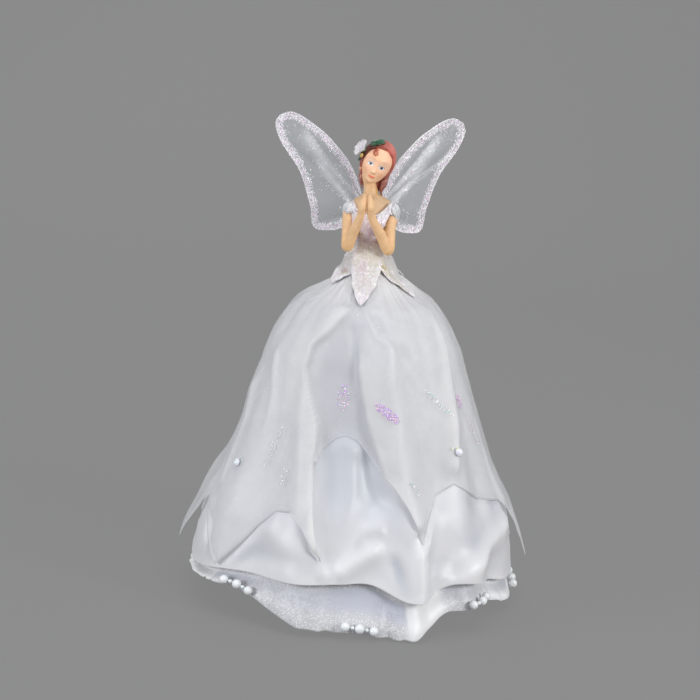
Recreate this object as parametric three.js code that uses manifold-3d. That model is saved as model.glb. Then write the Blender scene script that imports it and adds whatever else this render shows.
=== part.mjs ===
// Angel tree topper: a cast resin half doll with praying hands and clear film wings, standing on a hollow
// cone that slips over the leader of a tree. A gathered satin skirt with a pointed organza overskirt hides
// the cone. Millimetres, +Z up, the doll faces -Y, and the origin is on the axis of the cone in the plane
// that its base flange stands on.
import * as THREE from "three";
import { mergeVertices } from "three/addons/utils/BufferGeometryUtils.js";
import Module from "manifold-3d";

const wasm = await Module();
wasm.setup();

// Driving sizes of the whole topper, built up from the cone that carries it.
const CONE_HEIGHT = 186;
const WAIST_ABOVE_CONE = 19;
const TORSO_RISE = 29; // from the waist to the shoulders
const WAIST_HEIGHT = CONE_HEIGHT + WAIST_ABOVE_CONE;
const SHOULDER_HEIGHT = WAIST_HEIGHT + TORSO_RISE;
const SKIRT_BELOW_WAIST = 4;
const SKIRT_TOP_Z = WAIST_HEIGHT - SKIRT_BELOW_WAIST;
const SKIRT_TOP_RADIUS = 10.4;
const HEM_RADIUS = 98;
const SKIRT_DEPTH_SHARE = 0.94; // the skirt is a little flatter front to back
const CLEARANCE = 0.3; // between glued or seated pieces
const OVERRUN = 2; // cutting tools run this far past what they cut
const MERGE_DISTANCE = 0.001;

// Support cone and the plug that closes its top.
const CONE_BASE_RADIUS = 46;
const CONE_TOP_RADIUS = 10;
const CONE_WALL = 1.2;
const FLANGE_WIDTH = 6;
const FLANGE_THICKNESS = 1.6;
const PLUG_FLANGE_THICKNESS = 3;
const PLUG_SPIGOT_LENGTH = 9;
const STEM_RADIUS = 4;
const STEM_LENGTH = 9;

// Layers of the skirt, from the outside in.
const ORGANZA_THICKNESS = 0.7;
const SATIN_THICKNESS = 0.9;
const NET_THICKNESS = 1.1;
const FRILL_THICKNESS = 0.9;
const LAYER_GAP = 1.5;
const SATIN_TUCK = 3.5; // the satin rolls inwards at its lower edge
const TIP_REACH = 6.5; // how far the side points of the organza fly clear of the skirt
const NET_BELOW_SKIRT_TOP = 2;
const NET_HEM_Z = 51;
const PLEAT_HEIGHT = 6;
const FRILL_TOP_Z = 48;
const FRILL_SKIN = 4.2; // the lace edge hangs this far inside the line of the skirt
const WAIST_TIE_RADIUS = 0.9;

// Beads along the lace and gems on the organza.
const BEAD_RADIUS = 2.7;
const BEAD_THREAD_RADIUS = 0.7;
const BEAD_PITCH = 8.4;
const BEADS_IN_STRING = 3;
const GEM_RADIUS = 2.5;
const GEM_THICKNESS = 1.3;

// Half doll.
const SHOULDER_HALF_WIDTH = 11.4;
const SHOULDER_HALF_DEPTH = 5.8;
const NECK_RADIUS = 3.8;
const NECK_LENGTH = 13;
const NECK_LEAN = 1.5; // towards -X, under the tilted head
const BODICE_THICKNESS = 1.2;
const BODICE_BELOW_SHOULDERS = 3.5;
const BODICE_BELOW_WAIST = 1.4;
const BODICE_TOP_Z = SHOULDER_HEIGHT - BODICE_BELOW_SHOULDERS;
const BODICE_BOTTOM_Z = WAIST_HEIGHT - BODICE_BELOW_WAIST;
const NECKLINE_RADIUS = 8;
const COLLAR_THICKNESS = 1;
const SLEEVE_HALF_WIDTH = 5.2;
const SLEEVE_HALF_DEPTH = 5.6;
const SLEEVE_HALF_HEIGHT = 6.6;
const HEAD_HALF_WIDTH = 8.3;
const HEAD_HALF_DEPTH = 9.2;
const HEAD_HALF_HEIGHT = 11.3;
const HEAD_X = 1.75;
const HEAD_Y = -1.5;
const HEAD_ABOVE_SHOULDERS = 22.6;
const HEAD_ROLL = THREE.MathUtils.degToRad(21); // the crown leans towards +X
const HAIR_THICKNESS = 1.7;
const LEFT_LOCK_RADIUS = 1.4;
const RIGHT_LOCK_RADIUS = 2.3;
const ARM_RADIUS = 3.3;
const WRIST_RADIUS = 2.4;
const HAND_HALF_BREADTH = 3.2;
const HAND_HALF_THICKNESS = 2.3;
const HAND_LENGTH = 13;
const HANDS_X = -2.9; // where the palms meet

// Film wings.
const WING_SPAN = 56.6;
const WING_TOP = 51.8; // above the wing root
const WING_DROP = 14.8; // below the wing root
const WING_THICKNESS = 0.9;
const WING_RELIEF = 0.9; // height of the moulded veins
const WING_ROOT_BELOW_SHOULDERS = 6;
const WING_ROOT_Z = SHOULDER_HEIGHT - WING_ROOT_BELOW_SHOULDERS;
const WING_ROOT_X = 2.8;
const WING_ROOT_Y = 8.6;
const WING_TAB_HEIGHT = 8;
const WING_TAB_DEPTH = 6;
const LEFT_WING_SWEEP = THREE.MathUtils.degToRad(14);
const RIGHT_WING_SWEEP = THREE.MathUtils.degToRad(30);

// Petals of the peplum, and the flower, leaves and curl in the hair.
const PETAL_THICKNESS = 1;
const PEPLUM_ABOVE_WAIST = 1.6;
const PEPLUM_TOP_Z = WAIST_HEIGHT + PEPLUM_ABOVE_WAIST;
const PEPLUM_TOP_RADIUS = 7.1;
const PEPLUM_SHOULDER_DROP = 5;
const PEPLUM_SHOULDER_Z = PEPLUM_TOP_Z - PEPLUM_SHOULDER_DROP;
const PEPLUM_SHOULDER_RADIUS = 13.4;
const FLOWER_RADIUS = 5.8;
const FLOWER_THICKNESS = 1.5;
const FLOWER_STALK_RADIUS = 1.3;
const LEAF_WIDTH = 4.2;
const LEAF_THICKNESS = 0.9;
const BUD_RADIUS = 1.3;
const CURL_RADIUS = 1.35;
const CURL_THICKNESS = 0.55;

const deg = THREE.MathUtils.degToRad;
const vec = (x, y, z) => new THREE.Vector3(x, y, z);
const mix = THREE.MathUtils.lerp;
const smooth = THREE.MathUtils.smoothstep;
const HEAD_CENTRE = vec(HEAD_X, HEAD_Y, SHOULDER_HEIGHT + HEAD_ABOVE_SHOULDERS);

const finish = (color, roughness, metalness = 0) =>
  new THREE.MeshStandardMaterial({ color, roughness, metalness });
const MATERIALS = {
  skin: finish(0xf0c090, 0.55),
  hair: finish(0xa84a3c, 0.6),
  bodice: finish(0xf1ecec, 0.4),
  petal: finish(0xf3f0ec, 0.4),
  leaf: finish(0x1f5a38, 0.5),
  bud: finish(0xd8b040, 0.5),
  flower: finish(0xf2ecee, 0.45),
  wing: Object.assign(finish(0xd8dbe0, 0.2), { transparent: true, opacity: 0.5 }),
  satin: finish(0xe6e7ec, 0.35),
  organza: Object.assign(finish(0xeef0f3, 0.5), { transparent: true, opacity: 0.55 }),
  lace: finish(0xeceff0, 0.6),
  net: finish(0xf2f2f2, 0.8),
  card: finish(0xf5f4f0, 0.7),
  bead: finish(0xf3f0f5, 0.15),
};

const group = new THREE.Group();

// A closed geometry from points and triangles, with shared points merged, collapsed faces dropped and all
// faces turned outwards.
function closedGeometry(points, triangles) {
  const loose = new THREE.BufferGeometry().setFromPoints(points);
  loose.setIndex(triangles);
  const merged = mergeVertices(loose, MERGE_DISTANCE);
  const index = merged.index.array;
  const kept = [];
  for (let i = 0; i < index.length; i += 3) {
    const [a, b, c] = [index[i], index[i + 1], index[i + 2]];
    if (a !== b && b !== c && a !== c) kept.push(a, b, c);
  }
  merged.setIndex(kept);
  return signedVolume(merged) < 0 ? turnedRound(merged) : merged;
}

function signedVolume(geometry) {
  const p = geometry.attributes.position;
  const index = geometry.index.array;
  const [a, b, c] = [vec(), vec(), vec()];
  let sum = 0;
  for (let i = 0; i < index.length; i += 3) {
    a.fromBufferAttribute(p, index[i]);
    b.fromBufferAttribute(p, index[i + 1]);
    c.fromBufferAttribute(p, index[i + 2]);
    sum += a.dot(b.cross(c));
  }
  return sum;
}

function turnedRound(geometry) {
  const index = Array.from(geometry.index.array);
  for (let i = 0; i < index.length; i += 3) {
    [index[i + 1], index[i + 2]] = [index[i + 2], index[i + 1]];
  }
  geometry.setIndex(index);
  return geometry;
}

// The seam and poles of a three.js shape merged into one closed surface.
function cleaned(geometry) {
  const p = geometry.attributes.position;
  const points = Array.from({ length: p.count }, (_, i) => vec().fromBufferAttribute(p, i));
  return closedGeometry(points, Array.from(geometry.index.array));
}

// A geometry as a solid for cutting and joining, and back again.
function solid(geometry) {
  const merged = cleaned(geometry);
  return new wasm.Manifold(
    new wasm.Mesh({
      numProp: 3,
      vertProperties: new Float32Array(merged.attributes.position.array),
      triVerts: new Uint32Array(merged.index.array),
    }),
  );
}

function geometryOf(body) {
  const { numProp, vertProperties, triVerts } = body.getMesh();
  const count = vertProperties.length / numProp;
  const position = new Float32Array(count * 3);
  for (let i = 0; i < count; i++) {
    position.set(vertProperties.subarray(i * numProp, i * numProp + 3), i * 3);
  }
  return new THREE.BufferGeometry()
    .setAttribute("position", new THREE.BufferAttribute(position, 3))
    .setIndex(new THREE.BufferAttribute(new Uint32Array(triVerts), 1));
}

// The largest separate body, so that crumbs left by a cut are dropped.
function largest(body) {
  return body.decompose().reduce((best, b) => (b.volume() > best.volume() ? b : best));
}

function add(name, material, body) {
  const geometry = body.isBufferGeometry ? body : geometryOf(body);
  const mesh = new THREE.Mesh(geometry, MATERIALS[material]);
  mesh.name = name;
  group.add(mesh);
  return mesh;
}

// A closed tube through rings of points, with a fan over each end.
function loft(rings) {
  const n = rings[0].length;
  const points = rings.flat();
  const triangles = [];
  for (let j = 0; j + 1 < rings.length; j++) {
    for (let i = 0; i < n; i++) {
      const [a, b] = [j * n + i, j * n + ((i + 1) % n)];
      triangles.push(a, b, b + n, a, b + n, a + n);
    }
  }
  for (const end of [0, rings.length - 1]) {
    const middle = points.length;
    points.push(rings[end].reduce((s, p) => s.add(p), vec(0, 0, 0)).divideScalar(n));
    for (let i = 0; i < n; i++) {
      const [a, b] = [end * n + i, end * n + ((i + 1) % n)];
      triangles.push(...(end ? [a, b, middle] : [b, a, middle]));
    }
  }
  return closedGeometry(points, triangles);
}

// A closed sheet between an outer and an inner surface, each a function of the column and row number.
// A wrapped sheet closes on itself round the columns.
function sheet(outer, inner, columns, rows, wrapped) {
  const points = [];
  const across = wrapped ? columns : columns + 1;
  for (const side of [outer, inner]) {
    for (let j = 0; j <= rows; j++) {
      for (let i = 0; i < across; i++) points.push(side(i, j));
    }
  }
  const layer = across * (rows + 1);
  const at = (i, j, side) => side * layer + j * across + (i % across);
  const triangles = [];
  const quad = (a, b, c, d) => triangles.push(a, b, c, a, c, d);
  for (let j = 0; j < rows; j++) {
    for (let i = 0; i < columns; i++) {
      quad(at(i, j, 0), at(i + 1, j, 0), at(i + 1, j + 1, 0), at(i, j + 1, 0));
      quad(at(i, j + 1, 1), at(i + 1, j + 1, 1), at(i + 1, j, 1), at(i, j, 1));
    }
  }
  for (let i = 0; i < columns; i++) {
    quad(at(i + 1, 0, 0), at(i, 0, 0), at(i, 0, 1), at(i + 1, 0, 1));
    quad(at(i, rows, 0), at(i + 1, rows, 0), at(i + 1, rows, 1), at(i, rows, 1));
  }
  if (!wrapped) {
    for (let j = 0; j < rows; j++) {
      quad(at(0, j, 0), at(0, j + 1, 0), at(0, j + 1, 1), at(0, j, 1));
      quad(at(columns, j + 1, 0), at(columns, j, 0), at(columns, j, 1), at(columns, j + 1, 1));
    }
  }
  return closedGeometry(points, triangles);
}

// A value read from rows of [position, value, ...] by a smooth curve through them, or by straight lines.
function along(table, column, at, straight = false) {
  const last = table.length - 1;
  let k = 0;
  while (k < last - 1 && at > table[k + 1][0]) k++;
  const slope = (m) => {
    const [a, b] = [table[Math.max(m - 1, 0)], table[Math.min(m + 1, last)]];
    return (b[column] - a[column]) / (b[0] - a[0]);
  };
  const [p, q] = [table[k], table[k + 1]];
  const width = q[0] - p[0];
  const s = THREE.MathUtils.clamp((at - p[0]) / width, 0, 1);
  if (straight) return mix(p[column], q[column], s);
  const [s2, s3] = [s * s, s * s * s];
  return (
    (2 * s3 - 3 * s2 + 1) * p[column] +
    (s3 - 2 * s2 + s) * width * slope(k) +
    (3 * s2 - 2 * s3) * q[column] +
    (s3 - s2) * width * slope(k + 1)
  );
}

function ellipsoid(centre, radii, columns, rows) {
  const geometry = new THREE.SphereGeometry(1, columns, rows);
  geometry.rotateX(deg(90));
  geometry.scale(radii.x, radii.y, radii.z);
  geometry.translate(centre.x, centre.y, centre.z);
  return solid(geometry);
}

function ellipseRing(centre, rx, ry, sides) {
  return Array.from({ length: sides }, (_, i) => {
    const a = (i / sides) * 2 * Math.PI;
    return vec(centre.x + rx * Math.cos(a), centre.y + ry * Math.sin(a), centre.z);
  });
}

// Bearings are measured round the axis from the front, positive towards +X.
const polar = (bearing, radius, z) =>
  vec(radius * Math.sin(bearing), -radius * Math.cos(bearing), z);

// Skirt profile: [share of the way down, radius as a share of the hem's, height as a share of the top's].
const PROFILE_SHARES = [
  [0, SKIRT_TOP_RADIUS / HEM_RADIUS, 1],
  [0.04, 0.124, 0.985],
  [0.1, 0.174, 0.96],
  [0.16, 0.245, 0.935],
  [0.22, 0.33, 0.905],
  [0.3, 0.431, 0.868],
  [0.4, 0.543, 0.775],
  [0.5, 0.62, 0.665],
  [0.6, 0.71, 0.54],
  [0.7, 0.8, 0.42],
  [0.8, 0.905, 0.31],
  [0.9, 0.968, 0.165],
  [1, 1, 0],
];
// Pleats: [bearing at the waist, bearing at the hem, half width, height share, share down where it starts].
const PLEAT_SHARES = [
  [-88, -92, 13, 0.5, 0.3],
  [-62, -53, 9, 0.6, 0.2],
  [-46, -38, 9, -0.45, 0.3],
  [-30, -17, 8, 0.6, 0.15],
  [14, 23, 7, 0.9, 0.3],
  [36, 34, 8, -0.4, 0.3],
  [58, 46, 7, 0.8, 0.2],
  [68, 63, 7, -0.6, 0.1],
  [88, 92, 12, 0.6, 0.3],
  [118, 124, 12, 0.8, 0.2],
  [142, 150, 11, -0.7, 0.2],
  [168, 172, 15, 0.6, 0.15],
  [198, 203, 12, -0.6, 0.2],
  [228, 229, 13, 0.9, 0.25],
];
// The hollow in front, where the two sides of the organza part: [share down, left and right bearing].
const HOLLOW_DEPTH_SHARE = 0.85; // of the pleat height
const HOLLOW_EDGE = 7;
const HOLLOW_SHARES = [
  [0, -8, 4],
  [0.26, -14, 2],
  [0.4, -27, 1],
  [0.55, -25, 6],
  [0.68, -18, 13],
  [0.79, -14, 21],
  [1, -8, 20],
];
// Lower edge of the organza: [bearing, height share, share of the side points' reach].
const ORGANZA_EDGE_SHARES = [
  [-90, 0.134, 1],
  [-75, 0.303, 0],
  [-51, 0.152, 0.15],
  [-37, 0.288, 0],
  [-23, 0.4, 0],
  [-11.5, 0.215, 0.1],
  [-5.5, 0.55, 0],
  [4.5, 0.495, 0],
  [13, 0.437, 0],
  [25.5, 0.31, 0.05],
  [33, 0.35, 0],
  [46, 0.42, 0],
  [61, 0.352, 0],
  [78, 0.33, 0],
  [90, 0.134, 1],
  [108, 0.36, 0],
  [128, 0.17, 0.2],
  [150, 0.42, 0],
  [171, 0.2, 0.1],
  [190, 0.4, 0],
  [208, 0.33, 0],
  [225, 0.17, 0.2],
  [248, 0.4, 0],
  [270, 0.134, 1],
];
// Lower edge of the satin: [bearing, height share].
const SATIN_EDGE_SHARES = [
  [-90, 0.11],
  [-70, 0.11],
  [-50, 0.145],
  [-22, 0.155],
  [-6, 0.155],
  [7, 0.135],
  [20, 0.085],
  [27, 0.11],
  [38, 0.155],
  [58, 0.135],
  [75, 0.105],
  [90, 0.11],
  [120, 0.15],
  [145, 0.11],
  [165, 0.09],
  [185, 0.14],
  [210, 0.15],
  [235, 0.1],
  [255, 0.14],
  [270, 0.11],
];
// Lower edge of the lace frill: [bearing, height share].
const FRILL_EDGE_SHARES = [
  [-90, 0.07],
  [-70, 0.075],
  [-48, 0.095],
  [-37, 0.077],
  [-20, 0.04],
  [2, 0.0225],
  [20, 0.006],
  [27, 0.025],
  [34, 0.06],
  [44, 0.07],
  [56, 0.072],
  [75, 0.035],
  [90, 0.03],
  [110, 0.06],
  [130, 0.07],
  [150, 0.025],
  [165, 0.0125],
  [185, 0.05],
  [205, 0.075],
  [228, 0.03],
  [250, 0.06],
  [270, 0.07],
];
// The upper rows of the organza lie level, down to a share of the skirt; the rest spread out to its edge.
const ORGANZA_EVEN_SHARE = 6 / 9;
const ORGANZA_EVEN_REACH_SHARE = 0.52;
const COLUMN_STEP = 4.2; // degrees between the folds' guide lines
// Main folds of the organza: the rise, the width towards smaller bearings (or below a level line) and the
// other width as shares of PLEAT_HEIGHT, and the shares of the line over which the fold fades in and out.
// Then the line as [bearing, height share].
const ORGANZA_FOLD_SHARES = [
  [[0.5, 2.17, 0.6, 0.12, 0.05],
    [[-9, 0.91], [-12.1, 0.885], [-23.3, 0.824], [-32.4, 0.781], [-33, 0.718], [-26.5, 0.638],
      [-21.4, 0.573], [-17.7, 0.424], [-13, 0.318], [-10.5, 0.229]]],
  [[0.47, 0.6, 2, 0.25, 0.05],
    [[-3.5, 0.836], [-1.7, 0.721], [3.9, 0.595], [13.2, 0.437], [22.4, 0.326], [26.8, 0.308]]],
  [[-0.27, 0.6, 0.6, 0.2, 0.5],
    [[-9, 0.859], [-6, 0.757], [-5, 0.647]]],
  [[0.3, 0.6, 0.6, 0.15, 0.5],
    [[-1.1, 0.888], [7.8, 0.827], [16.9, 0.798], [14.9, 0.678], [16, 0.587]]],
  [[-0.3, 0.6, 0.6, 0.1, 0.4],
    [[3, 0.886], [11.7, 0.827], [22.6, 0.798], [29.7, 0.721]]],
  [[0.53, 1.5, 0.6, 0.3, 0.1],
    [[50, 0.915], [60.5, 0.873], [56.4, 0.8], [53.4, 0.702], [50.5, 0.572], [45.4, 0.421]]],
  [[-0.27, 0.6, 0.67, 0.3, 0.4],
    [[69, 0.856], [62, 0.781], [58.5, 0.701], [57, 0.597]]],
  [[0.32, 0.6, 0.75, 0.2, 0.4],
    [[-60, 0.786], [-56.5, 0.736], [-50.6, 0.645], [-48.8, 0.584], [-50, 0.498]]],
  [[0.4, 0.6, 0.83, 0.2, 0.1],
    [[-74, 0.697], [-73.3, 0.634], [-65.1, 0.528], [-67.6, 0.425], [-62.1, 0.336]]],
  [[-0.4, 0.75, 0.92, 0.3, 0.4],
    [[-70, 0.9], [-66.4, 0.848], [-62, 0.786]]],
  [[0.33, 0.67, 1, 0.3, 0.3],
    [[84, 0.871], [92, 0.697], [90, 0.547], [93, 0.423]]],
  [[-0.3, 0.67, 0.83, 0.2, 0.2],
    [[100, 0.896], [108, 0.746], [112, 0.547], [110, 0.373]]],
  [[0.5, 1.67, 0.6, 0.2, 0.1],
    [[128, 0.905], [132, 0.746], [134, 0.547], [129, 0.224]]],
  [[0.4, 0.67, 1.17, 0.2, 0.2],
    [[160, 0.905], [158, 0.746], [163, 0.547], [166, 0.348]]],
  [[-0.3, 0.67, 0.83, 0.2, 0.2],
    [[182, 0.896], [185, 0.746], [189, 0.572], [187, 0.423]]],
  [[0.47, 0.6, 1.5, 0.2, 0.1],
    [[205, 0.905], [209, 0.746], [213, 0.522], [224, 0.219]]],
  [[0.33, 0.67, 1, 0.2, 0.3],
    [[240, 0.896], [243, 0.746], [247, 0.587], [246, 0.423]]],
  [[-0.27, 0.67, 0.83, 0.2, 0.3],
    [[256, 0.9], [258, 0.746], [261, 0.547], [264, 0.348]]],
];
// Main folds of the satin, in the same way.
const SATIN_FOLD_SHARES = [
  [[0.6, 1.33, 0.6, 0.2, 0.35],
    [[-5, 0.607], [-6.4, 0.552], [-1.8, 0.501], [-0.9, 0.419], [-4.2, 0.324], [-4.4, 0.249]]],
  [[-0.77, 0.83, 1.08, 0.3, 0.3],
    [[1, 0.537], [6.1, 0.421], [11, 0.328]]],
  [[0.7, 1.17, 0.67, 0.2, 0.3],
    [[-6.6, 0.169], [0.7, 0.228], [13.3, 0.277]]],
  [[0.37, 0.67, 0.6, 0.3, 0.3],
    [[-1, 0.239], [4, 0.308], [10.3, 0.313], [13, 0.269]]],
  [[0.33, 0.6, 0.6, 0.3, 0.3],
    [[-12, 0.214], [-9.5, 0.179], [-6.7, 0.164]]],
  [[0.67, 0.6, 1.33, 0.1, 0.1],
    [[22.4, 0.328], [25.5, 0.308], [23.7, 0.251], [23.8, 0.131], [21, 0.06]]],
  [[-0.37, 0.67, 0.6, 0.3, 0.2],
    [[15, 0.259], [17, 0.189], [17, 0.109]]],
  [[0.7, 0.83, 1.67, 0.2, 0.15],
    [[84, 0.308], [75.2, 0.269], [60, 0.244], [50, 0.209], [38.5, 0.166], [29.1, 0.168]]],
  [[-0.4, 0.83, 1, 0.2, 0.3],
    [[86, 0.388], [72, 0.338], [58, 0.348], [48, 0.388]]],
  [[0.43, 0.83, 0.6, 0.3, 0.1],
    [[42, 0.388], [36, 0.299], [33, 0.219], [31, 0.164]]],
  [[-0.33, 0.6, 0.6, 0.2, 0.2],
    [[27.5, 0.259], [29, 0.209], [28, 0.169]]],
  [[0.5, 0.6, 1.5, 0.2, 0.05],
    [[-63.2, 0.368], [-57, 0.259], [-51, 0.149]]],
  [[-0.4, 0.67, 0.6, 0.3, 0.2],
    [[-60, 0.328], [-66, 0.259], [-62, 0.169]]],
  [[0.27, 0.83, 0.83, 0.1, 0.3],
    [[-51, 0.159], [-42, 0.224], [-30, 0.328]]],
  [[-0.37, 0.67, 1, 0.2, 0.2],
    [[-44, 0.169], [-32, 0.209], [-20, 0.199], [-12, 0.164]]],
  [[0.3, 1, 1, 0.2, 0.4],
    [[-36, 0.348], [-30, 0.269], [-18, 0.249]]],
  [[0.43, 0.6, 0.67, 0.2, 0.1],
    [[-84, 0.348], [-80, 0.249], [-76, 0.139]]],
  [[0.5, 0.67, 1.17, 0.3, 0.1],
    [[98, 0.398], [104, 0.274], [100, 0.149]]],
  [[0.5, 1, 0.83, 0.2, 0.2],
    [[116, 0.299], [122, 0.219], [134, 0.189]]],
  [[-0.47, 0.67, 0.83, 0.2, 0.1],
    [[140, 0.423], [146, 0.274], [148, 0.129]]],
  [[0.57, 0.6, 1.33, 0.3, 0.1],
    [[158, 0.318], [164, 0.219], [167, 0.109]]],
  [[0.43, 1.17, 0.83, 0.2, 0.3],
    [[176, 0.249], [186, 0.299], [196, 0.279]]],
  [[-0.43, 0.67, 0.83, 0.2, 0.1],
    [[200, 0.398], [203, 0.269], [200, 0.159]]],
  [[0.53, 1.33, 0.6, 0.3, 0.1],
    [[216, 0.348], [224, 0.239], [232, 0.119]]],
  [[0.43, 0.67, 1, 0.2, 0.2],
    [[246, 0.318], [250, 0.229], [258, 0.169]]],
];

// Degrees from -90 to 270 for any bearing.
const wrapped = (bearing) =>
  THREE.MathUtils.euclideanModulo(THREE.MathUtils.radToDeg(bearing) + 90, 360) - 90;

function angleBetween(a, b) {
  return THREE.MathUtils.euclideanModulo(a - b + 180, 360) - 180;
}

function pleatOffset(bearing, t) {
  const d = wrapped(bearing);
  let sum = 0;
  for (const [top, bottom, half, height, start] of PLEAT_SHARES) {
    const off = angleBetween(d, mix(top, bottom, t)) / half;
    const grown = smooth(t, start, 1) * 0.7 + smooth(t, 0.05, 0.45) * 0.3;
    sum += height * grown * Math.exp(-off * off);
  }
  const left = along(HOLLOW_SHARES, 1, t);
  const right = along(HOLLOW_SHARES, 2, t);
  const inside =
    smooth(d, left - HOLLOW_EDGE, left + HOLLOW_EDGE) *
    (1 - smooth(d, right - HOLLOW_EDGE, right + HOLLOW_EDGE));
  sum -= HOLLOW_DEPTH_SHARE * inside * smooth(t, 0.28, 0.62) * mix(1, 0.3, smooth(t, 0.75, 1));
  return sum * PLEAT_HEIGHT;
}

// A point of the skirt, inset by a distance along the profile's normal.
function skirtPoint(bearing, t, inset) {
  const radius = (s) => HEM_RADIUS * along(PROFILE_SHARES, 1, s);
  const height = (s) => SKIRT_TOP_Z * along(PROFILE_SHARES, 2, s);
  const step = 0.01;
  const [lo, hi] = [Math.max(t - step, 0), Math.min(t + step, 1)];
  const slope = new THREE.Vector2(radius(hi) - radius(lo), height(hi) - height(lo)).normalize();
  const r = radius(t) + pleatOffset(bearing, t) + inset * slope.y;
  const p = polar(bearing, r, height(t) - inset * slope.x);
  p.y *= mix(1, SKIRT_DEPTH_SHARE, smooth(t, 0.1, 0.6));
  return p;
}

// How far down the profile a height lies.
function shareAtHeight(z) {
  let [lo, hi] = [0, 1];
  for (let i = 0; i < 24; i++) {
    const middle = (lo + hi) / 2;
    if (SKIRT_TOP_Z * along(PROFILE_SHARES, 2, middle) > z) lo = middle;
    else hi = middle;
  }
  return lo;
}

// Length down the profile at a share.
const SLANT_STEPS = 100;
const SLANTS = [0];
for (let k = 1; k <= SLANT_STEPS; k++) {
  const at = (share) => new THREE.Vector2(
    HEM_RADIUS * along(PROFILE_SHARES, 1, share), SKIRT_TOP_Z * along(PROFILE_SHARES, 2, share));
  SLANTS.push(SLANTS[k - 1] + at(k / SLANT_STEPS).distanceTo(at((k - 1) / SLANT_STEPS)));
}

// A point of the cloth laid flat: its distances across, from a middle bearing, and down.
function laidFlat(degrees, t, middle) {
  const k = Math.min(Math.floor(t * SLANT_STEPS), SLANT_STEPS - 1);
  const across = deg(angleBetween(degrees, middle)) * HEM_RADIUS * along(PROFILE_SHARES, 1, t);
  return new THREE.Vector2(across, mix(SLANTS[k], SLANTS[k + 1], t * SLANT_STEPS - k));
}

// Folds with their lines laid flat.
const laidFolds = (table) => table.map(([[rise, low, high, fadeIn, fadeOut], line]) => {
  const middle = line.reduce((sum, [bearing]) => sum + bearing, 0) / line.length;
  const flat = line.map(([bearing, share]) => laidFlat(bearing, shareAtHeight(share * SKIRT_TOP_Z), middle));
  const reach = [0];
  for (let k = 1; k < flat.length; k++) reach.push(reach[k - 1] + flat[k].distanceTo(flat[k - 1]));
  return { rise, low, high, fadeIn, fadeOut, middle, flat, reach };
});
const ORGANZA_FOLDS = laidFolds(ORGANZA_FOLD_SHARES);
const SATIN_FOLDS = laidFolds(SATIN_FOLD_SHARES);

// How far folds stand out at a point of the skirt: for each a bell curve of the distance from its line.
function foldOffset(bearing, t, folds) {
  let sum = 0;
  for (const { rise, low, high, fadeIn, fadeOut, middle, flat, reach } of folds) {
    const p = laidFlat(wrapped(bearing), t, middle);
    let [best, side, at] = [Infinity, 0, 0];
    for (let k = 0; k + 1 < flat.length; k++) {
      const run = flat[k + 1].clone().sub(flat[k]);
      const off = p.clone().sub(flat[k]);
      const s = THREE.MathUtils.clamp(off.dot(run) / run.lengthSq(), 0, 1);
      const distance = off.distanceTo(run.clone().multiplyScalar(s));
      if (distance >= best) continue;
      best = distance;
      side = run.cross(off);
      at = mix(reach[k], reach[k + 1], s) / reach[reach.length - 1];
    }
    const fade = smooth(at, 0, fadeIn) * (1 - smooth(at, 1 - fadeOut, 1));
    const width = PLEAT_HEIGHT * (side > 0 ? low : high);
    sum += rise * fade * Math.exp(-((best / width) ** 2));
  }
  return sum * PLEAT_HEIGHT;
}

const organzaFold = (b, t) => foldOffset(b, t, ORGANZA_FOLDS);

// The satin's folds stay under the organza where it covers them, and keep clear of the frill at the hem.
function satinFold(b, t) {
  const z = SKIRT_TOP_Z * along(PROFILE_SHARES, 2, t);
  const aboveHem = smooth(z - satinEdge(b), PLEAT_HEIGHT / 2, PLEAT_HEIGHT * 2);
  const own = foldOffset(b, t, SATIN_FOLDS);
  const free = Math.max(own, own * aboveHem);
  const edges = [-1, 0, 1].map((k) => organzaEdge(b + deg(k * COLUMN_STEP)));
  const lowest = Math.min(...edges);
  return mix(free, Math.min(free, organzaFold(b, t)), smooth(z, lowest - PLEAT_HEIGHT, lowest));
}

// Bearings of the guide lines: every corner of the organza's edge, and even steps between the corners.
function guideBearings() {
  const bearings = [];
  for (let k = 0; k + 1 < ORGANZA_EDGE_SHARES.length; k++) {
    const [from, to] = [ORGANZA_EDGE_SHARES[k][0], ORGANZA_EDGE_SHARES[k + 1][0]];
    const count = Math.max(1, Math.round((to - from) / COLUMN_STEP));
    for (let i = 0; i < count; i++) bearings.push(deg(mix(from, to, i / count)));
  }
  return bearings;
}

// Keeps a point of a gathered top outside the hips that it is tied on.
function outsideHips(p) {
  const least = HIP_RADIUS + CLEARANCE;
  const r = Math.hypot(p.x, p.y);
  if (r < least) {
    p.x *= least / r;
    p.y *= least / r;
  }
  return p;
}

const SATIN_INSET = ORGANZA_THICKNESS + LAYER_GAP;
const FRILL_INSET = SATIN_INSET + SATIN_THICKNESS + SATIN_TUCK + LAYER_GAP;
const NET_TOP_INSET = SATIN_INSET + SATIN_THICKNESS + LAYER_GAP;
const NET_INSET = FRILL_INSET + FRILL_THICKNESS + LAYER_GAP;

const organzaEdge = (b) => SKIRT_TOP_Z * along(ORGANZA_EDGE_SHARES, 1, wrapped(b), true);
const satinEdge = (b) => SKIRT_TOP_Z * along(SATIN_EDGE_SHARES, 1, wrapped(b));
const frillEdge = (b) => SKIRT_TOP_Z * along(FRILL_EDGE_SHARES, 1, wrapped(b));

// A point of the frill at a share of the way from just under the satin down to the lace edge.
function frillPoint(b, drop, inset) {
  const from = satinEdge(b) - SATIN_TUCK;
  const z = mix(from, frillEdge(b), drop);
  const p = skirtPoint(b, shareAtHeight(z), inset - (FRILL_INSET - FRILL_SKIN) * smooth(drop, 0, 0.9));
  p.z = z;
  return p;
}

const GUIDES = guideBearings();

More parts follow.
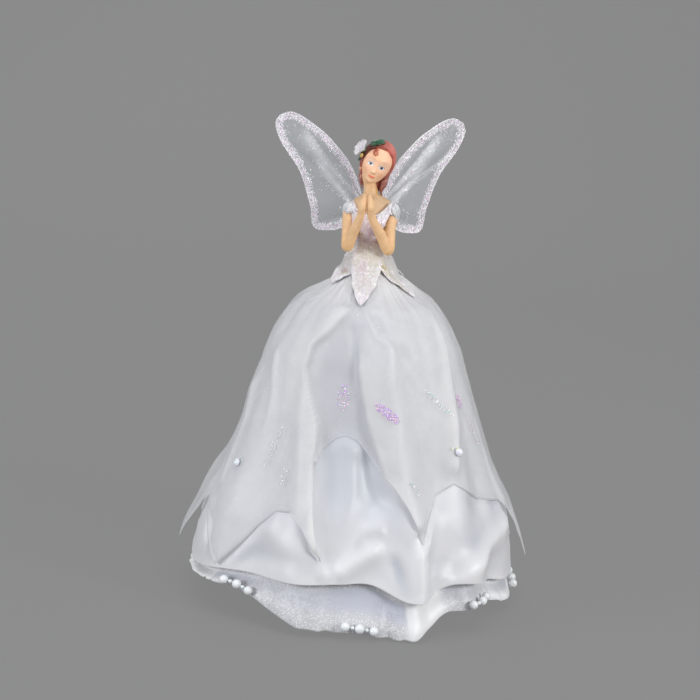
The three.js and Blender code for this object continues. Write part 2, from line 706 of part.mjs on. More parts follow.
// The organza as a sheet grown by a clearance on both faces.
function organzaSheet(grow) {
  const rows = 15;
  const face = (inset) => (i, j) => {
    const b = GUIDES[i];
    const fly = TIP_REACH * along(ORGANZA_EDGE_SHARES, 2, wrapped(b), true);
    const share = j / rows;
    const even = Math.min(share / ORGANZA_EVEN_SHARE, 1) * ORGANZA_EVEN_REACH_SHARE;
    const uneven = Math.max(0, (share - ORGANZA_EVEN_SHARE) / (1 - ORGANZA_EVEN_SHARE));
    const t = mix(even, shareAtHeight(organzaEdge(b)), uneven);
    const p = skirtPoint(b, t, inset - organzaFold(b, t));
    return p.add(polar(b, fly * smooth(share, 0.7, 1), 0));
  };
  return sheet(face(-grow), face(ORGANZA_THICKNESS + grow), GUIDES.length, rows, true);
}

function buildSkirts() {
  const columns = GUIDES.length;
  add("organza_overskirt", "organza", organzaSheet(0));

  // The last row turns in under the hem.
  const satinRows = 14;
  const satin = (inset) => (i, j) => {
    const b = GUIDES[i];
    const t = shareAtHeight(satinEdge(b)) * Math.min(j / (satinRows - 1), 1);
    const p = outsideHips(skirtPoint(b, t, inset - satinFold(b, t)));
    if (j === satinRows) p.add(polar(b, -SATIN_TUCK, (inset - SATIN_INSET - SATIN_TUCK) / 2));
    return p;
  };
  add("satin_skirt", "satin",
    sheet(satin(SATIN_INSET), satin(SATIN_INSET + SATIN_THICKNESS), columns, satinRows, true));

  const frillRows = 4;
  const frill = (inset) => (i, j) => {
    const b = GUIDES[i];
    if (j > 0) return frillPoint(b, (j - 1) / (frillRows - 1), inset);
    const p = skirtPoint(b, shareAtHeight(FRILL_TOP_Z), inset);
    p.z = FRILL_TOP_Z;
    return p;
  };
  add("lace_frill", "lace",
    sheet(frill(FRILL_INSET), frill(FRILL_INSET + FRILL_THICKNESS), columns, frillRows, true));

  // Stiff net that carries the satin, tied on the hips and flaring with the cloth over it.
  const netColumns = 24;
  const netRows = 6;
  const [netTop, netBottom] = [shareAtHeight(SKIRT_TOP_Z - NET_BELOW_SKIRT_TOP), shareAtHeight(NET_HEM_Z)];
  const net = (inset) => (i, j) => {
    const b = deg((360 * i) / netColumns);
    const share = j / netRows;
    const t = mix(netTop, netBottom, share);
    return outsideHips(skirtPoint(b, t, mix(NET_TOP_INSET, NET_INSET, smooth(share, 0, 0.5)) + inset));
  };
  add("net_petticoat", "net", sheet(net(0), net(NET_THICKNESS), netColumns, netRows, true));
}

function lathe(profile, segments) {
  const geometry = new THREE.LatheGeometry(
    profile.map(([r, z]) => new THREE.Vector2(r, z)), segments);
  geometry.rotateX(deg(90));
  return cleaned(geometry);
}

const PLUG_TOP_Z = CONE_HEIGHT + CLEARANCE + PLUG_FLANGE_THICKNESS;
const HIP_BOTTOM_Z = PLUG_TOP_Z + CLEARANCE;

function buildSupport() {
  const innerTop = CONE_TOP_RADIUS - CONE_WALL;
  const innerBase = CONE_BASE_RADIUS - CONE_WALL;
  add("support_cone", "card", lathe([
    [innerBase, 0],
    [CONE_BASE_RADIUS + FLANGE_WIDTH, 0],
    [CONE_BASE_RADIUS + FLANGE_WIDTH, FLANGE_THICKNESS],
    [CONE_BASE_RADIUS, FLANGE_THICKNESS],
    [CONE_TOP_RADIUS, CONE_HEIGHT],
    [innerTop, CONE_HEIGHT],
    [innerBase, 0],
  ], 36));

  const seat = CONE_HEIGHT + CLEARANCE;
  const foot = CONE_HEIGHT - PLUG_SPIGOT_LENGTH;
  const bore = STEM_RADIUS + CLEARANCE;
  add("waist_plug", "card", lathe([
    [bore, foot],
    [innerTop - CLEARANCE, foot],
    [innerTop - CLEARANCE, seat],
    [CONE_TOP_RADIUS, seat],
    [CONE_TOP_RADIUS, PLUG_TOP_Z],
    [bore, PLUG_TOP_Z],
    [bore, foot],
  ], 24));
}

// Torso: [share of the way from waist to shoulders, half width share, half depth share, forward share],
// widths as shares of the shoulders' and depths as shares of theirs. The hips fill the gathered waist.
const TORSO_SHARES = [
  [-0.53, 0.6, 1.18, 0],
  [-0.2, 0.6, 1.18, 0],
  [-0.08, 0.5, 0.95, 0],
  [0, 0.44, 0.84, 0],
  [0.21, 0.52, 0.93, 0.02],
  [0.46, 0.7, 1.15, 0.1],
  [0.64, 0.78, 1.27, 0.14],
  [0.82, 0.86, 1.17, 0.05],
  [0.93, 0.96, 0.97, -0.05],
  [1, 0.94, 0.8, -0.1],
  [1.08, 0.6, 0.72, -0.1],
  [1.15, 0.37, 0.68, -0.07],
];
const HIP_RADIUS = SHOULDER_HALF_WIDTH * TORSO_SHARES[0][1];

function torsoBody(grow) {
  const rings = TORSO_SHARES.map(([share, width, depth, forward], k) => {
    const z = k ? WAIST_HEIGHT + share * TORSO_RISE + grow * smooth(share, 0.8, 1) : HIP_BOTTOM_Z - grow;
    return ellipseRing(
      vec(0, -SHOULDER_HALF_DEPTH * forward, z),
      SHOULDER_HALF_WIDTH * width + grow, SHOULDER_HALF_DEPTH * depth + grow, 20);
  });
  return solid(loft(rings));
}

function neckBody(grow) {
  const foot = WAIST_HEIGHT + TORSO_SHARES.at(-1)[0] * TORSO_RISE - OVERRUN;
  const rows = 4;
  const rings = [];
  for (let j = 0; j <= rows; j++) {
    const t = j / rows;
    const radius = NECK_RADIUS * mix(1.1, 0.95, smooth(t, 0, 0.5)) + grow;
    const z = mix(foot, foot + NECK_LENGTH + grow, t);
    rings.push(ellipseRing(vec(-NECK_LEAN * smooth(t, 0.1, 1), 0, z), radius, radius, 16));
  }
  return solid(loft(rings));
}

// A slot in the back for the tab of a wing, on the side given as -1 or 1.
function wingSlot(side) {
  const width = WING_THICKNESS + 2 * CLEARANCE;
  const depth = WING_TAB_DEPTH + CLEARANCE;
  const geometry = new THREE.BoxGeometry(width, depth, WING_TAB_HEIGHT + 2 * CLEARANCE);
  geometry.translate(side * WING_ROOT_X, WING_ROOT_Y - WING_TAB_DEPTH + depth / 2 - CLEARANCE, WING_ROOT_Z);
  return solid(geometry);
}

function buildTorso() {
  const stem = new THREE.CylinderGeometry(STEM_RADIUS, STEM_RADIUS, STEM_LENGTH + OVERRUN, 20);
  stem.rotateX(deg(90));
  stem.translate(0, 0, HIP_BOTTOM_Z + (OVERRUN - STEM_LENGTH) / 2);
  return torsoBody(0).add(solid(stem)).add(neckBody(0)).subtract(wingSlot(-1)).subtract(wingSlot(1));
}

// A slab of everything between two heights.
function slab(from, to) {
  const size = 4 * SHOULDER_HALF_WIDTH;
  const geometry = new THREE.BoxGeometry(size, size, to - from);
  geometry.translate(0, 0, (from + to) / 2);
  return solid(geometry);
}

// The bodice is a shell over the torso, with a scooped neckline in front.
function bodiceBody(grow) {
  const scoop = ellipsoid(
    vec(0, -1.7 * SHOULDER_HALF_DEPTH, BODICE_TOP_Z + 0.55 * NECKLINE_RADIUS),
    vec(NECKLINE_RADIUS - grow, NECKLINE_RADIUS - grow, NECKLINE_RADIUS - grow), 20, 12);
  return torsoBody(CLEARANCE + BODICE_THICKNESS + grow)
    .intersect(slab(BODICE_BOTTOM_Z - grow, BODICE_TOP_Z + grow)).subtract(scoop);
}

// Collar petal outline: [share of the shoulders' half width, share of the way from waist to shoulders].
const COLLAR_SHARES = [
  [1.12, 0.97],
  [1.18, 0.84],
  [1.04, 0.66],
  [0.74, 0.46],
  [0.52, 0.64],
  [0.44, 0.82],
  [0.6, 0.93],
];
const COLLAR_INSIDE = 2 * CLEARANCE + BODICE_THICKNESS;

function buildCollarPetal(side) {
  const outline = new THREE.Shape(COLLAR_SHARES.map(([x, share]) =>
    new THREE.Vector2(side * SHOULDER_HALF_WIDTH * x, WAIST_HEIGHT + share * TORSO_RISE)));
  const prism = new THREE.ExtrudeGeometry(outline, { depth: 4 * SHOULDER_HALF_DEPTH, bevelEnabled: false });
  prism.rotateX(deg(90));
  prism.translate(HANDS_X / 2, -SHOULDER_HALF_DEPTH / 4, 0);
  const cut = new THREE.BufferGeometry();
  cut.setAttribute("position", prism.attributes.position);
  cut.setIndex(Array.from({ length: prism.attributes.position.count }, (_, i) => i));
  return largest(torsoBody(COLLAR_INSIDE + COLLAR_THICKNESS).subtract(torsoBody(COLLAR_INSIDE))
    .intersect(solid(cut)).subtract(armBody(side, CLEARANCE)));
}

function buildSleeve(side) {
  const puff = ellipsoid(
    vec(
      side * SHOULDER_HALF_WIDTH * 1.08,
      -SHOULDER_HALF_DEPTH * 0.15,
      SHOULDER_HEIGHT - SLEEVE_HALF_HEIGHT * 0.85,
    ),
    vec(SLEEVE_HALF_WIDTH, SLEEVE_HALF_DEPTH, SLEEVE_HALF_HEIGHT), 16, 10);
  return largest(puff.subtract(armBody(side, CLEARANCE))
    .subtract(torsoBody(COLLAR_INSIDE + COLLAR_THICKNESS + CLEARANCE)));
}

// Head: [height share, half width share, half depth share, backward share].
const HEAD_SHARES = [
  [-1, 0.16, 0.13, -0.69],
  [-0.92, 0.42, 0.38, -0.5],
  [-0.74, 0.66, 0.62, -0.3],
  [-0.45, 0.87, 0.84, -0.12],
  [-0.1, 0.99, 0.97, 0],
  [0.26, 1, 1, 0.03],
  [0.6, 0.81, 0.84, 0.06],
  [0.85, 0.48, 0.52, 0.09],
  [0.97, 0.16, 0.18, 0.09],
];
const EAR_SHARES = [-0.86, 0.02, -0.5];

// Places a point given in shares of the head's half sizes, before the head is tilted.
const onHead = (x, y, z) => vec(x * HEAD_HALF_WIDTH, y * HEAD_HALF_DEPTH, z * HEAD_HALF_HEIGHT);

function placeOnHead(body) {
  return body
    .rotate([0, THREE.MathUtils.radToDeg(HEAD_ROLL), 0])
    .translate([HEAD_CENTRE.x, HEAD_CENTRE.y, HEAD_CENTRE.z]);
}

function skull(grow) {
  return solid(loft(HEAD_SHARES.map(([height, width, depth, back]) =>
    ellipseRing(
      vec(0, back * HEAD_HALF_DEPTH, height * (HEAD_HALF_HEIGHT + grow)),
      width * HEAD_HALF_WIDTH + grow, depth * HEAD_HALF_DEPTH + grow, 20))));
}

function ear(grow) {
  const size = onHead(0.13, 0.17, 0.2);
  return ellipsoid(onHead(...EAR_SHARES), size.addScalar(grow), 10, 8);
}

function buildHead() {
  const nose = ellipsoid(onHead(0, -0.9, -0.42), onHead(0.13, 0.14, 0.16), 10, 8);
  return placeOnHead(skull(0).add(nose).add(ear(0))).subtract(neckBody(CLEARANCE));
}

// A tapered tube through stations of [point, [radius across, radius deep]].
function taperedTube(stations, rings, sides) {
  const curve = new THREE.CatmullRomCurve3(stations.map(([p]) => p), false, "centripetal");
  const last = stations.length - 1;
  const made = [];
  for (let j = 0; j <= rings; j++) {
    const t = j / rings;
    const centre = curve.getPoint(t);
    const tangent = curve.getTangent(t);
    const k = Math.min(Math.floor(t * last), last - 1);
    const s = smooth(t * last - k, 0, 1);
    const [a, b] = [stations[k][1], stations[k + 1][1]];
    const [ra, rb] = [mix(a[0], b[0], s), mix(a[1], b[1], s)];
    const first = vec(1, 0, 0).addScaledVector(tangent, -tangent.x).normalize();
    const second = vec().crossVectors(tangent, first);
    made.push(Array.from({ length: sides }, (_, i) => {
      const angle = (i / sides) * 2 * Math.PI;
      return centre.clone()
        .addScaledVector(first, ra * Math.cos(angle))
        .addScaledVector(second, rb * Math.sin(angle));
    }));
  }
  return solid(loft(made));
}

// Locks of hair beside the neck, in shares of the head's half sizes from its centre, untilted.
const LEFT_LOCK_SHARES = [[-0.96, 0.3, -0.2], [-1.08, 0.25, -0.6], [-1.02, 0.2, -1.05], [-0.96, 0.25, -1.4]];
const RIGHT_LOCK_SHARES = [[0.75, 0.25, -0.45], [0.92, 0.1, -0.85], [0.72, 0.05, -1.15], [0.68, 0.1, -1.48]];
const CAP_CENTRE = onHead(0, 0.1, 0.08);
const CAP_RADII = vec(
  HEAD_HALF_WIDTH + HAIR_THICKNESS, HEAD_HALF_DEPTH + HAIR_THICKNESS, HEAD_HALF_HEIGHT + HAIR_THICKNESS / 2);

function lock(shares, radius) {
  return taperedTube(shares.map((share, k) => {
    const r = k === shares.length - 1 ? radius / 2 : radius;
    return [onHead(...share).add(HEAD_CENTRE), [r, r]];
  }), 6, 7);
}

function buildHair() {
  const cap = ellipsoid(CAP_CENTRE, CAP_RADII, 20, 12);
  const face = ellipsoid(onHead(0, -1.6, -0.35), onHead(1.9, 1.62, 1.05), 18, 12);
  const underside = ellipsoid(onHead(0, -0.75, -1.15), onHead(0.9, 1.1, 0.75), 14, 8);
  const scalp = placeOnHead(cap.subtract(face).subtract(underside));
  const fall = ellipsoid(
    onHead(-0.15, 0.5, -0.75).add(HEAD_CENTRE), onHead(0.86, 0.42, 0.8), 12, 8);
  const locks = lock(LEFT_LOCK_SHARES, LEFT_LOCK_RADIUS).add(lock(RIGHT_LOCK_SHARES, RIGHT_LOCK_RADIUS));
  return largest(
    scalp.add(fall).add(locks)
      .subtract(placeOnHead(skull(CLEARANCE))).subtract(placeOnHead(ear(CLEARANCE)))
      .subtract(torsoBody(CLEARANCE)).subtract(neckBody(CLEARANCE)).subtract(curlRoom()),
  );
}

// Arms bend at the elbow and bring the hands together in front of the chest. Stations are shares of the
// shoulders' half width forward and sideways, and of the rise from waist to shoulders upwards.
const LEFT_ARM_SHARES = [[-1.14, 0.05, 0.86], [-1.13, -0.56, 0.5], [-1.09, -1.14, 0.16]];
const RIGHT_ARM_SHARES = [[1.08, 0.05, 0.86], [0.98, -0.56, 0.5], [0.94, -1.14, 0.13]];
const WRIST_SHARES = [0.07, -1.78, 0.8]; // sideways from the palm, forward and up

function armStations(side, grow) {
  const place = ([x, y, up]) =>
    vec(x * SHOULDER_HALF_WIDTH, y * SHOULDER_HALF_WIDTH, WAIST_HEIGHT + up * TORSO_RISE);
  const [shoulder, middle, elbow] = (side < 0 ? LEFT_ARM_SHARES : RIGHT_ARM_SHARES).map(place);
  const palm = HANDS_X + side * (HAND_HALF_THICKNESS + CLEARANCE / 2);
  const wrist = place(WRIST_SHARES);
  wrist.x = palm + side * WRIST_SHARES[0] * SHOULDER_HALF_WIDTH;
  const knuckles = vec(palm, wrist.y - HAND_LENGTH * 0.06, wrist.z + HAND_LENGTH * 0.42);
  const tip = vec(palm, wrist.y - HAND_LENGTH * 0.12, wrist.z + HAND_LENGTH + grow);
  const start = shoulder.clone().add(shoulder.clone().sub(middle).normalize().multiplyScalar(grow));
  const round = (r) => [r + grow, r + grow];
  return [
    [start, round(ARM_RADIUS)],
    [middle, round(ARM_RADIUS)],
    [elbow, round(ARM_RADIUS)],
    [elbow.clone().lerp(wrist, 0.45), round(ARM_RADIUS * 0.92)],
    [wrist, round(WRIST_RADIUS)],
    [knuckles, [HAND_HALF_THICKNESS + grow, HAND_HALF_BREADTH + grow]],
    [tip, [HAND_HALF_THICKNESS * 0.45 + grow, HAND_HALF_BREADTH * 0.4 + grow]],
  ];
}

function armBody(side, grow) {
  return taperedTube(armStations(side, grow), 17, 12);
}

// Half space on one side of the palms' meeting plane, so that the hands only touch.
function handHalf(side) {
  const size = 3 * SHOULDER_HALF_WIDTH;
  const geometry = new THREE.BoxGeometry(size, 2 * size, 2 * size);
  geometry.translate(HANDS_X + side * (size / 2 + CLEARANCE / 2), 0, SHOULDER_HEIGHT);
  return solid(geometry);
}

function buildArm(side) {
  return largest(armBody(side, 0).intersect(handHalf(side))
    .subtract(torsoBody(CLEARANCE)).subtract(bodiceBody(CLEARANCE)));
}

const leafWidth = (b) => Math.pow(Math.sin(Math.PI * Math.pow(b, 0.8)), 0.75);

// Peplum petals: [name, bearing, tip bearing, half width as a share of the peplum's shoulder radius, how far
// down the skirt it reaches].
const PEPLUM_SHARES = [
  ["front", -4, -5, 0.62, 0.255],
  ["right", 58, 57, 0.46, 0.215],
  ["left", -68, -58, 0.5, 0.155],
  ["back_right", 118, 120, 0.55, 0.19],
  ["back", 180, 180, 0.6, 0.24],
  ["back_left", 238, 238, 0.5, 0.18],
];
const PEPLUM_ROOT_SHARE = 0.4; // half width of a petal at the waist, of its widest

function buildPeplum() {
  const rows = 8;
  const columns = 4;
  for (const [name, from, to, half, reach] of PEPLUM_SHARES) {
    const onSkirt = (share) => {
      const p = skirtPoint(deg(to), share, -LAYER_GAP);
      return vec(Math.hypot(p.x, p.y), 0, p.z);
    };
    const path = new THREE.CatmullRomCurve3([
      vec(PEPLUM_TOP_RADIUS, 0, PEPLUM_TOP_Z),
      vec(PEPLUM_SHOULDER_RADIUS, 0, PEPLUM_SHOULDER_Z),
      ...[0.5, 0.75, 1].map((s) => onSkirt(reach * s)),
    ], false, "centripetal");
    const face = (out) => (i, j) => {
      const b = j / rows;
      const across = (2 * i) / columns - 1;
      const share = Math.max(PEPLUM_ROOT_SHARE * (1 - smooth(b, 0.2, 0.5)), leafWidth(b));
      const at = path.getPoint(b);
      const tangent = path.getTangent(b);
      const turn = (across * half * PEPLUM_SHOULDER_RADIUS * share) / at.x;
      return polar(deg(mix(from, to, b)) + turn, at.x - out * tangent.z, at.z + out * tangent.x);
    };
    add("peplum_petal_" + name, "petal", sheet(face(PETAL_THICKNESS), face(0), columns, rows, false));
  }
}

// Wing outline round the root: [span share, share of the top or of the drop].
const WING_OUTLINE_SHARES = [
  [0.02, 0.06], [0.067, 0.2], [0.129, 0.365], [0.223, 0.525], [0.334, 0.656], [0.479, 0.801],
  [0.664, 0.929], [0.774, 0.985], [0.859, 1], [0.961, 0.956], [1, 0.875], [0.986, 0.774],
  [0.926, 0.645], [0.836, 0.519], [0.746, 0.394], [0.673, 0.232], [0.622, 0.068], [0.585, -0.19],
  [0.567, -0.7], [0.521, -0.97], [0.424, -1], [0.288, -0.91], [0.16, -0.62], [0.04, -0.2],
];
const WING_VEIN_SHARES = [0.17, 0.33, 0.5, 0.8]; // of the way round the outline, where a vein ends
const VEIN_WIDTH_SHARE = 0.035;

function buildWing(side, sweep) {
  const outline = WING_OUTLINE_SHARES.map(([s, h]) =>
    new THREE.Vector2(s * WING_SPAN, h * (h > 0 ? WING_TOP : WING_DROP)));
  const columns = 36;
  const edge = new THREE.SplineCurve(outline).getPoints(columns);
  const steps = 3;
  const relief = (share, t) => {
    const ridge = WING_VEIN_SHARES.reduce(
      (sum, vein) => sum + Math.exp(-Math.pow((share - vein) / VEIN_WIDTH_SHARE, 2)), 0);
    return WING_RELIEF * (ridge - 0.35) * Math.sin(Math.PI * t);
  };
  const face = (out) => (i, j) => {
    const t = j / steps;
    return vec(side * edge[i].x * t, relief(i / columns, t) + out, edge[i].y * t);
  };
  const film = sheet(face(WING_THICKNESS / 2), face(-WING_THICKNESS / 2), columns, steps, false);
  film.rotateZ(side * sweep);
  film.translate(side * WING_ROOT_X, WING_ROOT_Y, WING_ROOT_Z);
  const tab = new THREE.BoxGeometry(WING_THICKNESS, WING_TAB_DEPTH + WING_THICKNESS, WING_TAB_HEIGHT);
  tab.translate(side * WING_ROOT_X, WING_ROOT_Y - (WING_TAB_DEPTH - WING_THICKNESS) / 2, WING_ROOT_Z);
  return solid(film).add(solid(tab));
}

function buildWaistTie() {
  const radius = SKIRT_TOP_RADIUS + WAIST_TIE_RADIUS + CLEARANCE;
  const ring = new THREE.TorusGeometry(radius, WAIST_TIE_RADIUS, 6, 28);
  ring.translate(0, 0, SKIRT_TOP_Z + CLEARANCE);
  return solid(ring);
}

// Bearings of the middle of each bead string, and how high its beads sit above the lace edge.
const BEAD_STRING_BEARINGS = [-43, 4, 50, 95, 140, 188, 222, 252];
const BEAD_LIFT_SHARE = 0.35; // of a bead's radius
const BEAD_SEAT_SHARE = 0.93; // how far the beads stand off the lace, of their radius

// Beads on a short thread: the tube swells into a bead and narrows to the thread.
function buildBeads() {
  const thread = BEAD_THREAD_RADIUS / BEAD_RADIUS;
  const swell = [[-1, thread], [-0.8, 0.62], [0, 1], [0.8, 0.62], [1, thread]]; // shares of the bead's radius
  const sides = 6;
  BEAD_STRING_BEARINGS.forEach((bearing, k) => {
    const rings = [];
    for (let n = 0; n < BEADS_IN_STRING; n++) {
      const middle = deg(bearing) + ((n - (BEADS_IN_STRING - 1) / 2) * BEAD_PITCH) / HEM_RADIUS;
      for (const [step, share] of swell) {
        const b = middle + (step * BEAD_RADIUS) / HEM_RADIUS;
        const centre = frillPoint(b, 1, FRILL_INSET);
        const outward = vec(centre.x, centre.y, 0).normalize();
        centre.addScaledVector(outward, BEAD_RADIUS * BEAD_SEAT_SHARE);
        centre.z += BEAD_RADIUS * (1 + BEAD_LIFT_SHARE);
        const radius = share * BEAD_RADIUS;
        rings.push(Array.from({ length: sides }, (_, i) => {
          const a = (i / sides) * 2 * Math.PI;
          const side = outward.clone().multiplyScalar(radius * Math.cos(a));
          return centre.clone().add(side).add(vec(0, 0, radius * Math.sin(a)));
        }));
      }
    }
    add("bead_string_" + (k + 1), "bead", loft(rings));
  });
}

// Gems glued on the organza: [bearing, height share, share of a gem's thickness that the cloth lifts it].
const GEM_SHARES = [[-57, 0.428, 0.9], [47.5, 0.503, 0], [133, 0.5, 0.1], [205, 0.47, 0.25]];

function buildGems() {
  const room = solid(organzaSheet(CLEARANCE));
  GEM_SHARES.forEach(([bearing, share, lift], k) => {
    const b = deg(bearing);
    const t = shareAtHeight(share * SKIRT_TOP_Z);
    const step = 0.02;
    const inset = -CLEARANCE - lift * GEM_THICKNESS - organzaFold(b, t);
    const p = skirtPoint(b, t, inset);
    const down = skirtPoint(b, t + step, inset).sub(p);
    const round = skirtPoint(b + step, t, inset).sub(p);
    const normal = vec().crossVectors(round, down).normalize();
    if (normal.dot(polar(b, 1, 0)) < 0) normal.negate();
    const gem = new THREE.CylinderGeometry(GEM_RADIUS * 0.65, GEM_RADIUS, GEM_THICKNESS, 8);
    gem.translate(0, GEM_THICKNESS / 2, 0);
    gem.applyQuaternion(new THREE.Quaternion().setFromUnitVectors(vec(0, 1, 0), normal));
    gem.translate(p.x, p.y, p.z);
    add("gem_" + (k + 1), "bead", largest(solid(gem).subtract(room)));
  });
}

// The flower stands at the temple on a short stalk, turned outwards and a little to the front.
const FLOWER_SHARES = [-1.11, -0.28, 0.7]; // of the head's half sizes, from its centre, untilted
const FLOWER_FACING_SHARES = [-0.68, -0.42, 0.6];
const FLOWER_PETALS = 5;

function buildFlower() {
  let bloom = ellipsoid(vec(0, 0, FLOWER_THICKNESS * 0.35),
    vec(FLOWER_RADIUS * 0.24, FLOWER_RADIUS * 0.24, FLOWER_THICKNESS * 0.7), 10, 6);
  const stalk = new THREE.CylinderGeometry(FLOWER_STALK_RADIUS, FLOWER_STALK_RADIUS, FLOWER_RADIUS / 2, 10);
  stalk.rotateX(deg(90));
  stalk.translate(0, 0, -FLOWER_RADIUS / 4);
  bloom = bloom.add(solid(stalk));
  for (let k = 0; k < FLOWER_PETALS; k++) {
    const petal = ellipsoid(vec(FLOWER_RADIUS * 0.54, 0, 0),
      vec(FLOWER_RADIUS * 0.48, FLOWER_RADIUS * 0.34, FLOWER_THICKNESS / 2), 8, 5);
    bloom = bloom.add(petal.rotate([0, -16, 0]).rotate([0, 0, (360 * k) / FLOWER_PETALS]));
  }
  const facing = vec(...FLOWER_FACING_SHARES).normalize();
  const turn = new THREE.Matrix4().makeRotationFromQuaternion(
    new THREE.Quaternion().setFromUnitVectors(vec(0, 0, 1), facing));
  turn.setPosition(onHead(...FLOWER_SHARES).add(HEAD_CENTRE));
  const room = placeOnHead(ellipsoid(CAP_CENTRE, CAP_RADII.clone().addScalar(CLEARANCE), 24, 14));
  return largest(bloom.transform(turn.elements).subtract(room));
}

// A point over the hair in a direction from the middle of the cap, before the head is tilted.
function overHair(direction, lift) {
  const d = direction.clone().normalize();
  const reach = 1 / Math.hypot(d.x / CAP_RADII.x, d.y / CAP_RADII.y, d.z / CAP_RADII.z);
  return d.multiplyScalar(reach + lift).add(CAP_CENTRE);
}

// Leaves lie on the hair from a base direction to a tip direction, in shares of the head's half sizes.
const LEAF_SHARES = [
  [[-0.95, -0.27, 0.54], [-0.53, -0.37, 0.93]],
  [[-0.5, -0.1, 0.93], [0.12, -0.2, 1.02]],
  [[-1.22, -0.14, 0.12], [-1.13, -0.02, -0.36]],
];
const BUD_SHARES = [-1.02, -0.47, -0.02];

function buildLeaves() {
  const [columns, rows] = [4, 6];
  LEAF_SHARES.forEach(([base, tip], k) => {
    const [from, to] = [onHead(...base), onHead(...tip)];
    const across = vec().crossVectors(from, to).normalize();
    const face = (out) => (i, j) => {
      const b = j / rows;
      const side = (2 * i) / columns - 1;
      const half = (LEAF_WIDTH / 2) * Math.sin(Math.PI * Math.pow(b, 0.85));
      const direction = from.clone().lerp(to, b).addScaledVector(across, side * half);
      return overHair(direction, CLEARANCE + out + LEAF_THICKNESS * 0.4 * Math.abs(side));
    };
    const blade = solid(sheet(face(LEAF_THICKNESS), face(0), columns, rows, false));
    add("leaf_" + (k + 1), "leaf", placeOnHead(blade));
  });
  const seat = overHair(onHead(...BUD_SHARES), CLEARANCE + BUD_RADIUS);
  add("hair_bud", "bud", placeOnHead(ellipsoid(seat, vec(BUD_RADIUS, BUD_RADIUS, BUD_RADIUS), 10, 6)));
}

const CURL_SHARES = [-0.4, 0, 0.5];
const CURL_TURNS = 1.1;

// How far in front of the head's middle its face lies, at a place given sideways and upwards.
function faceDepth(x, z) {
  const share = z / HEAD_HALF_HEIGHT;
  const [wide, deep, back] = [1, 2, 3].map((column) => along(HEAD_SHARES, column, share));
  return HEAD_HALF_DEPTH * (back - deep * Math.sqrt(1 - Math.pow(x / (wide * HEAD_HALF_WIDTH), 2)));
}

// Room in the front of the hair for the curl.
function curlRoom() {
  const middle = onHead(...CURL_SHARES);
  middle.y = faceDepth(middle.x, middle.z) - CURL_THICKNESS;
  const reach = CURL_RADIUS + CURL_THICKNESS + 2 * CLEARANCE;
  return placeOnHead(ellipsoid(middle, vec(reach, 2 * reach, reach), 14, 8));
}

// A flat spiral of hair lying on the forehead.
function buildCurl() {
  const steps = 12;
  const sides = 6;
  const rings = [];
  const middle = onHead(...CURL_SHARES);
  for (let j = 0; j <= steps; j++) {
    const s = j / steps;
    const a = s * CURL_TURNS * 2 * Math.PI + 1.4;
    const r = CURL_RADIUS * (1 - 0.5 * s);
    const at = vec(middle.x + r * Math.cos(a), 0, middle.z + r * Math.sin(a));
    at.y = faceDepth(at.x, at.z) - CURL_THICKNESS - CLEARANCE;
    const first = vec(Math.cos(a), 0, Math.sin(a));
    const thick = CURL_THICKNESS * mix(1, 0.7, s);
    rings.push(Array.from({ length: sides }, (_, i) => {
      const angle = (i / sides) * 2 * Math.PI;
      const deep = vec(0, thick * Math.sin(angle), 0);
      return at.clone().addScaledVector(first, thick * Math.cos(angle)).add(deep);
    }));
  }
  return placeOnHead(solid(loft(rings)));
}

buildSupport();
buildSkirts();
add("waist_tie", "lace", buildWaistTie());
add("wing_left", "wing", buildWing(-1, LEFT_WING_SWEEP));
add("wing_right", "wing", buildWing(1, RIGHT_WING_SWEEP));
add("torso", "skin", buildTorso());
add("head", "skin", buildHead());
add("bodice", "bodice", largest(
  bodiceBody(0).subtract(torsoBody(CLEARANCE)).subtract(wingSlot(-1)).subtract(wingSlot(1))));
add("hair", "hair", buildHair());
for (const [name, side] of [["left", -1], ["right", 1]]) {
  add("arm_" + name, "skin", buildArm(side));
  add("sleeve_" + name, "bodice", buildSleeve(side));
  add("collar_petal_" + name, "petal", buildCollarPetal(side));
}
buildPeplum();
buildBeads();
buildGems();
add("hair_flower", "flower", buildFlower());
buildLeaves();
add("forehead_curl", "hair", buildCurl());

export default group;
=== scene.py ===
"""Looks of the angel tree topper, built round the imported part.

Lengths are millimetres until a mesh is made, where they become metres. +Z is up and the angel faces -Y.
Bearings go round the axis from the front, positive towards +X.
"""

import logging
import math
from dataclasses import dataclass, field
from enum import Enum
from typing import Callable, Sequence

import bpy
import numpy as np
from mathutils import Matrix, Vector


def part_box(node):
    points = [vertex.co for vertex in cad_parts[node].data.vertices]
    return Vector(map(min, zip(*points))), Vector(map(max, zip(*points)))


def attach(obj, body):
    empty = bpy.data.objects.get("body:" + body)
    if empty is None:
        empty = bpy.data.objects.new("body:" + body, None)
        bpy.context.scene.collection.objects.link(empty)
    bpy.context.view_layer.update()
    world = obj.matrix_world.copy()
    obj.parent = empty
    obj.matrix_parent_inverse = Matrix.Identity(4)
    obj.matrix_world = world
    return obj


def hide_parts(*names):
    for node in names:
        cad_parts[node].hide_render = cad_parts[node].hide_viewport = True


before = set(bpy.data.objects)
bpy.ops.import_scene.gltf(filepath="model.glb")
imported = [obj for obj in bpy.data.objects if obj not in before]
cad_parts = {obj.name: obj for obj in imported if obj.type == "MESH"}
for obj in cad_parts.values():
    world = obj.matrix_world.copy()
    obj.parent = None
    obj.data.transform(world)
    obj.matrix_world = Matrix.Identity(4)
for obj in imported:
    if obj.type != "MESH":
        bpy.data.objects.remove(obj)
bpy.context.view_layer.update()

LOG = logging.getLogger("topper")
Array = np.ndarray
Table = Sequence[Sequence[float]]
Colour = tuple[float, float, float]
MM = 0.001
BODY = "root"
GREY = 0.268


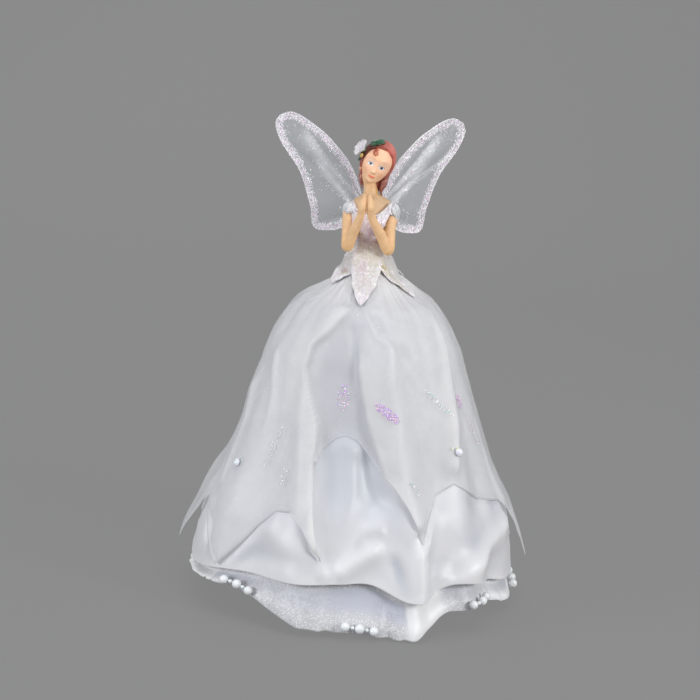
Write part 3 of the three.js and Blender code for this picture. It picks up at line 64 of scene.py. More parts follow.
class Slot(str, Enum):
    """Material slots."""

    CARD = "card"
    ORGANZA = "organza"
    SATIN = "satin"
    LACE = "lace"
    NET = "net"
    WING = "wing"
    SKIN = "skin"
    HAIR = "hair"
    BODICE = "bodice"
    PETAL = "petal"
    BEAD = "bead"
    GEM = "gem"
    FLOWER = "flower"
    LEAF = "leaf"
    BUD = "bud"


class Side(Enum):
    """Sides of the doll as the viewer sees them."""

    LEFT = -1
    RIGHT = 1

    @property
    def word(self) -> str:
        """The side's name as used in node names."""
        return self.name.lower()


# Numbers and curves


def smooth(x: Array | float, low: float, high: float) -> Array:
    """Smooth step.

    Args:
        x: Values.
        low: Where the step starts.
        high: Where the step ends.

    Returns:
        3s^2 - 2s^3, where s is the clamped share of the way from low to high.
    """
    s = np.clip((np.asarray(x, float) - low) / (high - low), 0.0, 1.0)
    return s * s * (3 - 2 * s)


def mix(a: Array | float, b: Array | float, s: Array | float) -> Array | float:
    """Linear blend a + (b - a) s.

    Args:
        a: Value at s = 0.
        b: Value at s = 1.
        s: Share of b.

    Returns:
        The blend.
    """
    return a + (b - a) * s


def bell(x: Array | float, width: float) -> Array:
    """Bell curve exp(-(x / width)^2).

    Args:
        x: Distances.
        width: Distance at which the curve has dropped to 1/e.

    Returns:
        The curve's values.
    """
    return np.exp(-np.square(np.asarray(x, float) / width))


def hermite(s: Array, a: Array, b: Array, leave: Array, arrive: Array) -> Array:
    """Cubic curve (2s^3 - 3s^2 + 1) a + (s^3 - 2s^2 + s) leave + (3s^2 - 2s^3) b + (s^3 - s^2) arrive.

    Args:
        s: Shares of the way.
        a: Values at the start.
        b: Values at the end.
        leave: Slopes at the start.
        arrive: Slopes at the end.

    Returns:
        The values between.
    """
    return ((2 * s**3 - 3 * s**2 + 1) * a + (s**3 - 2 * s**2 + s) * leave
            + (3 * s**2 - 2 * s**3) * b + (s**3 - s**2) * arrive)


def along(table: Table, column: int, at: Array | float, straight: bool = False) -> Array:
    """Reads a column of rows of [position, value, ...].

    Args:
        table: Rows in growing order of position.
        column: Which value to read.
        at: Positions.
        straight: True for straight lines between rows, else a cubic Hermite curve whose slope at a row is
            the slope between its neighbours.

    Returns:
        The values at those positions, held at the ends.
    """
    rows = np.asarray(table, float)
    x, y = rows[:, 0], rows[:, column]
    at = np.asarray(at, float)
    if straight:
        return np.interp(at, x, y)
    k = np.clip(np.searchsorted(x, at, side="left") - 1, 0, len(x) - 2)
    before, after = np.maximum(np.arange(len(x)) - 1, 0), np.minimum(np.arange(len(x)) + 1, len(x) - 1)
    slope = (y[after] - y[before]) / (x[after] - x[before])
    width = x[k + 1] - x[k]
    share = np.clip((at - x[k]) / width, 0.0, 1.0)
    return hermite(share, y[k], y[k + 1], width * slope[k], width * slope[k + 1])


def around(count: int, start: float = 0.0) -> Array:
    """Bearings evenly spread round the axis.

    Args:
        count: How many.
        start: The first one in radians.

    Returns:
        A row of bearings in radians.
    """
    return start + np.linspace(0, 2 * math.pi, count, endpoint=False)[None, :]


def compass(bearing: Array) -> Array:
    """Bearings in degrees: -90 at the left, 0 in front, 90 at the right and up to 270 behind.

    Args:
        bearing: Bearings in radians.

    Returns:
        Bearings from -90 to 270.
    """
    return np.mod(np.degrees(bearing) + 90, 360) - 90


def directions(sides: int, rows: int) -> Array:
    """Unit directions over a sphere without its poles.

    Args:
        sides: Directions in each ring.
        rows: Steps from pole to pole, which hold one ring fewer.

    Returns:
        Rings by sides by 3.
    """
    a, h = around(sides), np.linspace(-math.pi / 2, math.pi / 2, rows + 1)[1:-1, None]
    return np.stack([np.cos(h) * np.cos(a), np.cos(h) * np.sin(a), np.sin(h) + 0 * a], axis=-1)


def polar(bearing: Array, radius: Array, z: Array) -> Array:
    """Points at bearings round the axis: (r sin b, -r cos b, z).

    Args:
        bearing: Bearings in radians.
        radius: Distances from the axis.
        z: Heights.

    Returns:
        Points, with x, y and z in the last axis.
    """
    b, r, z = np.broadcast_arrays(np.asarray(bearing, float), radius, z)
    return np.stack([r * np.sin(b), -r * np.cos(b), z], axis=-1)


def unit(v: Array) -> Array:
    """Vectors scaled to length 1.

    Args:
        v: Vectors in the last axis.

    Returns:
        Unit vectors.
    """
    v = np.asarray(v, float)
    return v / np.maximum(np.linalg.norm(v, axis=-1, keepdims=True), 1e-12)


def grid_normals(points: Array, wrap: bool) -> Array:
    """Normals of a grid of points: the cross product of its column and row directions.

    Args:
        points: Grid of rows by columns by 3.
        wrap: Whether the columns close on themselves.

    Returns:
        Unit normals, one for each point.
    """
    if wrap:
        across = np.roll(points, -1, axis=1) - np.roll(points, 1, axis=1)
    else:
        across = np.gradient(points, axis=1)
    return unit(np.cross(across, np.gradient(points, axis=0)))


def ripples(u: Array, v: Array, wavelengths: Sequence[float], seed: int) -> Array:
    """Small uneven undulation of a surface: the mean of cosine waves in seeded directions.

    Args:
        u: Distances across the cloth.
        v: Distances down the cloth.
        wavelengths: Length of each wave.
        seed: Seed of the directions and phases.

    Returns:
        Values from about -1 to 1.
    """
    rng = np.random.default_rng(seed)
    total = np.zeros(np.broadcast(u, v).shape)
    for length in wavelengths:
        for _ in range(3):
            turn, phase = rng.uniform(0, math.pi), rng.uniform(0, 2 * math.pi)
            bend = 0.6 * np.sin(2 * math.pi * (v * math.cos(turn) - u * math.sin(turn)) / (2.7 * length))
            total += np.cos(2 * math.pi * (u * math.cos(turn) + v * math.sin(turn)) / length + phase + bend)
    return total / (1.6 * len(wavelengths))


def square_to(line: Array) -> tuple[Array, Array]:
    """Directions square to a line: the part of +X that is square to it, and one square to both.

    Args:
        line: Points of the line.

    Returns:
        Both unit directions at each point.
    """
    tangent = unit(np.gradient(line, axis=0))
    first = unit(np.array([1.0, 0, 0]) - tangent * tangent[:, :1])
    return first, np.cross(tangent, first)


def turn_to(direction: Sequence[float]) -> Array:
    """Rotation that takes +Z to a direction.

    Args:
        direction: Where +Z goes.

    Returns:
        A 3 by 3 matrix.
    """
    return np.array(Vector((0, 0, 1)).rotation_difference(Vector(direction)).to_matrix())


def turn_about_z(angle: float) -> Array:
    """Rotation about +Z.

    Args:
        angle: Angle in radians.

    Returns:
        A 3 by 3 matrix.
    """
    c, s = math.cos(angle), math.sin(angle)
    return np.array([[c, -s, 0], [s, c, 0], [0, 0, 1.0]])


# Surfaces


@dataclass
class Surface:
    """A mesh in the making: points in millimetres, faces and one value or colour for each point."""

    points: Array
    faces: list[Array]
    paint: dict[str, Array] = field(default_factory=dict)

    @staticmethod
    def quads(rows: int, columns: int, wrap: bool, start: int = 0) -> Array:
        """Faces of a grid.

        Args:
            rows: Rows of points.
            columns: Columns of points.
            wrap: Whether the last column joins the first.
            start: Number of the grid's first point.

        Returns:
            An array of four point numbers for each face.
        """
        i = np.arange(columns if wrap else columns - 1)
        j = np.arange(rows - 1)[:, None]
        a, b = j * columns + i, j * columns + (i + 1) % columns
        return start + np.stack([a, b, b + columns, a + columns], axis=-1).reshape(-1, 4)

    @classmethod
    def grid(cls, points: Array, wrap: bool = False) -> "Surface":
        """An open grid.

        Args:
            points: Rows by columns by 3.
            wrap: Whether the columns close on themselves.

        Returns:
            The surface.
        """
        rows, columns = points.shape[:2]
        return cls(points.reshape(-1, 3), [cls.quads(rows, columns, wrap)])

    def turned(self) -> "Surface":
        """Turns every face over, so that an open sheet faces outwards.

        Returns:
            The surface itself.
        """
        self.faces = [block[:, ::-1] for block in self.faces]
        return self

    @classmethod
    def tube(cls, rings: Array) -> "Surface":
        """A closed tube through rings of points, with a fan over each end.

        Args:
            rings: Rings by sides by 3.

        Returns:
            The surface.
        """
        rows, sides = rings.shape[:2]
        ends = np.stack([rings[0].mean(axis=0), rings[-1].mean(axis=0)])
        i = np.arange(sides)
        j = (i + 1) % sides
        last = (rows - 1) * sides
        first_fan = np.stack([j, i, np.full(sides, rows * sides)], axis=-1)
        last_fan = np.stack([last + i, last + j, np.full(sides, rows * sides + 1)], axis=-1)
        points = np.vstack([rings.reshape(-1, 3), ends])
        return cls(points, [cls.quads(rows, sides, True), first_fan, last_fan])

    @classmethod
    def shell(cls, outer: Array, inner: Array, wrap: bool = False) -> "Surface":
        """A closed sheet between two grids of the same shape.

        Args:
            outer: Rows by columns by 3.
            inner: Rows by columns by 3.
            wrap: Whether the columns close on themselves.

        Returns:
            The surface.
        """
        rows, columns = outer.shape[:2]
        layer = rows * columns
        faces = [cls.quads(rows, columns, wrap), cls.quads(rows, columns, wrap, layer)[:, ::-1]]
        i = np.arange(columns if wrap else columns - 1)
        j = (i + 1) % columns
        last = (rows - 1) * columns
        faces.append(np.stack([j, i, layer + i, layer + j], axis=-1))
        faces.append(np.stack([last + i, last + j, layer + last + j, layer + last + i], axis=-1))
        if not wrap:
            a = np.arange(rows - 1) * columns
            b = a + columns
            faces.append(np.stack([a, b, layer + b, layer + a], axis=-1))
            c = columns - 1
            faces.append(np.stack([b + c, a + c, layer + a + c, layer + b + c], axis=-1))
        return cls(np.vstack([outer.reshape(-1, 3), inner.reshape(-1, 3)]), faces)

    @classmethod
    def joined(cls, parts: Sequence["Surface"]) -> "Surface":
        """Several surfaces as one.

        Args:
            parts: Surfaces with the same paint names.

        Returns:
            One surface.
        """
        starts = np.cumsum([0] + [len(p.points) for p in parts])
        faces = [f + start for p, start in zip(parts, starts) for f in p.faces]
        paint = {name: np.concatenate([p.paint[name] for p in parts]) for name in parts[0].paint}
        return cls(np.vstack([p.points for p in parts]), faces, paint)

    def painted(self, **values: Array | float | Colour) -> "Surface":
        """Adds a value or colour for every point.

        Args:
            values: Name and either one value, one colour, or one of them for each point of the grid that the
                surface was made from. A closed sheet's second face repeats them, and so do a tube's ends.

        Returns:
            This surface.
        """
        count = len(self.points)
        for name, value in values.items():
            value = np.asarray(value, float)
            flat = value.reshape(-1, 3) if value.ndim and value.shape[-1] == 3 else value.ravel()
            if len(flat) == 1:
                flat = np.repeat(flat, count, axis=0)
            elif len(flat) * 2 == count:
                flat = np.concatenate([flat, flat])
            elif len(flat) + 2 == count:
                flat = np.concatenate([flat, flat[:1], flat[-1:]])
            self.paint[name] = flat
        return self

    def moved(self, matrix: Array, offset: Sequence[float] = (0, 0, 0)) -> "Surface":
        """Turns or scales the points by a matrix and then moves them.

        Args:
            matrix: 3 by 3 matrix.
            offset: Move in millimetres.

        Returns:
            This surface.
        """
        self.points = self.points @ np.asarray(matrix).T + np.asarray(offset, float)
        return self

    def volume(self) -> float:
        """Six times the signed volume: the sum over faces of a . (b x c) on their fans of triangles.

        Returns:
            A positive number when the faces look outwards.
        """
        total = 0.0
        for faces in self.faces:
            p = self.points[faces]
            for k in range(1, faces.shape[1] - 1):
                total += np.einsum("ij,ij->", p[:, 0], np.cross(p[:, k], p[:, k + 1]))
        return total

    def outward(self) -> "Surface":
        """Turns every face round if the closed surface is inside out.

        Returns:
            This surface.
        """
        return self.turned() if self.volume() < 0 else self

    def to_object(self, name: str, material: bpy.types.Material) -> bpy.types.Object:
        """Makes the Blender object, smooth shaded, in metres.

        Args:
            name: The object's name.
            material: Its material.

        Returns:
            The object, linked to the scene.
        """
        mesh = bpy.data.meshes.new(name)
        mesh.from_pydata((self.points * MM).tolist(), [], [f for g in self.faces for f in g.tolist()])
        for key, value in self.paint.items():
            if value.ndim == 1:
                layer = mesh.attributes.new(key, "FLOAT", "POINT")
                layer.data.foreach_set("value", value.astype(np.float32))
            else:
                layer = mesh.attributes.new(key, "FLOAT_COLOR", "POINT")
                rgba = np.ones((len(value), 4), np.float32)
                rgba[:, :3] = value
                layer.data.foreach_set("color", rgba.ravel())
        mesh.polygons.foreach_set("use_smooth", np.ones(len(mesh.polygons), bool))
        mesh.materials.append(material)
        mesh.update()
        obj = bpy.data.objects.new(name, mesh)
        bpy.context.scene.collection.objects.link(obj)
        return obj


def ellipsoid(centre: Sequence[float], radii: Sequence[float], sides: int = 32, rows: int = 20,
              relief: Callable[[Array], Array] | None = None) -> Surface:
    """A closed ellipsoid, with an optional relief.

    Args:
        centre: Its middle.
        radii: Half sizes.
        sides: Columns round it.
        rows: Rows from pole to pole.
        relief: Gives the share by which the radius grows for unit directions.

    Returns:
        The surface.
    """
    d = directions(sides, rows)
    grow = 1 + relief(d) if relief else np.ones(d.shape[:2])
    rings = np.asarray(centre, float) + d * np.asarray(radii, float) * grow[..., None]
    surface = Surface.tube(rings)
    surface.points[-2:] = np.asarray(centre, float) + np.array([[0, 0, -1.0], [0, 0, 1.0]]) * radii
    return surface


def centripetal(points: Array, count: int) -> Array:
    """Points on a smooth curve through others: cubic Hermite over chord lengths to the power one half.

    Args:
        points: Points to pass through.
        count: How many to return.

    Returns:
        Points evenly spread over the curve's parameter, which grows by one from point to point.
    """
    p = np.asarray(points, float)
    n = len(p)
    at = np.linspace(0, n - 1, count)
    k = np.minimum(at.astype(int), n - 2)
    s = (at - k)[:, None]
    before = np.vstack([2 * p[0] - p[1], p[:-1]])[k]
    after = np.vstack([p[1:], 2 * p[-1] - p[-2]])[k + 1]
    a, b = p[k], p[k + 1]
    root = [np.sqrt(np.maximum(np.linalg.norm(v - u, axis=1), 1e-6))[:, None]
            for u, v in ((before, a), (a, b), (b, after))]
    ta = (a - before) / root[0] - (b - before) / (root[0] + root[1]) + (b - a) / root[1]
    tb = (b - a) / root[1] - (after - a) / (root[1] + root[2]) + (after - b) / root[2]
    return hermite(s, a, b, ta * root[1], tb * root[1])


def sweep(centres: Array, radii: Array, sides: int,
          profile: Callable[[Array, Array], Array] | None = None) -> Surface:
    """A closed tube along a line.

    Args:
        centres: Points of the line.
        radii: One or two radii for each point: across, and then deep.
        sides: Sides of the tube.
        profile: Gives the share by which the radius changes, from the share along and the angle round.

    Returns:
        The surface. The radius across lies along the part of +X that is square to the line.
    """
    radii = np.asarray(radii, float)
    if radii.ndim == 1:
        radii = np.stack([radii, radii], axis=-1)
    first, second = square_to(centres)
    angle = around(sides)
    share = np.linspace(0, 1, len(centres))[:, None]
    grow = profile(share, angle) if profile else np.ones((len(centres), sides))
    ring = (first[:, None] * (radii[:, :1] * np.cos(angle) * grow)[..., None]
            + second[:, None] * (radii[:, 1:] * np.sin(angle) * grow)[..., None])
    return Surface.tube(centres[:, None] + ring)


# Materials


class Tree:
    """Builds a node material, a node at a time."""

    def __init__(self, name: str) -> None:
        """Starts an empty material.

        Args:
            name: The material's name.
        """
        self.material = bpy.data.materials.new(name)
        self.material.use_nodes = True
        self.nodes = self.material.node_tree.nodes
        self.links = self.material.node_tree.links
        self.nodes.clear()
        self.coords = self.add("ShaderNodeTexCoord", out="Object")

    def add(self, kind: str, values: dict | None = None, out: str | int = 0,
            **settings) -> bpy.types.NodeSocket:
        """Adds a node.

        Args:
            kind: The node's type.
            values: Input name or number, with a value or the socket that feeds it.
            out: Output to return, by name or number.
            settings: Properties of the node.

        Returns:
            The output socket.
        """
        node = self.nodes.new(kind)
        for key, value in settings.items():
            setattr(node, key, value)
        for key, value in (values or {}).items():
            if isinstance(value, bpy.types.NodeSocket):
                self.links.new(value, node.inputs[key])
            else:
                node.inputs[key].default_value = value
        return node.outputs[out]

    def math(self, operation: str, *values) -> bpy.types.NodeSocket:
        """Adds a sum of one, two or three values.

        Args:
            operation: Blender's name of it.
            values: Numbers or sockets.

        Returns:
            The result.
        """
        return self.add("ShaderNodeMath", dict(enumerate(values)), operation=operation)

    def blend(self, share, a, b) -> bpy.types.NodeSocket:
        """Mixes two colours.

        Args:
            share: Number or socket from 0 to 1.
            a: Colour or socket at 0.
            b: Colour or socket at 1.

        Returns:
            The colour.
        """
        a, b = [v if isinstance(v, bpy.types.NodeSocket) else (*v[:3], 1.0) for v in (a, b)]
        return self.add("ShaderNodeMix", {0: share, 6: a, 7: b}, out=2, data_type="RGBA")

    def ramp(self, value, low: float, high: float, start: float = 0.0,
             end: float = 1.0) -> bpy.types.NodeSocket:
        """Maps a range to another one with a smooth step.

        Args:
            value: Socket to map.
            low: Its low end.
            high: Its high end.
            start: Result at the low end.
            end: Result at the high end.

        Returns:
            The mapped value.
        """
        return self.add("ShaderNodeMapRange", {0: value, 1: low, 2: high, 3: start, 4: end},
                        interpolation_type="SMOOTHSTEP")

    def noise(self, scale: float, detail: float = 3.0, vector=None) -> bpy.types.NodeSocket:
        """Adds noise.

        Args:
            scale: Features to a metre.
            detail: Octaves.
            vector: Coordinates, the object's own if left out.

        Returns:
            A value from 0 to 1.
        """
        return self.add("ShaderNodeTexNoise",
                        {"Vector": vector or self.coords, "Scale": scale, "Detail": detail})

    def bump(self, height, distance: float, strength: float = 1.0, normal=None) -> bpy.types.NodeSocket:
        """Adds a bump.

        Args:
            height: Socket with the height.
            distance: Height in metres at 1.
            strength: How strongly it counts.
            normal: Normal to start from.

        Returns:
            The normal.
        """
        values = {"Height": height, "Distance": distance, "Strength": strength}
        if normal:
            values["Normal"] = normal
        return self.add("ShaderNodeBump", values)

    def attribute(self, name: str, out: str = "Fac") -> bpy.types.NodeSocket:
        """Reads an attribute of the mesh.

        Args:
            name: Its name.
            out: Fac or Color.

        Returns:
            The value.
        """
        return self.add("ShaderNodeAttribute", out=out, attribute_name=name)

    def cells(self, scale: float, out: str = "Color") -> bpy.types.NodeSocket:
        """Adds random cells, for glitter.

        Args:
            scale: Cells to a metre.
            out: Color or Distance.

        Returns:
            One random colour for each cell, or the distance from its middle.
        """
        return self.add("ShaderNodeTexVoronoi", {"Vector": self.coords, "Scale": scale}, out=out)

    def tilted(self, cells, amount: float) -> bpy.types.NodeSocket:
        """Turns the normal a different way in each cell, as flakes of glitter lie.

        Args:
            cells: Socket with the cells' colours.
            amount: How far the flakes tilt.

        Returns:
            The normal.
        """
        off = self.add("ShaderNodeVectorMath", {0: cells, 1: (0.5, 0.5, 0.5)}, operation="SUBTRACT")
        off = self.add("ShaderNodeVectorMath", {0: off, 3: amount}, operation="SCALE")
        normal = self.add("ShaderNodeNewGeometry", out="Normal")
        total = self.add("ShaderNodeVectorMath", {0: normal, 1: off}, operation="ADD")
        return self.add("ShaderNodeVectorMath", {0: total}, operation="NORMALIZE")

    def pastel(self, cells, strength: float) -> bpy.types.NodeSocket:
        """Colours of iridescent flakes: white, pink, lilac and mint, one for each cell.

        Args:
            cells: Socket with the cells' colours.
            strength: How strong the tints are, from 0 to 1.

        Returns:
            The colour.
        """
        value = self.add("ShaderNodeSeparateColor", {0: cells}, out="Red")
        ramp = self.nodes.new("ShaderNodeValToRGB")
        ramp.color_ramp.interpolation = "CONSTANT"
        stops = [(0.0, (0.97, 0.97, 1.0)), (0.34, (0.95, 0.72, 0.88)), (0.52, (0.80, 0.72, 0.96)),
                 (0.68, (0.99, 0.99, 1.0)), (0.84, (0.74, 0.94, 0.86)), (0.92, (0.98, 0.85, 0.92))]
        elements = ramp.color_ramp.elements
        while len(elements) < len(stops):
            elements.new(1.0)
        for element, (at, colour) in zip(elements, stops):
            element.position = at
            element.color = (*colour, 1.0)
        self.links.new(value, ramp.inputs[0])
        return self.blend(strength, (0.93, 0.93, 0.95), ramp.outputs[0])

    def finish(self, **inputs) -> bpy.types.Material:
        """Adds the surface and ends the material.

        Args:
            inputs: Inputs of the surface, with _ for a space.

        Returns:
            The material.
        """
        values = {key.replace("_", " "): value for key, value in inputs.items()}
        values = {name: (*value, 1.0) if name.endswith("Color") and isinstance(value, tuple) else value
                  for name, value in values.items()}
        shader = self.add("ShaderNodeBsdfPrincipled", values)
        output = self.nodes.new("ShaderNodeOutputMaterial")
        self.links.new(shader, output.inputs["Surface"])
        return self.material


@dataclass(frozen=True)
class SatinFinish:
    """Pearl satin: a fine twill, faint crumples and a soft sheen, with painted shade and painted highlights.
    """

    colour: Colour = (0.70, 0.70, 0.73)
    shade: Colour = (0.66, 0.665, 0.70)
    # Painted shade, laid where the attribute deep marks a hollow or the side of a fold.
    deep: Colour = (0.54, 0.565, 0.61)
    # Painted highlight, laid where the attribute hem marks the turned edge and the sharpest folds.
    hem: Colour = (0.86, 0.86, 0.88)
    roughness: float = 0.42

    def make(self, name: str) -> bpy.types.Material:
        """Builds the material.

        Args:
            name: Its name.

        Returns:
            The material.
        """
        t = Tree(name)
        slub = t.noise(60, 4)
        colour = t.blend(t.ramp(slub, 0.35, 0.7), self.colour, self.shade)
        # Painted shade in the hollows, then painted highlights on the turned edge and the sharpest folds.
        colour = t.blend(t.attribute("deep"), colour, self.deep)
        colour = t.blend(t.attribute("hem"), colour, self.hem)
        twill = t.add("ShaderNodeTexWave",
                      {"Vector": t.coords, "Scale": 900, "Distortion": 1.2, "Detail": 1.0},
                      out="Fac", bands_direction="DIAGONAL")
        crumple = t.bump(t.noise(130, 3), 0.00008)
        return t.finish(Base_Color=colour, Roughness=self.roughness, Sheen_Weight=0.6, Sheen_Roughness=0.4,
                        Specular_IOR_Level=0.5, Normal=t.bump(twill, 0.00002, 0.5, crumple))


@dataclass(frozen=True)
class OrganzaFinish:
    """Sheer organza: see-through between its threads, thinner along its cut edge."""

    colour: Colour = (0.83, 0.835, 0.855)
    # Painted shade where the organza lies in a hollow.
    deep: Colour = (0.76, 0.755, 0.79)
    # Denser and painted lighter where the cloth is gathered, raised or doubled: more cloth, and painted
    # light.
    dense: Colour = (0.88, 0.875, 0.87)
    alpha: float = 0.33

    def make(self, name: str) -> bpy.types.Material:
        """Builds the material.

        Args:
            name: Its name.

        Returns:
            The material.
        """
        t = Tree(name)
        hem = t.attribute("hem")
        cloud = t.ramp(t.noise(45, 3), 0.3, 0.7, -0.06, 0.06)
        thread = t.add("ShaderNodeTexWave", {"Vector": t.coords, "Scale": 700, "Distortion": 0.8},
                       out="Fac", bands_direction="Z")
        weave = t.ramp(thread, 0.0, 1.0, -0.06, 0.06)
        alpha = t.math("ADD", t.math("ADD", cloud, weave), t.math("MULTIPLY_ADD", hem, -0.12, self.alpha))
        alpha = t.math("MULTIPLY_ADD", t.attribute("line"), 0.3, alpha)
        alpha = t.math("MULTIPLY_ADD", t.attribute("dense"), 0.5, alpha)
        colour = t.blend(t.ramp(t.noise(30, 2), 0.3, 0.7), self.colour, (0.84, 0.84, 0.865))
        # Painted shade in hollows, then painted light where the cloth is gathered, raised or doubled.
        colour = t.blend(t.attribute("deep"), colour, self.deep)
        colour = t.blend(t.attribute("dense"), colour, self.dense)
        return t.finish(Base_Color=colour, Roughness=0.48, Alpha=t.math("MINIMUM", alpha, 1.0),
                        Sheen_Weight=0.35, Sheen_Roughness=0.35, Normal=t.bump(thread, 0.00002, 0.4))


@dataclass(frozen=True)
class LaceFinish:
    """White lace: solid motifs joined by an open mesh."""

    colour: Colour = (0.63, 0.635, 0.655)
    bright: Colour = (0.84, 0.845, 0.86)
    shade: Colour = (0.54, 0.56, 0.64)

    def make(self, name: str) -> bpy.types.Material:
        """Builds the material.

        Args:
            name: Its name.

        Returns:
            The material.
        """
        t = Tree(name)
        open_mesh = t.add("ShaderNodeTexVoronoi", {"Vector": t.coords, "Scale": 1100}, out="Distance",
                          feature="DISTANCE_TO_EDGE")
        thread = t.ramp(open_mesh, 0.10, 0.22, 1.0, 0.0)
        motif = t.ramp(t.noise(330, 2), 0.46, 0.54)
        solid = t.attribute("solid")
        pattern = t.math("MAXIMUM", thread, motif)
        alpha = t.math("MAXIMUM", pattern, solid)
        cells = t.cells(2300)
        colour = t.blend(t.ramp(t.add("ShaderNodeSeparateColor", {0: cells}, out="Green"), 0.86, 0.9),
                         self.colour, (0.95, 0.93, 0.98))
        # Painted light: lighter on the flap and towards both sides, where the satin's edge casts no shade.
        colour = t.blend(t.attribute("bright"), colour, self.bright)
        colour = t.blend(t.attribute("shade"), colour, self.shade)
        worked = t.math("MULTIPLY", pattern, t.math("SUBTRACT", 1.0, solid))
        return t.finish(Base_Color=colour, Roughness=0.42, Alpha=t.ramp(alpha, 0.0, 1.0, 0.55, 1.0),
                        Normal=t.bump(worked, 0.00008, 0.7))


@dataclass(frozen=True)
class NetFinish:
    """Stiff net: threads round open cells."""

    colour: Colour = (0.80, 0.80, 0.80)

    def make(self, name: str) -> bpy.types.Material:
        """Builds the material.

        Args:
            name: Its name.

        Returns:
            The material.
        """
        t = Tree(name)
        gap = t.add("ShaderNodeTexVoronoi", {"Vector": t.coords, "Scale": 620, "Randomness": 0.35},
                    out="Distance", feature="DISTANCE_TO_EDGE")
        thread = t.ramp(gap, 0.08, 0.16, 1.0, 0.12)
        return t.finish(Base_Color=t.blend(t.noise(90, 2), self.colour, (0.72, 0.73, 0.75)), Roughness=0.8,
                        Alpha=thread, Normal=t.bump(thread, 0.0001, 0.6))


@dataclass(frozen=True)
class PaintFinish:
    """Resin painted by hand: the colour lies in the mesh, with brushed unevenness over it."""

    roughness: float = 0.45
    grain: float = 0.00004
    coat: float = 0.0
    soft: float = 0.0

    def make(self, name: str) -> bpy.types.Material:
        """Builds the material.

        Args:
            name: Its name.

        Returns:
            The material.
        """
        t = Tree(name)
        paint = t.attribute("paint", "Color")
        brushed = t.ramp(t.noise(420, 4), 0.3, 0.7, 0.94, 1.04)
        colour = t.add("ShaderNodeHueSaturation", {"Color": paint, "Value": brushed})
        rough = t.ramp(t.noise(260, 3), 0.3, 0.7, self.roughness - 0.06, self.roughness + 0.08)
        return t.finish(Base_Color=colour, Roughness=rough, Coat_Weight=self.coat, Coat_Roughness=0.2,
                        Subsurface_Weight=self.soft, Subsurface_Radius=(1.0, 0.45, 0.25),
                        Subsurface_Scale=0.0008, Normal=t.bump(t.noise(900, 3), self.grain, 0.6))


@dataclass(frozen=True)
class GlitterPaintFinish:
    """Pearl paint strewn with iridescent glitter: flakes at every tilt over the paint's colour."""

    cover: float = 0.35
    tint: float = 0.8
    scale: float = 1700.0

    def make(self, name: str) -> bpy.types.Material:
        """Builds the material.

        Args:
            name: Its name.

        Returns:
            The material.
        """
        t = Tree(name)
        cells = t.cells(self.scale)
        pick = t.add("ShaderNodeSeparateColor", {0: cells}, out="Green")
        cloud = t.ramp(t.noise(300, 3), 0.3, 0.7, -0.25, 0.2)
        most = t.math("ADD", t.math("MULTIPLY", t.attribute("glitter"), 2 * self.cover), cloud)
        flake = t.math("GREATER_THAN", t.math("ADD", most, pick), 1.0)
        colour = t.blend(t.math("MULTIPLY", flake, 0.62), t.attribute("paint", "Color"),
                         t.pastel(cells, self.tint))
        clumps = t.bump(t.noise(520, 3), 0.00030, 0.8, t.tilted(cells, 0.42))
        edge = t.bump(t.cells(self.scale, "Distance"), 0.00008, 0.6, clumps)
        rough = t.ramp(flake, 0.0, 1.0, 0.42, 0.22)
        return t.finish(Base_Color=colour, Roughness=rough, Metallic=t.math("MULTIPLY", flake, 0.1),
                        Specular_IOR_Level=0.7, Normal=edge)


@dataclass(frozen=True)
class FilmFinish:
    """Clear moulded film: grey and see-through, with glitter along its rim and veins."""

    clear: Colour = (0.56, 0.585, 0.61)
    alpha: float = 0.29

    def make(self, name: str) -> bpy.types.Material:
        """Builds the material.

        Args:
            name: Its name.

        Returns:
            The material.
        """
        t = Tree(name)
        rim, band, vein = (t.attribute(name) for name in ("rim", "band", "vein"))
        cells = t.cells(2000)
        pick = t.add("ShaderNodeSeparateColor", {0: cells}, out="Green")
        cloud = t.ramp(t.noise(240, 3), 0.3, 0.7, -0.2, 0.08)
        amount = t.math("ADD", t.math("MULTIPLY_ADD", vein, 0.12, t.math("MULTIPLY", band, 0.7)), cloud)
        flake = t.math("GREATER_THAN", t.math("ADD", pick, amount), 1.0)
        shine = t.math("MAXIMUM", flake, rim)
        # The veins are whiter and hazier: partly frosted veins, partly painted reflection of the moulded
        # ridges.
        film = t.blend(vein, self.clear, (0.78, 0.79, 0.82))
        colour = t.blend(shine, film, t.pastel(cells, 0.55))
        colour = t.blend(rim, colour, (0.95, 0.95, 0.97))
        haze = t.math("MULTIPLY_ADD", vein, 0.4, t.math("MULTIPLY_ADD", band, 0.24, self.alpha))
        alpha = t.math("MAXIMUM", t.math("MULTIPLY", shine, 0.92), haze)
        normal = t.bump(t.noise(700, 2), 0.00005, 0.5, t.tilted(cells, 0.3))
        return t.finish(Base_Color=colour, Roughness=0.24, Alpha=t.math("MINIMUM", alpha, 1.0),
                        Specular_IOR_Level=0.6, Normal=normal)


@dataclass(frozen=True)
class PearlFinish:
    """Pearl bead with an iridescent coat."""

    colour: Colour = (0.90, 0.89, 0.91)
    film: float = 520.0

    def make(self, name: str) -> bpy.types.Material:
        """Builds the material.

        Args:
            name: Its name.

        Returns:
            The material.
        """
        t = Tree(name)
        swirl = t.noise(420, 3)
        colour = t.blend(t.ramp(swirl, 0.35, 0.65), self.colour, (0.78, 0.84, 0.86))
        return t.finish(Base_Color=colour, Roughness=0.28, Coat_Weight=0.5, Coat_Roughness=0.08,
                        Metallic=0.0, Thin_Film_Thickness=self.film, Thin_Film_IOR=1.45,
                        Normal=t.bump(swirl, 0.00005, 0.4))


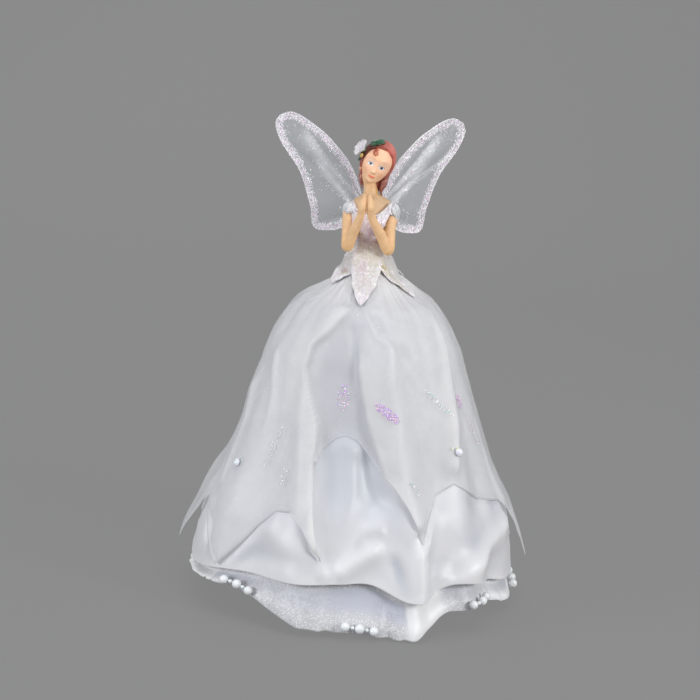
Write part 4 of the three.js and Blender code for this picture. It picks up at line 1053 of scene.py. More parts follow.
@dataclass(frozen=True)
class FlakeFinish:
    """Loose glitter flake, coloured by the mesh."""

    roughness: float = 0.24

    def make(self, name: str) -> bpy.types.Material:
        """Builds the material.

        Args:
            name: Its name.

        Returns:
            The material.
        """
        t = Tree(name)
        colour = t.blend(t.ramp(t.noise(1500, 1), 0.4, 0.6, 0.0, 0.2), t.attribute("paint", "Color"),
                         (0.98, 0.98, 1.0))
        return t.finish(Base_Color=colour, Roughness=self.roughness, Metallic=0.25, Specular_IOR_Level=0.9)


@dataclass(frozen=True)
class CardFinish:
    """Plain white moulding with a faint mould grain."""

    colour: Colour = (0.80, 0.79, 0.77)

    def make(self, name: str) -> bpy.types.Material:
        """Builds the material.

        Args:
            name: Its name.

        Returns:
            The material.
        """
        t = Tree(name)
        cloud = t.noise(80, 4)
        colour = t.blend(t.ramp(cloud, 0.3, 0.7), self.colour, (0.72, 0.71, 0.69))
        return t.finish(Base_Color=colour, Roughness=t.ramp(cloud, 0.3, 0.7, 0.5, 0.7),
                        Normal=t.bump(t.noise(1400, 3), 0.00005, 0.6))


@dataclass(frozen=True)
class GroundFinish:
    """Plain grey ground that keeps the object's shadow."""

    shown: float = GREY
    shadow_share: float = 0.2

    def make(self, name: str) -> bpy.types.Material:
        """Builds the material: mostly a fixed grey to the camera, and the rest a lit grey.

        Args:
            name: Its name.

        Returns:
            The material.
        """
        t = Tree(name)
        path = t.nodes.new("ShaderNodeLightPath")
        seen = t.math("MAXIMUM", path.outputs["Is Camera Ray"], path.outputs["Is Glossy Ray"])
        seen = t.math("MAXIMUM", seen, path.outputs["Is Transmission Ray"])
        grey = (self.shown, self.shown, self.shown, 1.0)
        lit = t.add("ShaderNodeBsdfDiffuse", {"Color": grey})
        glow = t.add("ShaderNodeEmission", {"Color": grey, "Strength": 1.0})
        share = t.math("MULTIPLY", seen, 1 - self.shadow_share)
        mixed = t.add("ShaderNodeMixShader", {0: share, 1: lit, 2: glow})
        output = t.nodes.new("ShaderNodeOutputMaterial")
        t.links.new(mixed, output.inputs["Surface"])
        return t.material


class Look(Enum):
    """Every finish on the object and under it, by the name of its material."""

    CARD = CardFinish()
    ORGANZA = OrganzaFinish()
    SATIN = SatinFinish()
    LACE = LaceFinish()
    NET = NetFinish()
    THREAD = PaintFinish(0.7, 0.00008)
    SKIN = PaintFinish(0.5, 0.00002, soft=0.06)
    HAIR = PaintFinish(0.42, 0.00006, 0.15)
    LEAF = PaintFinish(0.28, 0.00005, 0.5)
    BUD = PaintFinish(0.3, 0.00004, 0.4)
    BODICE = GlitterPaintFinish(0.42, 0.85)
    SLEEVE = GlitterPaintFinish(0.34, 0.7)
    PETAL = GlitterPaintFinish(0.45, 0.75)
    FLOWER = GlitterPaintFinish(0.5, 0.6, 1500.0)
    FILM = FilmFinish()
    FLAKES = FlakeFinish()
    PEARL = PearlFinish()
    SEED_BEAD = PearlFinish((0.88, 0.90, 0.92), 380.0)
    GEM = PearlFinish((0.80, 0.76, 0.90), 300.0)
    GROUND = GroundFinish()


class Workshop:
    """Makes pieces: gives each its material and its CAD body, names it after its node and hides that node."""

    def __init__(self) -> None:
        """Starts with no materials."""
        self.materials: dict[Look, bpy.types.Material] = {}

    def material(self, look: Look) -> bpy.types.Material:
        """Makes the material of a look once and returns it.

        Args:
            look: The look.

        Returns:
            The material.
        """
        if look not in self.materials:
            self.materials[look] = look.value.make(look.name.lower())
        return self.materials[look]

    def place(self, node: str, made_of: str, surface: Surface, look: Look, slot: Slot, detail: bool = False,
              thickness: float | None = None) -> bpy.types.Object:
        """Makes a piece of the object.

        Args:
            node: The CAD node that it stands for or adds to.
            made_of: What it is made of, which ends its name.
            surface: Its shape. Closed surfaces are turned outwards.
            look: Its finish.
            slot: The slot for its finish; not used.
            detail: True if it only adds to what another piece stands for.
            thickness: Thickness of an open sheet, grown inwards.

        Returns:
            The object.
        """
        if thickness is None:
            surface.outward()
        name = f"{node}_{made_of}"
        obj = surface.to_object(name, self.material(look))
        if thickness is not None:
            solidify = obj.modifiers.new("thickness", "SOLIDIFY")
            solidify.thickness = thickness * MM
            solidify.offset = -1
        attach(obj, BODY)
        if not detail:
            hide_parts(node)
        LOG.info("%s: %d points, %d faces", name, len(obj.data.vertices), len(obj.data.polygons))
        return obj


# Glitter flakes

FLAKE_TINTS = np.array([
    (0.97, 0.97, 1.0), (0.90, 0.50, 0.80), (0.66, 0.40, 0.92), (1.0, 1.0, 1.0), (0.60, 0.92, 0.80),
    (0.95, 0.74, 0.92), (0.80, 0.88, 0.30),
])


def flakes(points: Array, normals: Array, radius: float, seed: int, tints: Sequence[int] = (0, 1, 2, 3, 4, 5),
           lift: float = 0.12) -> Surface:
    """Hexagonal flakes of glitter lying on a surface, each a thin closed plate with its own tilt.

    Args:
        points: Where they lie.
        normals: Normals there.
        radius: Greatest half width.
        seed: Seed of sizes, turns and tints.
        tints: Which of the flakes' tints occur.
        lift: How far their middles lie above the surface.

    Returns:
        One surface with a paint colour.
    """
    rng = np.random.default_rng(seed)
    n = len(points)
    normal = unit(normals + rng.normal(0, 0.33, (n, 3)))
    side = unit(np.cross(normal, rng.normal(0, 1, (n, 3))))
    other = np.cross(normal, side)
    size = radius * rng.uniform(0.6, 1.0, (n, 1, 1))
    angle = np.arange(6) * math.pi / 3
    ring = side[:, None] * np.cos(angle)[:, None] + other[:, None] * np.sin(angle)[:, None]
    middle = (points + unit(normals) * lift)[:, None]
    top = middle + ring * size + normal[:, None] * 0.03
    bottom = middle + ring * size - normal[:, None] * 0.03
    start = (np.arange(n) * 12)[:, None]
    i = np.arange(6)
    sides = np.stack([i, (i + 1) % 6, (i + 1) % 6 + 6, i + 6], axis=-1)[::-1, ::-1]
    faces = [start + i, start + i[::-1] + 6, (start[:, :, None] + sides).reshape(-1, 4)]
    colour = FLAKE_TINTS[np.asarray(tints)[rng.integers(0, len(tints), n)]]
    surface = Surface(np.concatenate([top, bottom], axis=1).reshape(-1, 3), faces)
    return surface.painted(paint=np.repeat(colour, 12, axis=0))


# Skirts

HEM_RADIUS = 98.0
SKIRT_TOP_Z = 201.0
SKIRT_TOP_RADIUS = 10.4
PLEAT_HEIGHT = 6.0
DEPTH_SHARE = 0.94
CLEARANCE = 0.3

# Share down, radius as a share of the hem's, height as a share of the skirt's top.
PROFILE = (
    (0, SKIRT_TOP_RADIUS / HEM_RADIUS, 1), (0.04, 0.124, 0.985), (0.1, 0.174, 0.96), (0.16, 0.245, 0.935),
    (0.22, 0.33, 0.905), (0.3, 0.431, 0.868), (0.4, 0.543, 0.775), (0.5, 0.62, 0.665), (0.6, 0.71, 0.54),
    (0.7, 0.8, 0.42), (0.8, 0.905, 0.31), (0.9, 0.968, 0.165), (1, 1, 0),
)
# Bearings at waist and hem, half width in degrees, share of PLEAT_HEIGHT, share down where it starts.
PLEATS = (
    (-88, -92, 13, 0.05, 0.3), (-62, -53, 9, 0.6, 0.2), (-46, -38, 9, -0.45, 0.3), (-30, -17, 8, 0.6, 0.15),
    (14, 23, 7, 0.9, 0.3), (36, 34, 8, -0.4, 0.3), (58, 46, 7, 0.8, 0.2), (68, 63, 7, -0.6, 0.1),
    (88, 92, 12, 0.2, 0.3), (118, 124, 12, 0.8, 0.2), (142, 150, 11, -0.7, 0.2), (168, 172, 15, 0.6, 0.15),
    (198, 203, 12, -0.6, 0.2), (228, 229, 13, 0.9, 0.25),
)
# Share down, then the bearings of the hollow's left and right sides.
HOLLOW = ((0, -8, 4), (0.26, -14, 2), (0.4, -27, 1), (0.55, -25, 6), (0.68, -18, 13), (0.79, -14, 21),
          (1, -8, 20))
HOLLOW_DEPTH = 0.85
HOLLOW_EDGE = 7.0
# Bearing, height as a share of the skirt's top, share of tip_reach by which the edge stands out.
ORGANZA_EDGE = (
    (-90, 0.134, 1), (-75, 0.303, 0), (-51, 0.152, 0.15), (-38, 0.285, 0), (-31, 0.335, 0), (-22, 0.345, 0),
    (-15, 0.305, 0), (-10.6, 0.218, 0.1), (-10.4, 0.36, 0), (-10.1, 0.47, 0), (-8.1, 0.513, 0),
    (-4.8, 0.541, 0), (-1.5, 0.551, 0), (2, 0.54, 0), (6, 0.508, 0), (11, 0.457, 0), (16.4, 0.416, 0),
    (20.7, 0.365, 0), (25.4, 0.275, 0.05), (29, 0.33, 0), (36, 0.395, 0), (45, 0.42, 0), (61, 0.36, 0),
    (78, 0.33, 0), (90, 0.134, 1), (108, 0.36, 0), (128, 0.17, 0.2), (150, 0.42, 0), (171, 0.2, 0.1),
    (190, 0.4, 0), (208, 0.33, 0), (225, 0.17, 0.2), (248, 0.4, 0), (270, 0.134, 1),
)
# Bearing, height as a share of the skirt's top.
SATIN_EDGE = (
    (-90, 0.11), (-70, 0.11), (-50, 0.145), (-22, 0.155), (-6, 0.16), (7, 0.165), (20, 0.12), (27, 0.125),
    (38, 0.155), (58, 0.135), (75, 0.105), (90, 0.11), (120, 0.15), (145, 0.11), (165, 0.09), (185, 0.14),
    (210, 0.15), (235, 0.1), (255, 0.14), (270, 0.11),
)
# Bearing, height as a share of the skirt's top.
FRILL_EDGE = (
    (-90, 0.07), (-70, 0.075), (-48, 0.095), (-37, 0.077), (-20, 0.04), (2, 0.0225), (20, 0.006),
    (27, 0.025), (34, 0.06), (44, 0.07), (56, 0.072), (75, 0.035), (90, 0.03), (110, 0.06), (130, 0.07),
    (150, 0.025), (165, 0.0125), (185, 0.05), (205, 0.075), (228, 0.03), (250, 0.06), (270, 0.07),
)


@dataclass(frozen=True)
class Fold:
    """A fold of cloth along a line on the skirt.

    The line's points are (bearing in degrees, height). The low side lies towards smaller bearings, or
    below a level line that is drawn in growing bearings; the high side is the other one.
    """

    line: tuple[tuple[float, float], ...]
    rise: float
    low: float
    high: float
    fade: tuple[float, float] = (0.2, 0.2)
    power: float = 2.0


class SkirtForm:
    """The shape that all layers of the skirt follow, near the part's."""

    def __init__(self) -> None:
        """Samples the profile, to look up the share down at a height and the slant length."""
        self.shares = np.linspace(0, 1, 2001)
        self.heights = SKIRT_TOP_Z * along(PROFILE, 2, self.shares)
        self.radii = HEM_RADIUS * along(PROFILE, 1, self.shares)
        steps = np.hypot(np.diff(self.heights), np.diff(self.radii))
        self.slants = np.concatenate([[0], np.cumsum(steps)])

    def share_at(self, z: Array) -> Array:
        """How far down the profile heights lie.

        Args:
            z: Heights.

        Returns:
            Shares from 0 at the waist to 1 at the hem.
        """
        return np.interp(z, self.heights[::-1], self.shares[::-1])

    def height_at(self, t: Array) -> Array:
        """Heights at shares down the profile.

        Args:
            t: Shares from 0 at the waist to 1 at the hem.

        Returns:
            The heights.
        """
        return np.interp(t, self.shares, self.heights)

    def pleats(self, bearing: Array, t: Array) -> Array:
        """Offset of the main pleats: a bell curve round each pleat's line, less the hollow in front.

        Args:
            bearing: Bearings in radians.
            t: Shares down.

        Returns:
            Offsets outwards in millimetres.
        """
        d = compass(bearing)
        total = np.zeros(np.broadcast(d, t).shape)
        for top, bottom, half, height, start in PLEATS:
            off = (np.mod(d - mix(top, bottom, t) + 180, 360) - 180) / half
            grown = smooth(t, start, 1) * 0.7 + smooth(t, 0.05, 0.45) * 0.3
            total = total + height * grown * np.exp(-off * off)
        total = total - (HOLLOW_DEPTH * self.hollow(bearing, t) * smooth(t, 0.28, 0.62)
                         * mix(1, 0.3, smooth(t, 0.75, 1)))
        return total * PLEAT_HEIGHT

    def hollow(self, bearing: Array, t: Array) -> Array:
        """How far a place lies within the hollow in front, between its two sides.

        Args:
            bearing: Bearings in radians.
            t: Shares down.

        Returns:
            0 outside to 1 inside.
        """
        d, left, right = compass(bearing), along(HOLLOW, 1, t), along(HOLLOW, 2, t)
        return smooth((d - left) / HOLLOW_EDGE, -1, 1) * (1 - smooth((d - right) / HOLLOW_EDGE, -1, 1))

    def point(self, bearing: Array, t: Array, inset: Array | float) -> Array:
        """Points of the skirt, inset along the profile's normal.

        Args:
            bearing: Bearings in radians.
            t: Shares down.
            inset: Distances inwards.

        Returns:
            Points, rows by columns by 3.
        """
        step = 0.01
        lo, hi = np.maximum(t - step, 0), np.minimum(t + step, 1)
        dr = HEM_RADIUS * (along(PROFILE, 1, hi) - along(PROFILE, 1, lo))
        dz = SKIRT_TOP_Z * (along(PROFILE, 2, hi) - along(PROFILE, 2, lo))
        size = np.hypot(dr, dz)
        r = HEM_RADIUS * along(PROFILE, 1, t) + self.pleats(bearing, t) + inset * dz / size
        p = polar(bearing, r, SKIRT_TOP_Z * along(PROFILE, 2, t) - inset * dr / size)
        p[..., 1] *= mix(1, DEPTH_SHARE, smooth(t, 0.1, 0.6))
        return p

    def unrolled(self, bearing: Array, z: Array, middle: float) -> tuple[Array, Array]:
        """Distances across and down the cloth from a middle bearing.

        Args:
            bearing: Bearings in degrees.
            z: Heights.
            middle: Bearing of the middle in degrees.

        Returns:
            Distance across, as bearing times the local radius, and slant length down.
        """
        t = self.share_at(z)
        off = np.mod(bearing - middle + 180, 360) - 180
        return np.radians(off) * np.interp(t, self.shares, self.radii), np.interp(t, self.shares, self.slants)

    def relief(self, bearing: Array, t: Array, folds: Sequence[Fold]) -> Array:
        """Height of the folds: for each, its rise times exp(-(distance / width)^power), faded at its ends.

        Args:
            bearing: Bearings in radians.
            t: Shares down.
            folds: The folds.

        Returns:
            Offsets outwards in millimetres.
        """
        d = np.degrees(bearing) + 0 * t
        z = self.height_at(t) + 0 * bearing
        total = np.zeros(d.shape)
        for fold in folds:
            line = np.array(fold.line, float)
            middle = float(line[:, 0].mean())
            u, v = self.unrolled(d, z, middle)
            lu, lv = self.unrolled(line[:, 0], line[:, 1], middle)
            reach = np.concatenate([[0], np.cumsum(np.hypot(np.diff(lu), np.diff(lv)))])
            best = np.full(d.shape, 1e9)
            side, at = np.zeros(d.shape), np.zeros(d.shape)
            for k in range(len(lu) - 1):
                du, dv = lu[k + 1] - lu[k], lv[k + 1] - lv[k]
                length = math.hypot(du, dv)
                s = np.clip(((u - lu[k]) * du + (v - lv[k]) * dv) / length**2, 0, 1)
                distance = np.hypot(u - lu[k] - s * du, v - lv[k] - s * dv)
                nearer = distance < best
                best = np.where(nearer, distance, best)
                side = np.where(nearer, du * (v - lv[k]) - dv * (u - lu[k]), side)
                at = np.where(nearer, (reach[k] + s * length) / reach[-1], at)
            width = np.where(side > 0, fold.low, fold.high)
            fade = smooth(at, 0, max(fold.fade[0], 1e-3)) * (1 - smooth(at, 1 - max(fold.fade[1], 1e-3), 1))
            total += fold.rise * fade * np.exp(-np.power(best / width, fold.power))
        return total


ORGANZA_FOLDS = (
    Fold(((-9, 183), (-12.1, 177.9), (-23.3, 165.6), (-32.4, 156.9), (-33, 144.4), (-26.5, 128.2),
          (-21.4, 115.2), (-17.7, 85.2), (-13, 63.9), (-10.5, 46)), 3.0, 13, 1.3, (0.12, 0.04), 1.6),
    Fold(((-3.5, 168), (-1.7, 144.9), (3.9, 119.5), (13.2, 87.8), (22.4, 65.5), (26.8, 62)),
         2.8, 1.2, 12, (0.25, 0.05), 1.6),
    Fold(((-9, 172.6), (-6, 152.2), (-5, 130)), -1.6, 2.2, 2.6, (0.2, 0.5)),
    Fold(((-1.1, 178.4), (7.8, 166.2), (16.9, 160.4), (14.9, 136.2), (16, 118)), 1.8, 2.6, 3.4, (0.15, 0.5)),
    Fold(((3, 178), (11.7, 166.2), (22.6, 160.3), (29.7, 145)), -1.8, 2.4, 3.2, (0.1, 0.4)),
    Fold(((50, 184), (60.5, 175.4), (56.4, 160.9), (53.4, 141.1), (50.5, 114.9), (45.4, 84.6)),
         3.2, 9, 2.4, (0.3, 0.1), 1.7),
    Fold(((69, 172), (62, 157), (58.5, 141), (57, 120)), -1.6, 2.5, 4, (0.3, 0.4)),
    Fold(((-60, 158), (-56.5, 147.9), (-50.6, 129.7), (-48.8, 117.3), (-50, 100)), 1.9, 3.2, 4.5, (0.2, 0.4)),
    Fold(((-74, 140), (-73.3, 127.4), (-65.1, 106.2), (-67.6, 85.4), (-62.1, 67.5)), 2.4, 3, 5, (0.2, 0.1)),
    Fold(((-70, 181), (-66.4, 170.5), (-62, 158)), -2.4, 4.5, 5.5, (0.3, 0.4)),
    Fold(((-40, 175), (-44, 150), (-40, 120), (-38, 90), (-41, 62)), 1.3, 6, 9, (0.3, 0.3)),
    Fold(((84, 175), (92, 140), (90, 110), (93, 85)), 0.5, 4, 6, (0.3, 0.3)),
    Fold(((24, 178), (34, 150), (36, 120), (34, 92)), 1.4, 7, 8, (0.3, 0.3)),
    Fold(((100, 180), (108, 150), (112, 110), (110, 75)), -1.8, 4, 5, (0.2, 0.2)),
    Fold(((128, 182), (132, 150), (134, 110), (129, 45)), 3.0, 10, 2.2, (0.2, 0.1), 1.7),
    Fold(((160, 182), (158, 150), (163, 110), (166, 70)), 2.4, 4, 7, (0.2, 0.2)),
    Fold(((182, 180), (185, 150), (189, 115), (187, 85)), -1.8, 4, 5, (0.2, 0.2)),
    Fold(((205, 182), (209, 150), (213, 105), (224, 44)), 2.8, 2.4, 9, (0.2, 0.1), 1.7),
    Fold(((240, 180), (243, 150), (247, 118), (246, 85)), 2.0, 4, 6, (0.2, 0.3)),
    Fold(((256, 181), (258, 150), (261, 110), (264, 70)), -1.6, 4, 5, (0.2, 0.3)),
    Fold(((268, 125), (269, 100), (270, 75), (270, 35)), -4.4, 16, 16, (0.35, 0.25)),
    Fold(((260, 193), (268, 184), (286, 173)), -5.0, 13, 13, (0.3, 0.3)),
)

SATIN_FOLDS = (
    Fold(((-5, 122), (-6.4, 111), (-1.8, 100.8), (-0.9, 84.3), (-4.2, 65.1), (-4.4, 50.1)),
         1.7, 8, 4.2, (0.2, 0.35)),
    Fold(((1, 108), (6.1, 84.7), (11, 66)), -3.8, 8, 8, (0.3, 0.3)),
    Fold(((-6.6, 33.9), (0.7, 45.9), (13.3, 55.7)), 4.2, 7, 4, (0.2, 0.3), 1.8),
    Fold(((-1, 48), (4, 62), (10.3, 63), (13, 54)), 2.2, 4, 3, (0.3, 0.3)),
    Fold(((-12, 43), (-9.5, 36), (-6.7, 33)), 2.0, 3, 3, (0.3, 0.3)),
    Fold(((22.4, 66), (25.5, 62), (23.7, 50.4), (23.8, 26.4), (21, 12)), 4.0, 1.6, 8, (0.1, 0.1), 1.7),
    Fold(((15, 52), (17, 38), (17, 22)), -2.2, 4, 3, (0.3, 0.2)),
    Fold(((84, 62), (75.2, 54), (60, 49), (50, 42), (38.5, 33.4), (29.1, 33.7)), 4.2, 5, 10, (0.2, 0.15),
         1.8),
    Fold(((86, 78), (72, 68), (58, 70), (48, 78)), -2.4, 5, 6, (0.2, 0.3)),
    Fold(((42, 78), (36, 60), (33, 44), (31, 33)), 0.8, 5, 6, (0.3, 0.1)),
    Fold(((27.5, 52), (29, 42), (28, 34)), -2.0, 2, 3, (0.2, 0.2)),
    Fold(((-63.2, 74), (-57, 52), (-51, 30)), 3.0, 3, 9, (0.2, 0.05), 1.7),
    Fold(((-60, 66), (-66, 52), (-62, 34)), -2.4, 4, 3.5, (0.3, 0.2)),
    Fold(((-51, 32), (-42, 45), (-30, 66)), 0.8, 6, 6, (0.1, 0.3)),
    Fold(((-44, 34), (-32, 42), (-20, 40), (-12, 33)), -1.2, 5, 7, (0.2, 0.2)),
    Fold(((-36, 70), (-30, 54), (-18, 50)), 1.1, 8, 8, (0.2, 0.4)),
    Fold(((264, 78), (266, 50), (270, 24)), -1.6, 10, 10, (0.3, 0.05)),
    Fold(((54, 86), (50, 62), (47.5, 40)), -2.8, 9, 9, (0.3, 0.25)),
    Fold(((68, 84), (65, 60), (63, 34)), 2.2, 8, 8, (0.3, 0.25)),
    Fold(((98, 80), (104, 55), (100, 30)), 3.0, 4, 7, (0.3, 0.1)),
    Fold(((116, 60), (122, 44), (134, 38)), 3.0, 6, 5, (0.2, 0.2)),
    Fold(((140, 85), (146, 55), (148, 26)), -2.8, 4, 5, (0.2, 0.1)),
    Fold(((158, 64), (164, 44), (167, 22)), 3.4, 2.4, 8, (0.3, 0.1), 1.7),
    Fold(((176, 50), (186, 60), (196, 56)), 2.6, 7, 5, (0.2, 0.3)),
    Fold(((200, 80), (203, 54), (200, 32)), -2.6, 4, 5, (0.2, 0.1)),
    Fold(((216, 70), (224, 48), (232, 24)), 3.2, 8, 2.6, (0.3, 0.1), 1.7),
    Fold(((246, 64), (250, 46), (258, 34)), 2.6, 4, 6, (0.2, 0.2)),
)

# Bands of paint on the satin: its sheen on the sharpest folds, then the shade beside them.
SATIN_LIGHTS = (
    Fold(((86, 60), (75.2, 52), (60, 46), (50, 40), (38.5, 31), (29, 31)), 0.85, 5, 6, (0.1, 0.15)),
    Fold(((23.7, 62), (23.7, 50.4), (23.8, 26.4), (22, 10)), 0.7, 3, 5, (0.15, 0.1)),
    Fold(((-8, 31), (0.7, 44), (13.3, 54)), 0.7, 5, 4, (0.2, 0.3)),
    Fold(((-68, 68), (-66, 52), (-68, 34)), 0.9, 6, 6, (0.2, 0.2)),
    Fold(((-24, 36), (-22, 48), (-24, 58)), 0.35, 9, 9, (0.3, 0.3)),
)
SATIN_DARKS = (
    Fold(((88, 72), (74, 63), (60, 57), (50, 51), (42, 43)), 0.5, 5, 7, (0.2, 0.3)),
    Fold(((15, 52), (18, 38), (18, 22)), 0.5, 4, 3, (0.3, 0.2)),
    Fold(((-46, 36), (-36, 42), (-30, 44)), 0.4, 4, 8, (0.2, 0.3)),
)


@dataclass(frozen=True)
class GlitterPatch:
    """A scatter of glitter glued on the organza, as an ellipse at a bearing and height."""

    bearing: float
    z: float
    length: float
    width: float
    lean: float
    count: int
    tints: tuple[int, ...]


PATCHES = (
    GlitterPatch(-9.7, 131, 8.5, 3.4, 0, 60, (5, 2, 0, 1)),
    GlitterPatch(13.3, 124.5, 8.0, 2.9, 52, 150, (2, 2, 2, 1, 5)),
    GlitterPatch(66, 125, 5.0, 2.4, 0, 60, (5, 1, 2, 5)),
    GlitterPatch(43, 128, 11.0, 1.5, 38, 70, (0, 3, 4)),
    GlitterPatch(-57, 88, 2.6, 2.6, 0, 16, (3, 3, 5, 4)),
    GlitterPatch(47.5, 102, 4.2, 1.3, 78, 14, (3, 3, 2, 6)),
    GlitterPatch(72, 108, 12.0, 1.8, 12, 40, (0, 3, 5)),
    GlitterPatch(-41, 99, 13.0, 2.4, -12, 46, (0, 3, 3)),
    GlitterPatch(-31, 85, 6.0, 2.0, 0, 16, (0, 3)),
    GlitterPatch(24, 84, 5.0, 2.4, 20, 14, (0, 3, 4)),
    GlitterPatch(118, 122, 8.0, 3.2, 20, 70, (2, 1, 5)),
    GlitterPatch(160, 128, 9.0, 3.0, -20, 70, (2, 0, 1)),
    GlitterPatch(196, 118, 9.0, 2.2, 35, 60, (0, 3, 4)),
    GlitterPatch(232, 126, 8.0, 3.2, -35, 80, (2, 2, 1)),
    GlitterPatch(264, 110, 10.0, 1.8, 10, 40, (0, 3)),
)


@dataclass
class Skirts:
    """The four layers of cloth, the glitter on them and the thread that ties them."""

    shop: Workshop
    organza_thickness: float = 0.24
    satin_thickness: float = 0.4
    frill_thickness: float = 0.3
    net_thickness: float = 0.35
    cad_organza: float = 0.7
    cad_satin: float = 0.9
    cad_frill: float = 0.9
    gap: float = 1.5
    tuck: float = 3.5
    tip_reach: float = 6.5
    even_share: float = 2 / 3
    even_depth: float = 0.52
    roll_radius: float = 0.8
    patch_flake: float = 0.52
    stray_flake: float = 0.3
    stray_count: int = 240
    frill_top: float = 48.0
    frill_skin: float = 4.2
    net_top: float = 199.0
    net_hem: float = 51.0
    hip: float = 7.14

    def __post_init__(self) -> None:
        """Works out how far in each layer lies."""
        self.form = SkirtForm()
        self.satin_inset = self.cad_organza + self.gap
        self.frill_inset = self.satin_inset + self.cad_satin + self.tuck + self.gap
        self.net_top_inset = self.satin_inset + self.cad_satin + self.gap
        self.net_inset = self.frill_inset + self.cad_frill + self.gap

    def edge(self, table: Table, bearing: Array, column: int = 1, straight: bool = False) -> Array:
        """Reads an edge table round the skirt.

        Args:
            table: Rows of bearing in degrees and values.
            bearing: Bearings in radians.
            column: Which value.
            straight: Straight lines between rows.

        Returns:
            The values.
        """
        return along(table, column, compass(bearing), straight)

    def edge_z(self, table: Table, bearing: Array, straight: bool = False) -> Array:
        """Heights of a layer's lower edge.

        Args:
            table: The edge's table, with shares of the skirt's height.
            bearing: Bearings in radians.
            straight: Straight lines between rows.

        Returns:
            The heights.
        """
        return SKIRT_TOP_Z * self.edge(table, bearing, 1, straight)

    def clear_hip(self, points: Array) -> None:
        """Moves points that lie within the doll's hip out to just clear of it.

        Args:
            points: A grid of points, changed in place.
        """
        reach = np.maximum(np.hypot(points[..., 0], points[..., 1]), 1e-6)
        points[..., :2] *= np.maximum((self.hip + CLEARANCE) / reach, 1)[..., None]

    def organza_bearings(self, count: int) -> Array:
        """Bearings of the organza's columns, closer together where its lower edge is steep.

        Args:
            count: How many.

        Returns:
            Bearings in radians, evenly spaced over the length of the edge weighted by its steepness.
        """
        d = np.linspace(-90, 270, 7201)
        z = SKIRT_TOP_Z * along(ORGANZA_EDGE, 1, d, True)
        step = np.radians(np.diff(d)) * HEM_RADIUS * 0.8 + 0.3 * np.abs(np.diff(z))
        length = np.concatenate([[0], np.cumsum(step)])
        return np.radians(np.interp(np.arange(count) / count * length[-1], length, d))

    def gathers(self, bearing: Array, t: Array, height: float, seed: int) -> Array:
        """Fine gathers below the waist: waves of uneven spacing that die out downwards.

        Args:
            bearing: Bearings in radians.
            t: Shares down.
            height: Their height at the waist.
            seed: Seed of the unevenness.

        Returns:
            Offsets outwards.
        """
        rng = np.random.default_rng(seed)
        phase = sum(rng.uniform(0.3, 0.9) * np.sin(k * bearing + rng.uniform(0, 6.28)) for k in (2, 3, 5, 8))
        fine = np.sin(34 * bearing + 2.2 * phase) + 0.5 * np.sin(57 * bearing + 3.1 * phase)
        coarse = np.sin(17 * bearing + 1.6 * phase)
        fade = (1 - smooth(t, 0.12, 0.42)) * smooth(t, -0.02, 0.05)
        late = (1 - smooth(t, 0.3, 0.8)) * smooth(t, 0.1, 0.3)
        return height * (fine * fade + 0.9 * coarse * late)

    def organza_sheet(self, bearing: Array, share: Array) -> tuple[Array, Array, Array]:
        """Points of the organza's outer face.

        Args:
            bearing: Bearings in radians, a row.
            share: Shares of the way from the waist to the lower edge, a column.

        Returns:
            The points, their bearings and their shares down the profile.
        """
        z = self.edge_z(ORGANZA_EDGE, bearing, True)
        fly = self.tip_reach * self.edge(ORGANZA_EDGE, bearing, 2, True)
        even = np.minimum(share / self.even_share, 1) * self.even_depth
        uneven = np.maximum(0, (share - self.even_share) / (1 - self.even_share))
        t = mix(even, self.form.share_at(z), uneven)
        bearing = bearing + self.lean(bearing, t)
        settle = 1.8 * smooth(share, 0.7, 0.98) * (1 - smooth(fly, 0, 1))
        p = self.form.point(bearing, t, settle - self.organza_lift(bearing, t))
        return p + polar(bearing, fly * smooth(share, 0.9, 1), 0 * t), bearing, t

    def lean(self, bearing: Array, t: Array) -> Array:
        """How far the cloth left of the opening in front leans away from it higher up, as its edge does.

        Args:
            bearing: Bearings in radians.
            t: Shares down.

        Returns:
            Bearings to add: up to 8.7 degrees, fading over 12 degrees to either side of the edge.
        """
        z = self.form.height_at(t)
        shift = np.interp(z, (45, 59, 79, 95, 125, 155), (0, 3.1, 6.3, 8.7, 8.7, 0))
        return -np.radians(shift * bell(np.degrees(bearing) + 10.5, 12))

    def build_organza(self) -> None:
        """Builds the pointed overskirt."""
        bearing = self.organza_bearings(560)[None, :]
        share = np.linspace(0, 1, 76)[:, None] ** 0.92
        points, bearing, t = self.organza_sheet(bearing, share)
        edge = np.linalg.norm(points - points[-1:], axis=-1)
        lift = self.organza_lift(bearing, t)
        # Painted shade where the organza lies low and over the hollow in front.
        deep = np.maximum(smooth(-lift, -0.5, 4.0), 0.7 * self.form.hollow(bearing, t) * smooth(t, 0.2, 0.36))
        even = (np.roll(lift, 1, axis=1) + 2 * lift + np.roll(lift, -1, axis=1)) / 4
        # Denser and painted lighter near the waist, on raised folds and on the flap by the opening: partly
        # more cloth, partly painted light.
        dense = np.maximum(1 - smooth(t, 0.08, 0.3), 0.45 * smooth(even, 0.8, 3.2))
        z = self.form.height_at(t)
        flap = bell(np.degrees(bearing) + 11.5 + 0.16 * (z - 45), 2.4) * (1 - smooth(z, 58, 82))
        dense = np.maximum(dense, 0.9 * flap)
        surface = Surface.grid(points, True).turned()
        surface.painted(hem=1 - smooth(edge, 0.2, 3.5), deep=deep, dense=dense,
                        line=smooth(share, 0.99, 1) + 0 * t)
        piece = self.shop.place("organza_overskirt", "cloth", surface, Look.ORGANZA, Slot.ORGANZA,
                                thickness=self.organza_thickness)

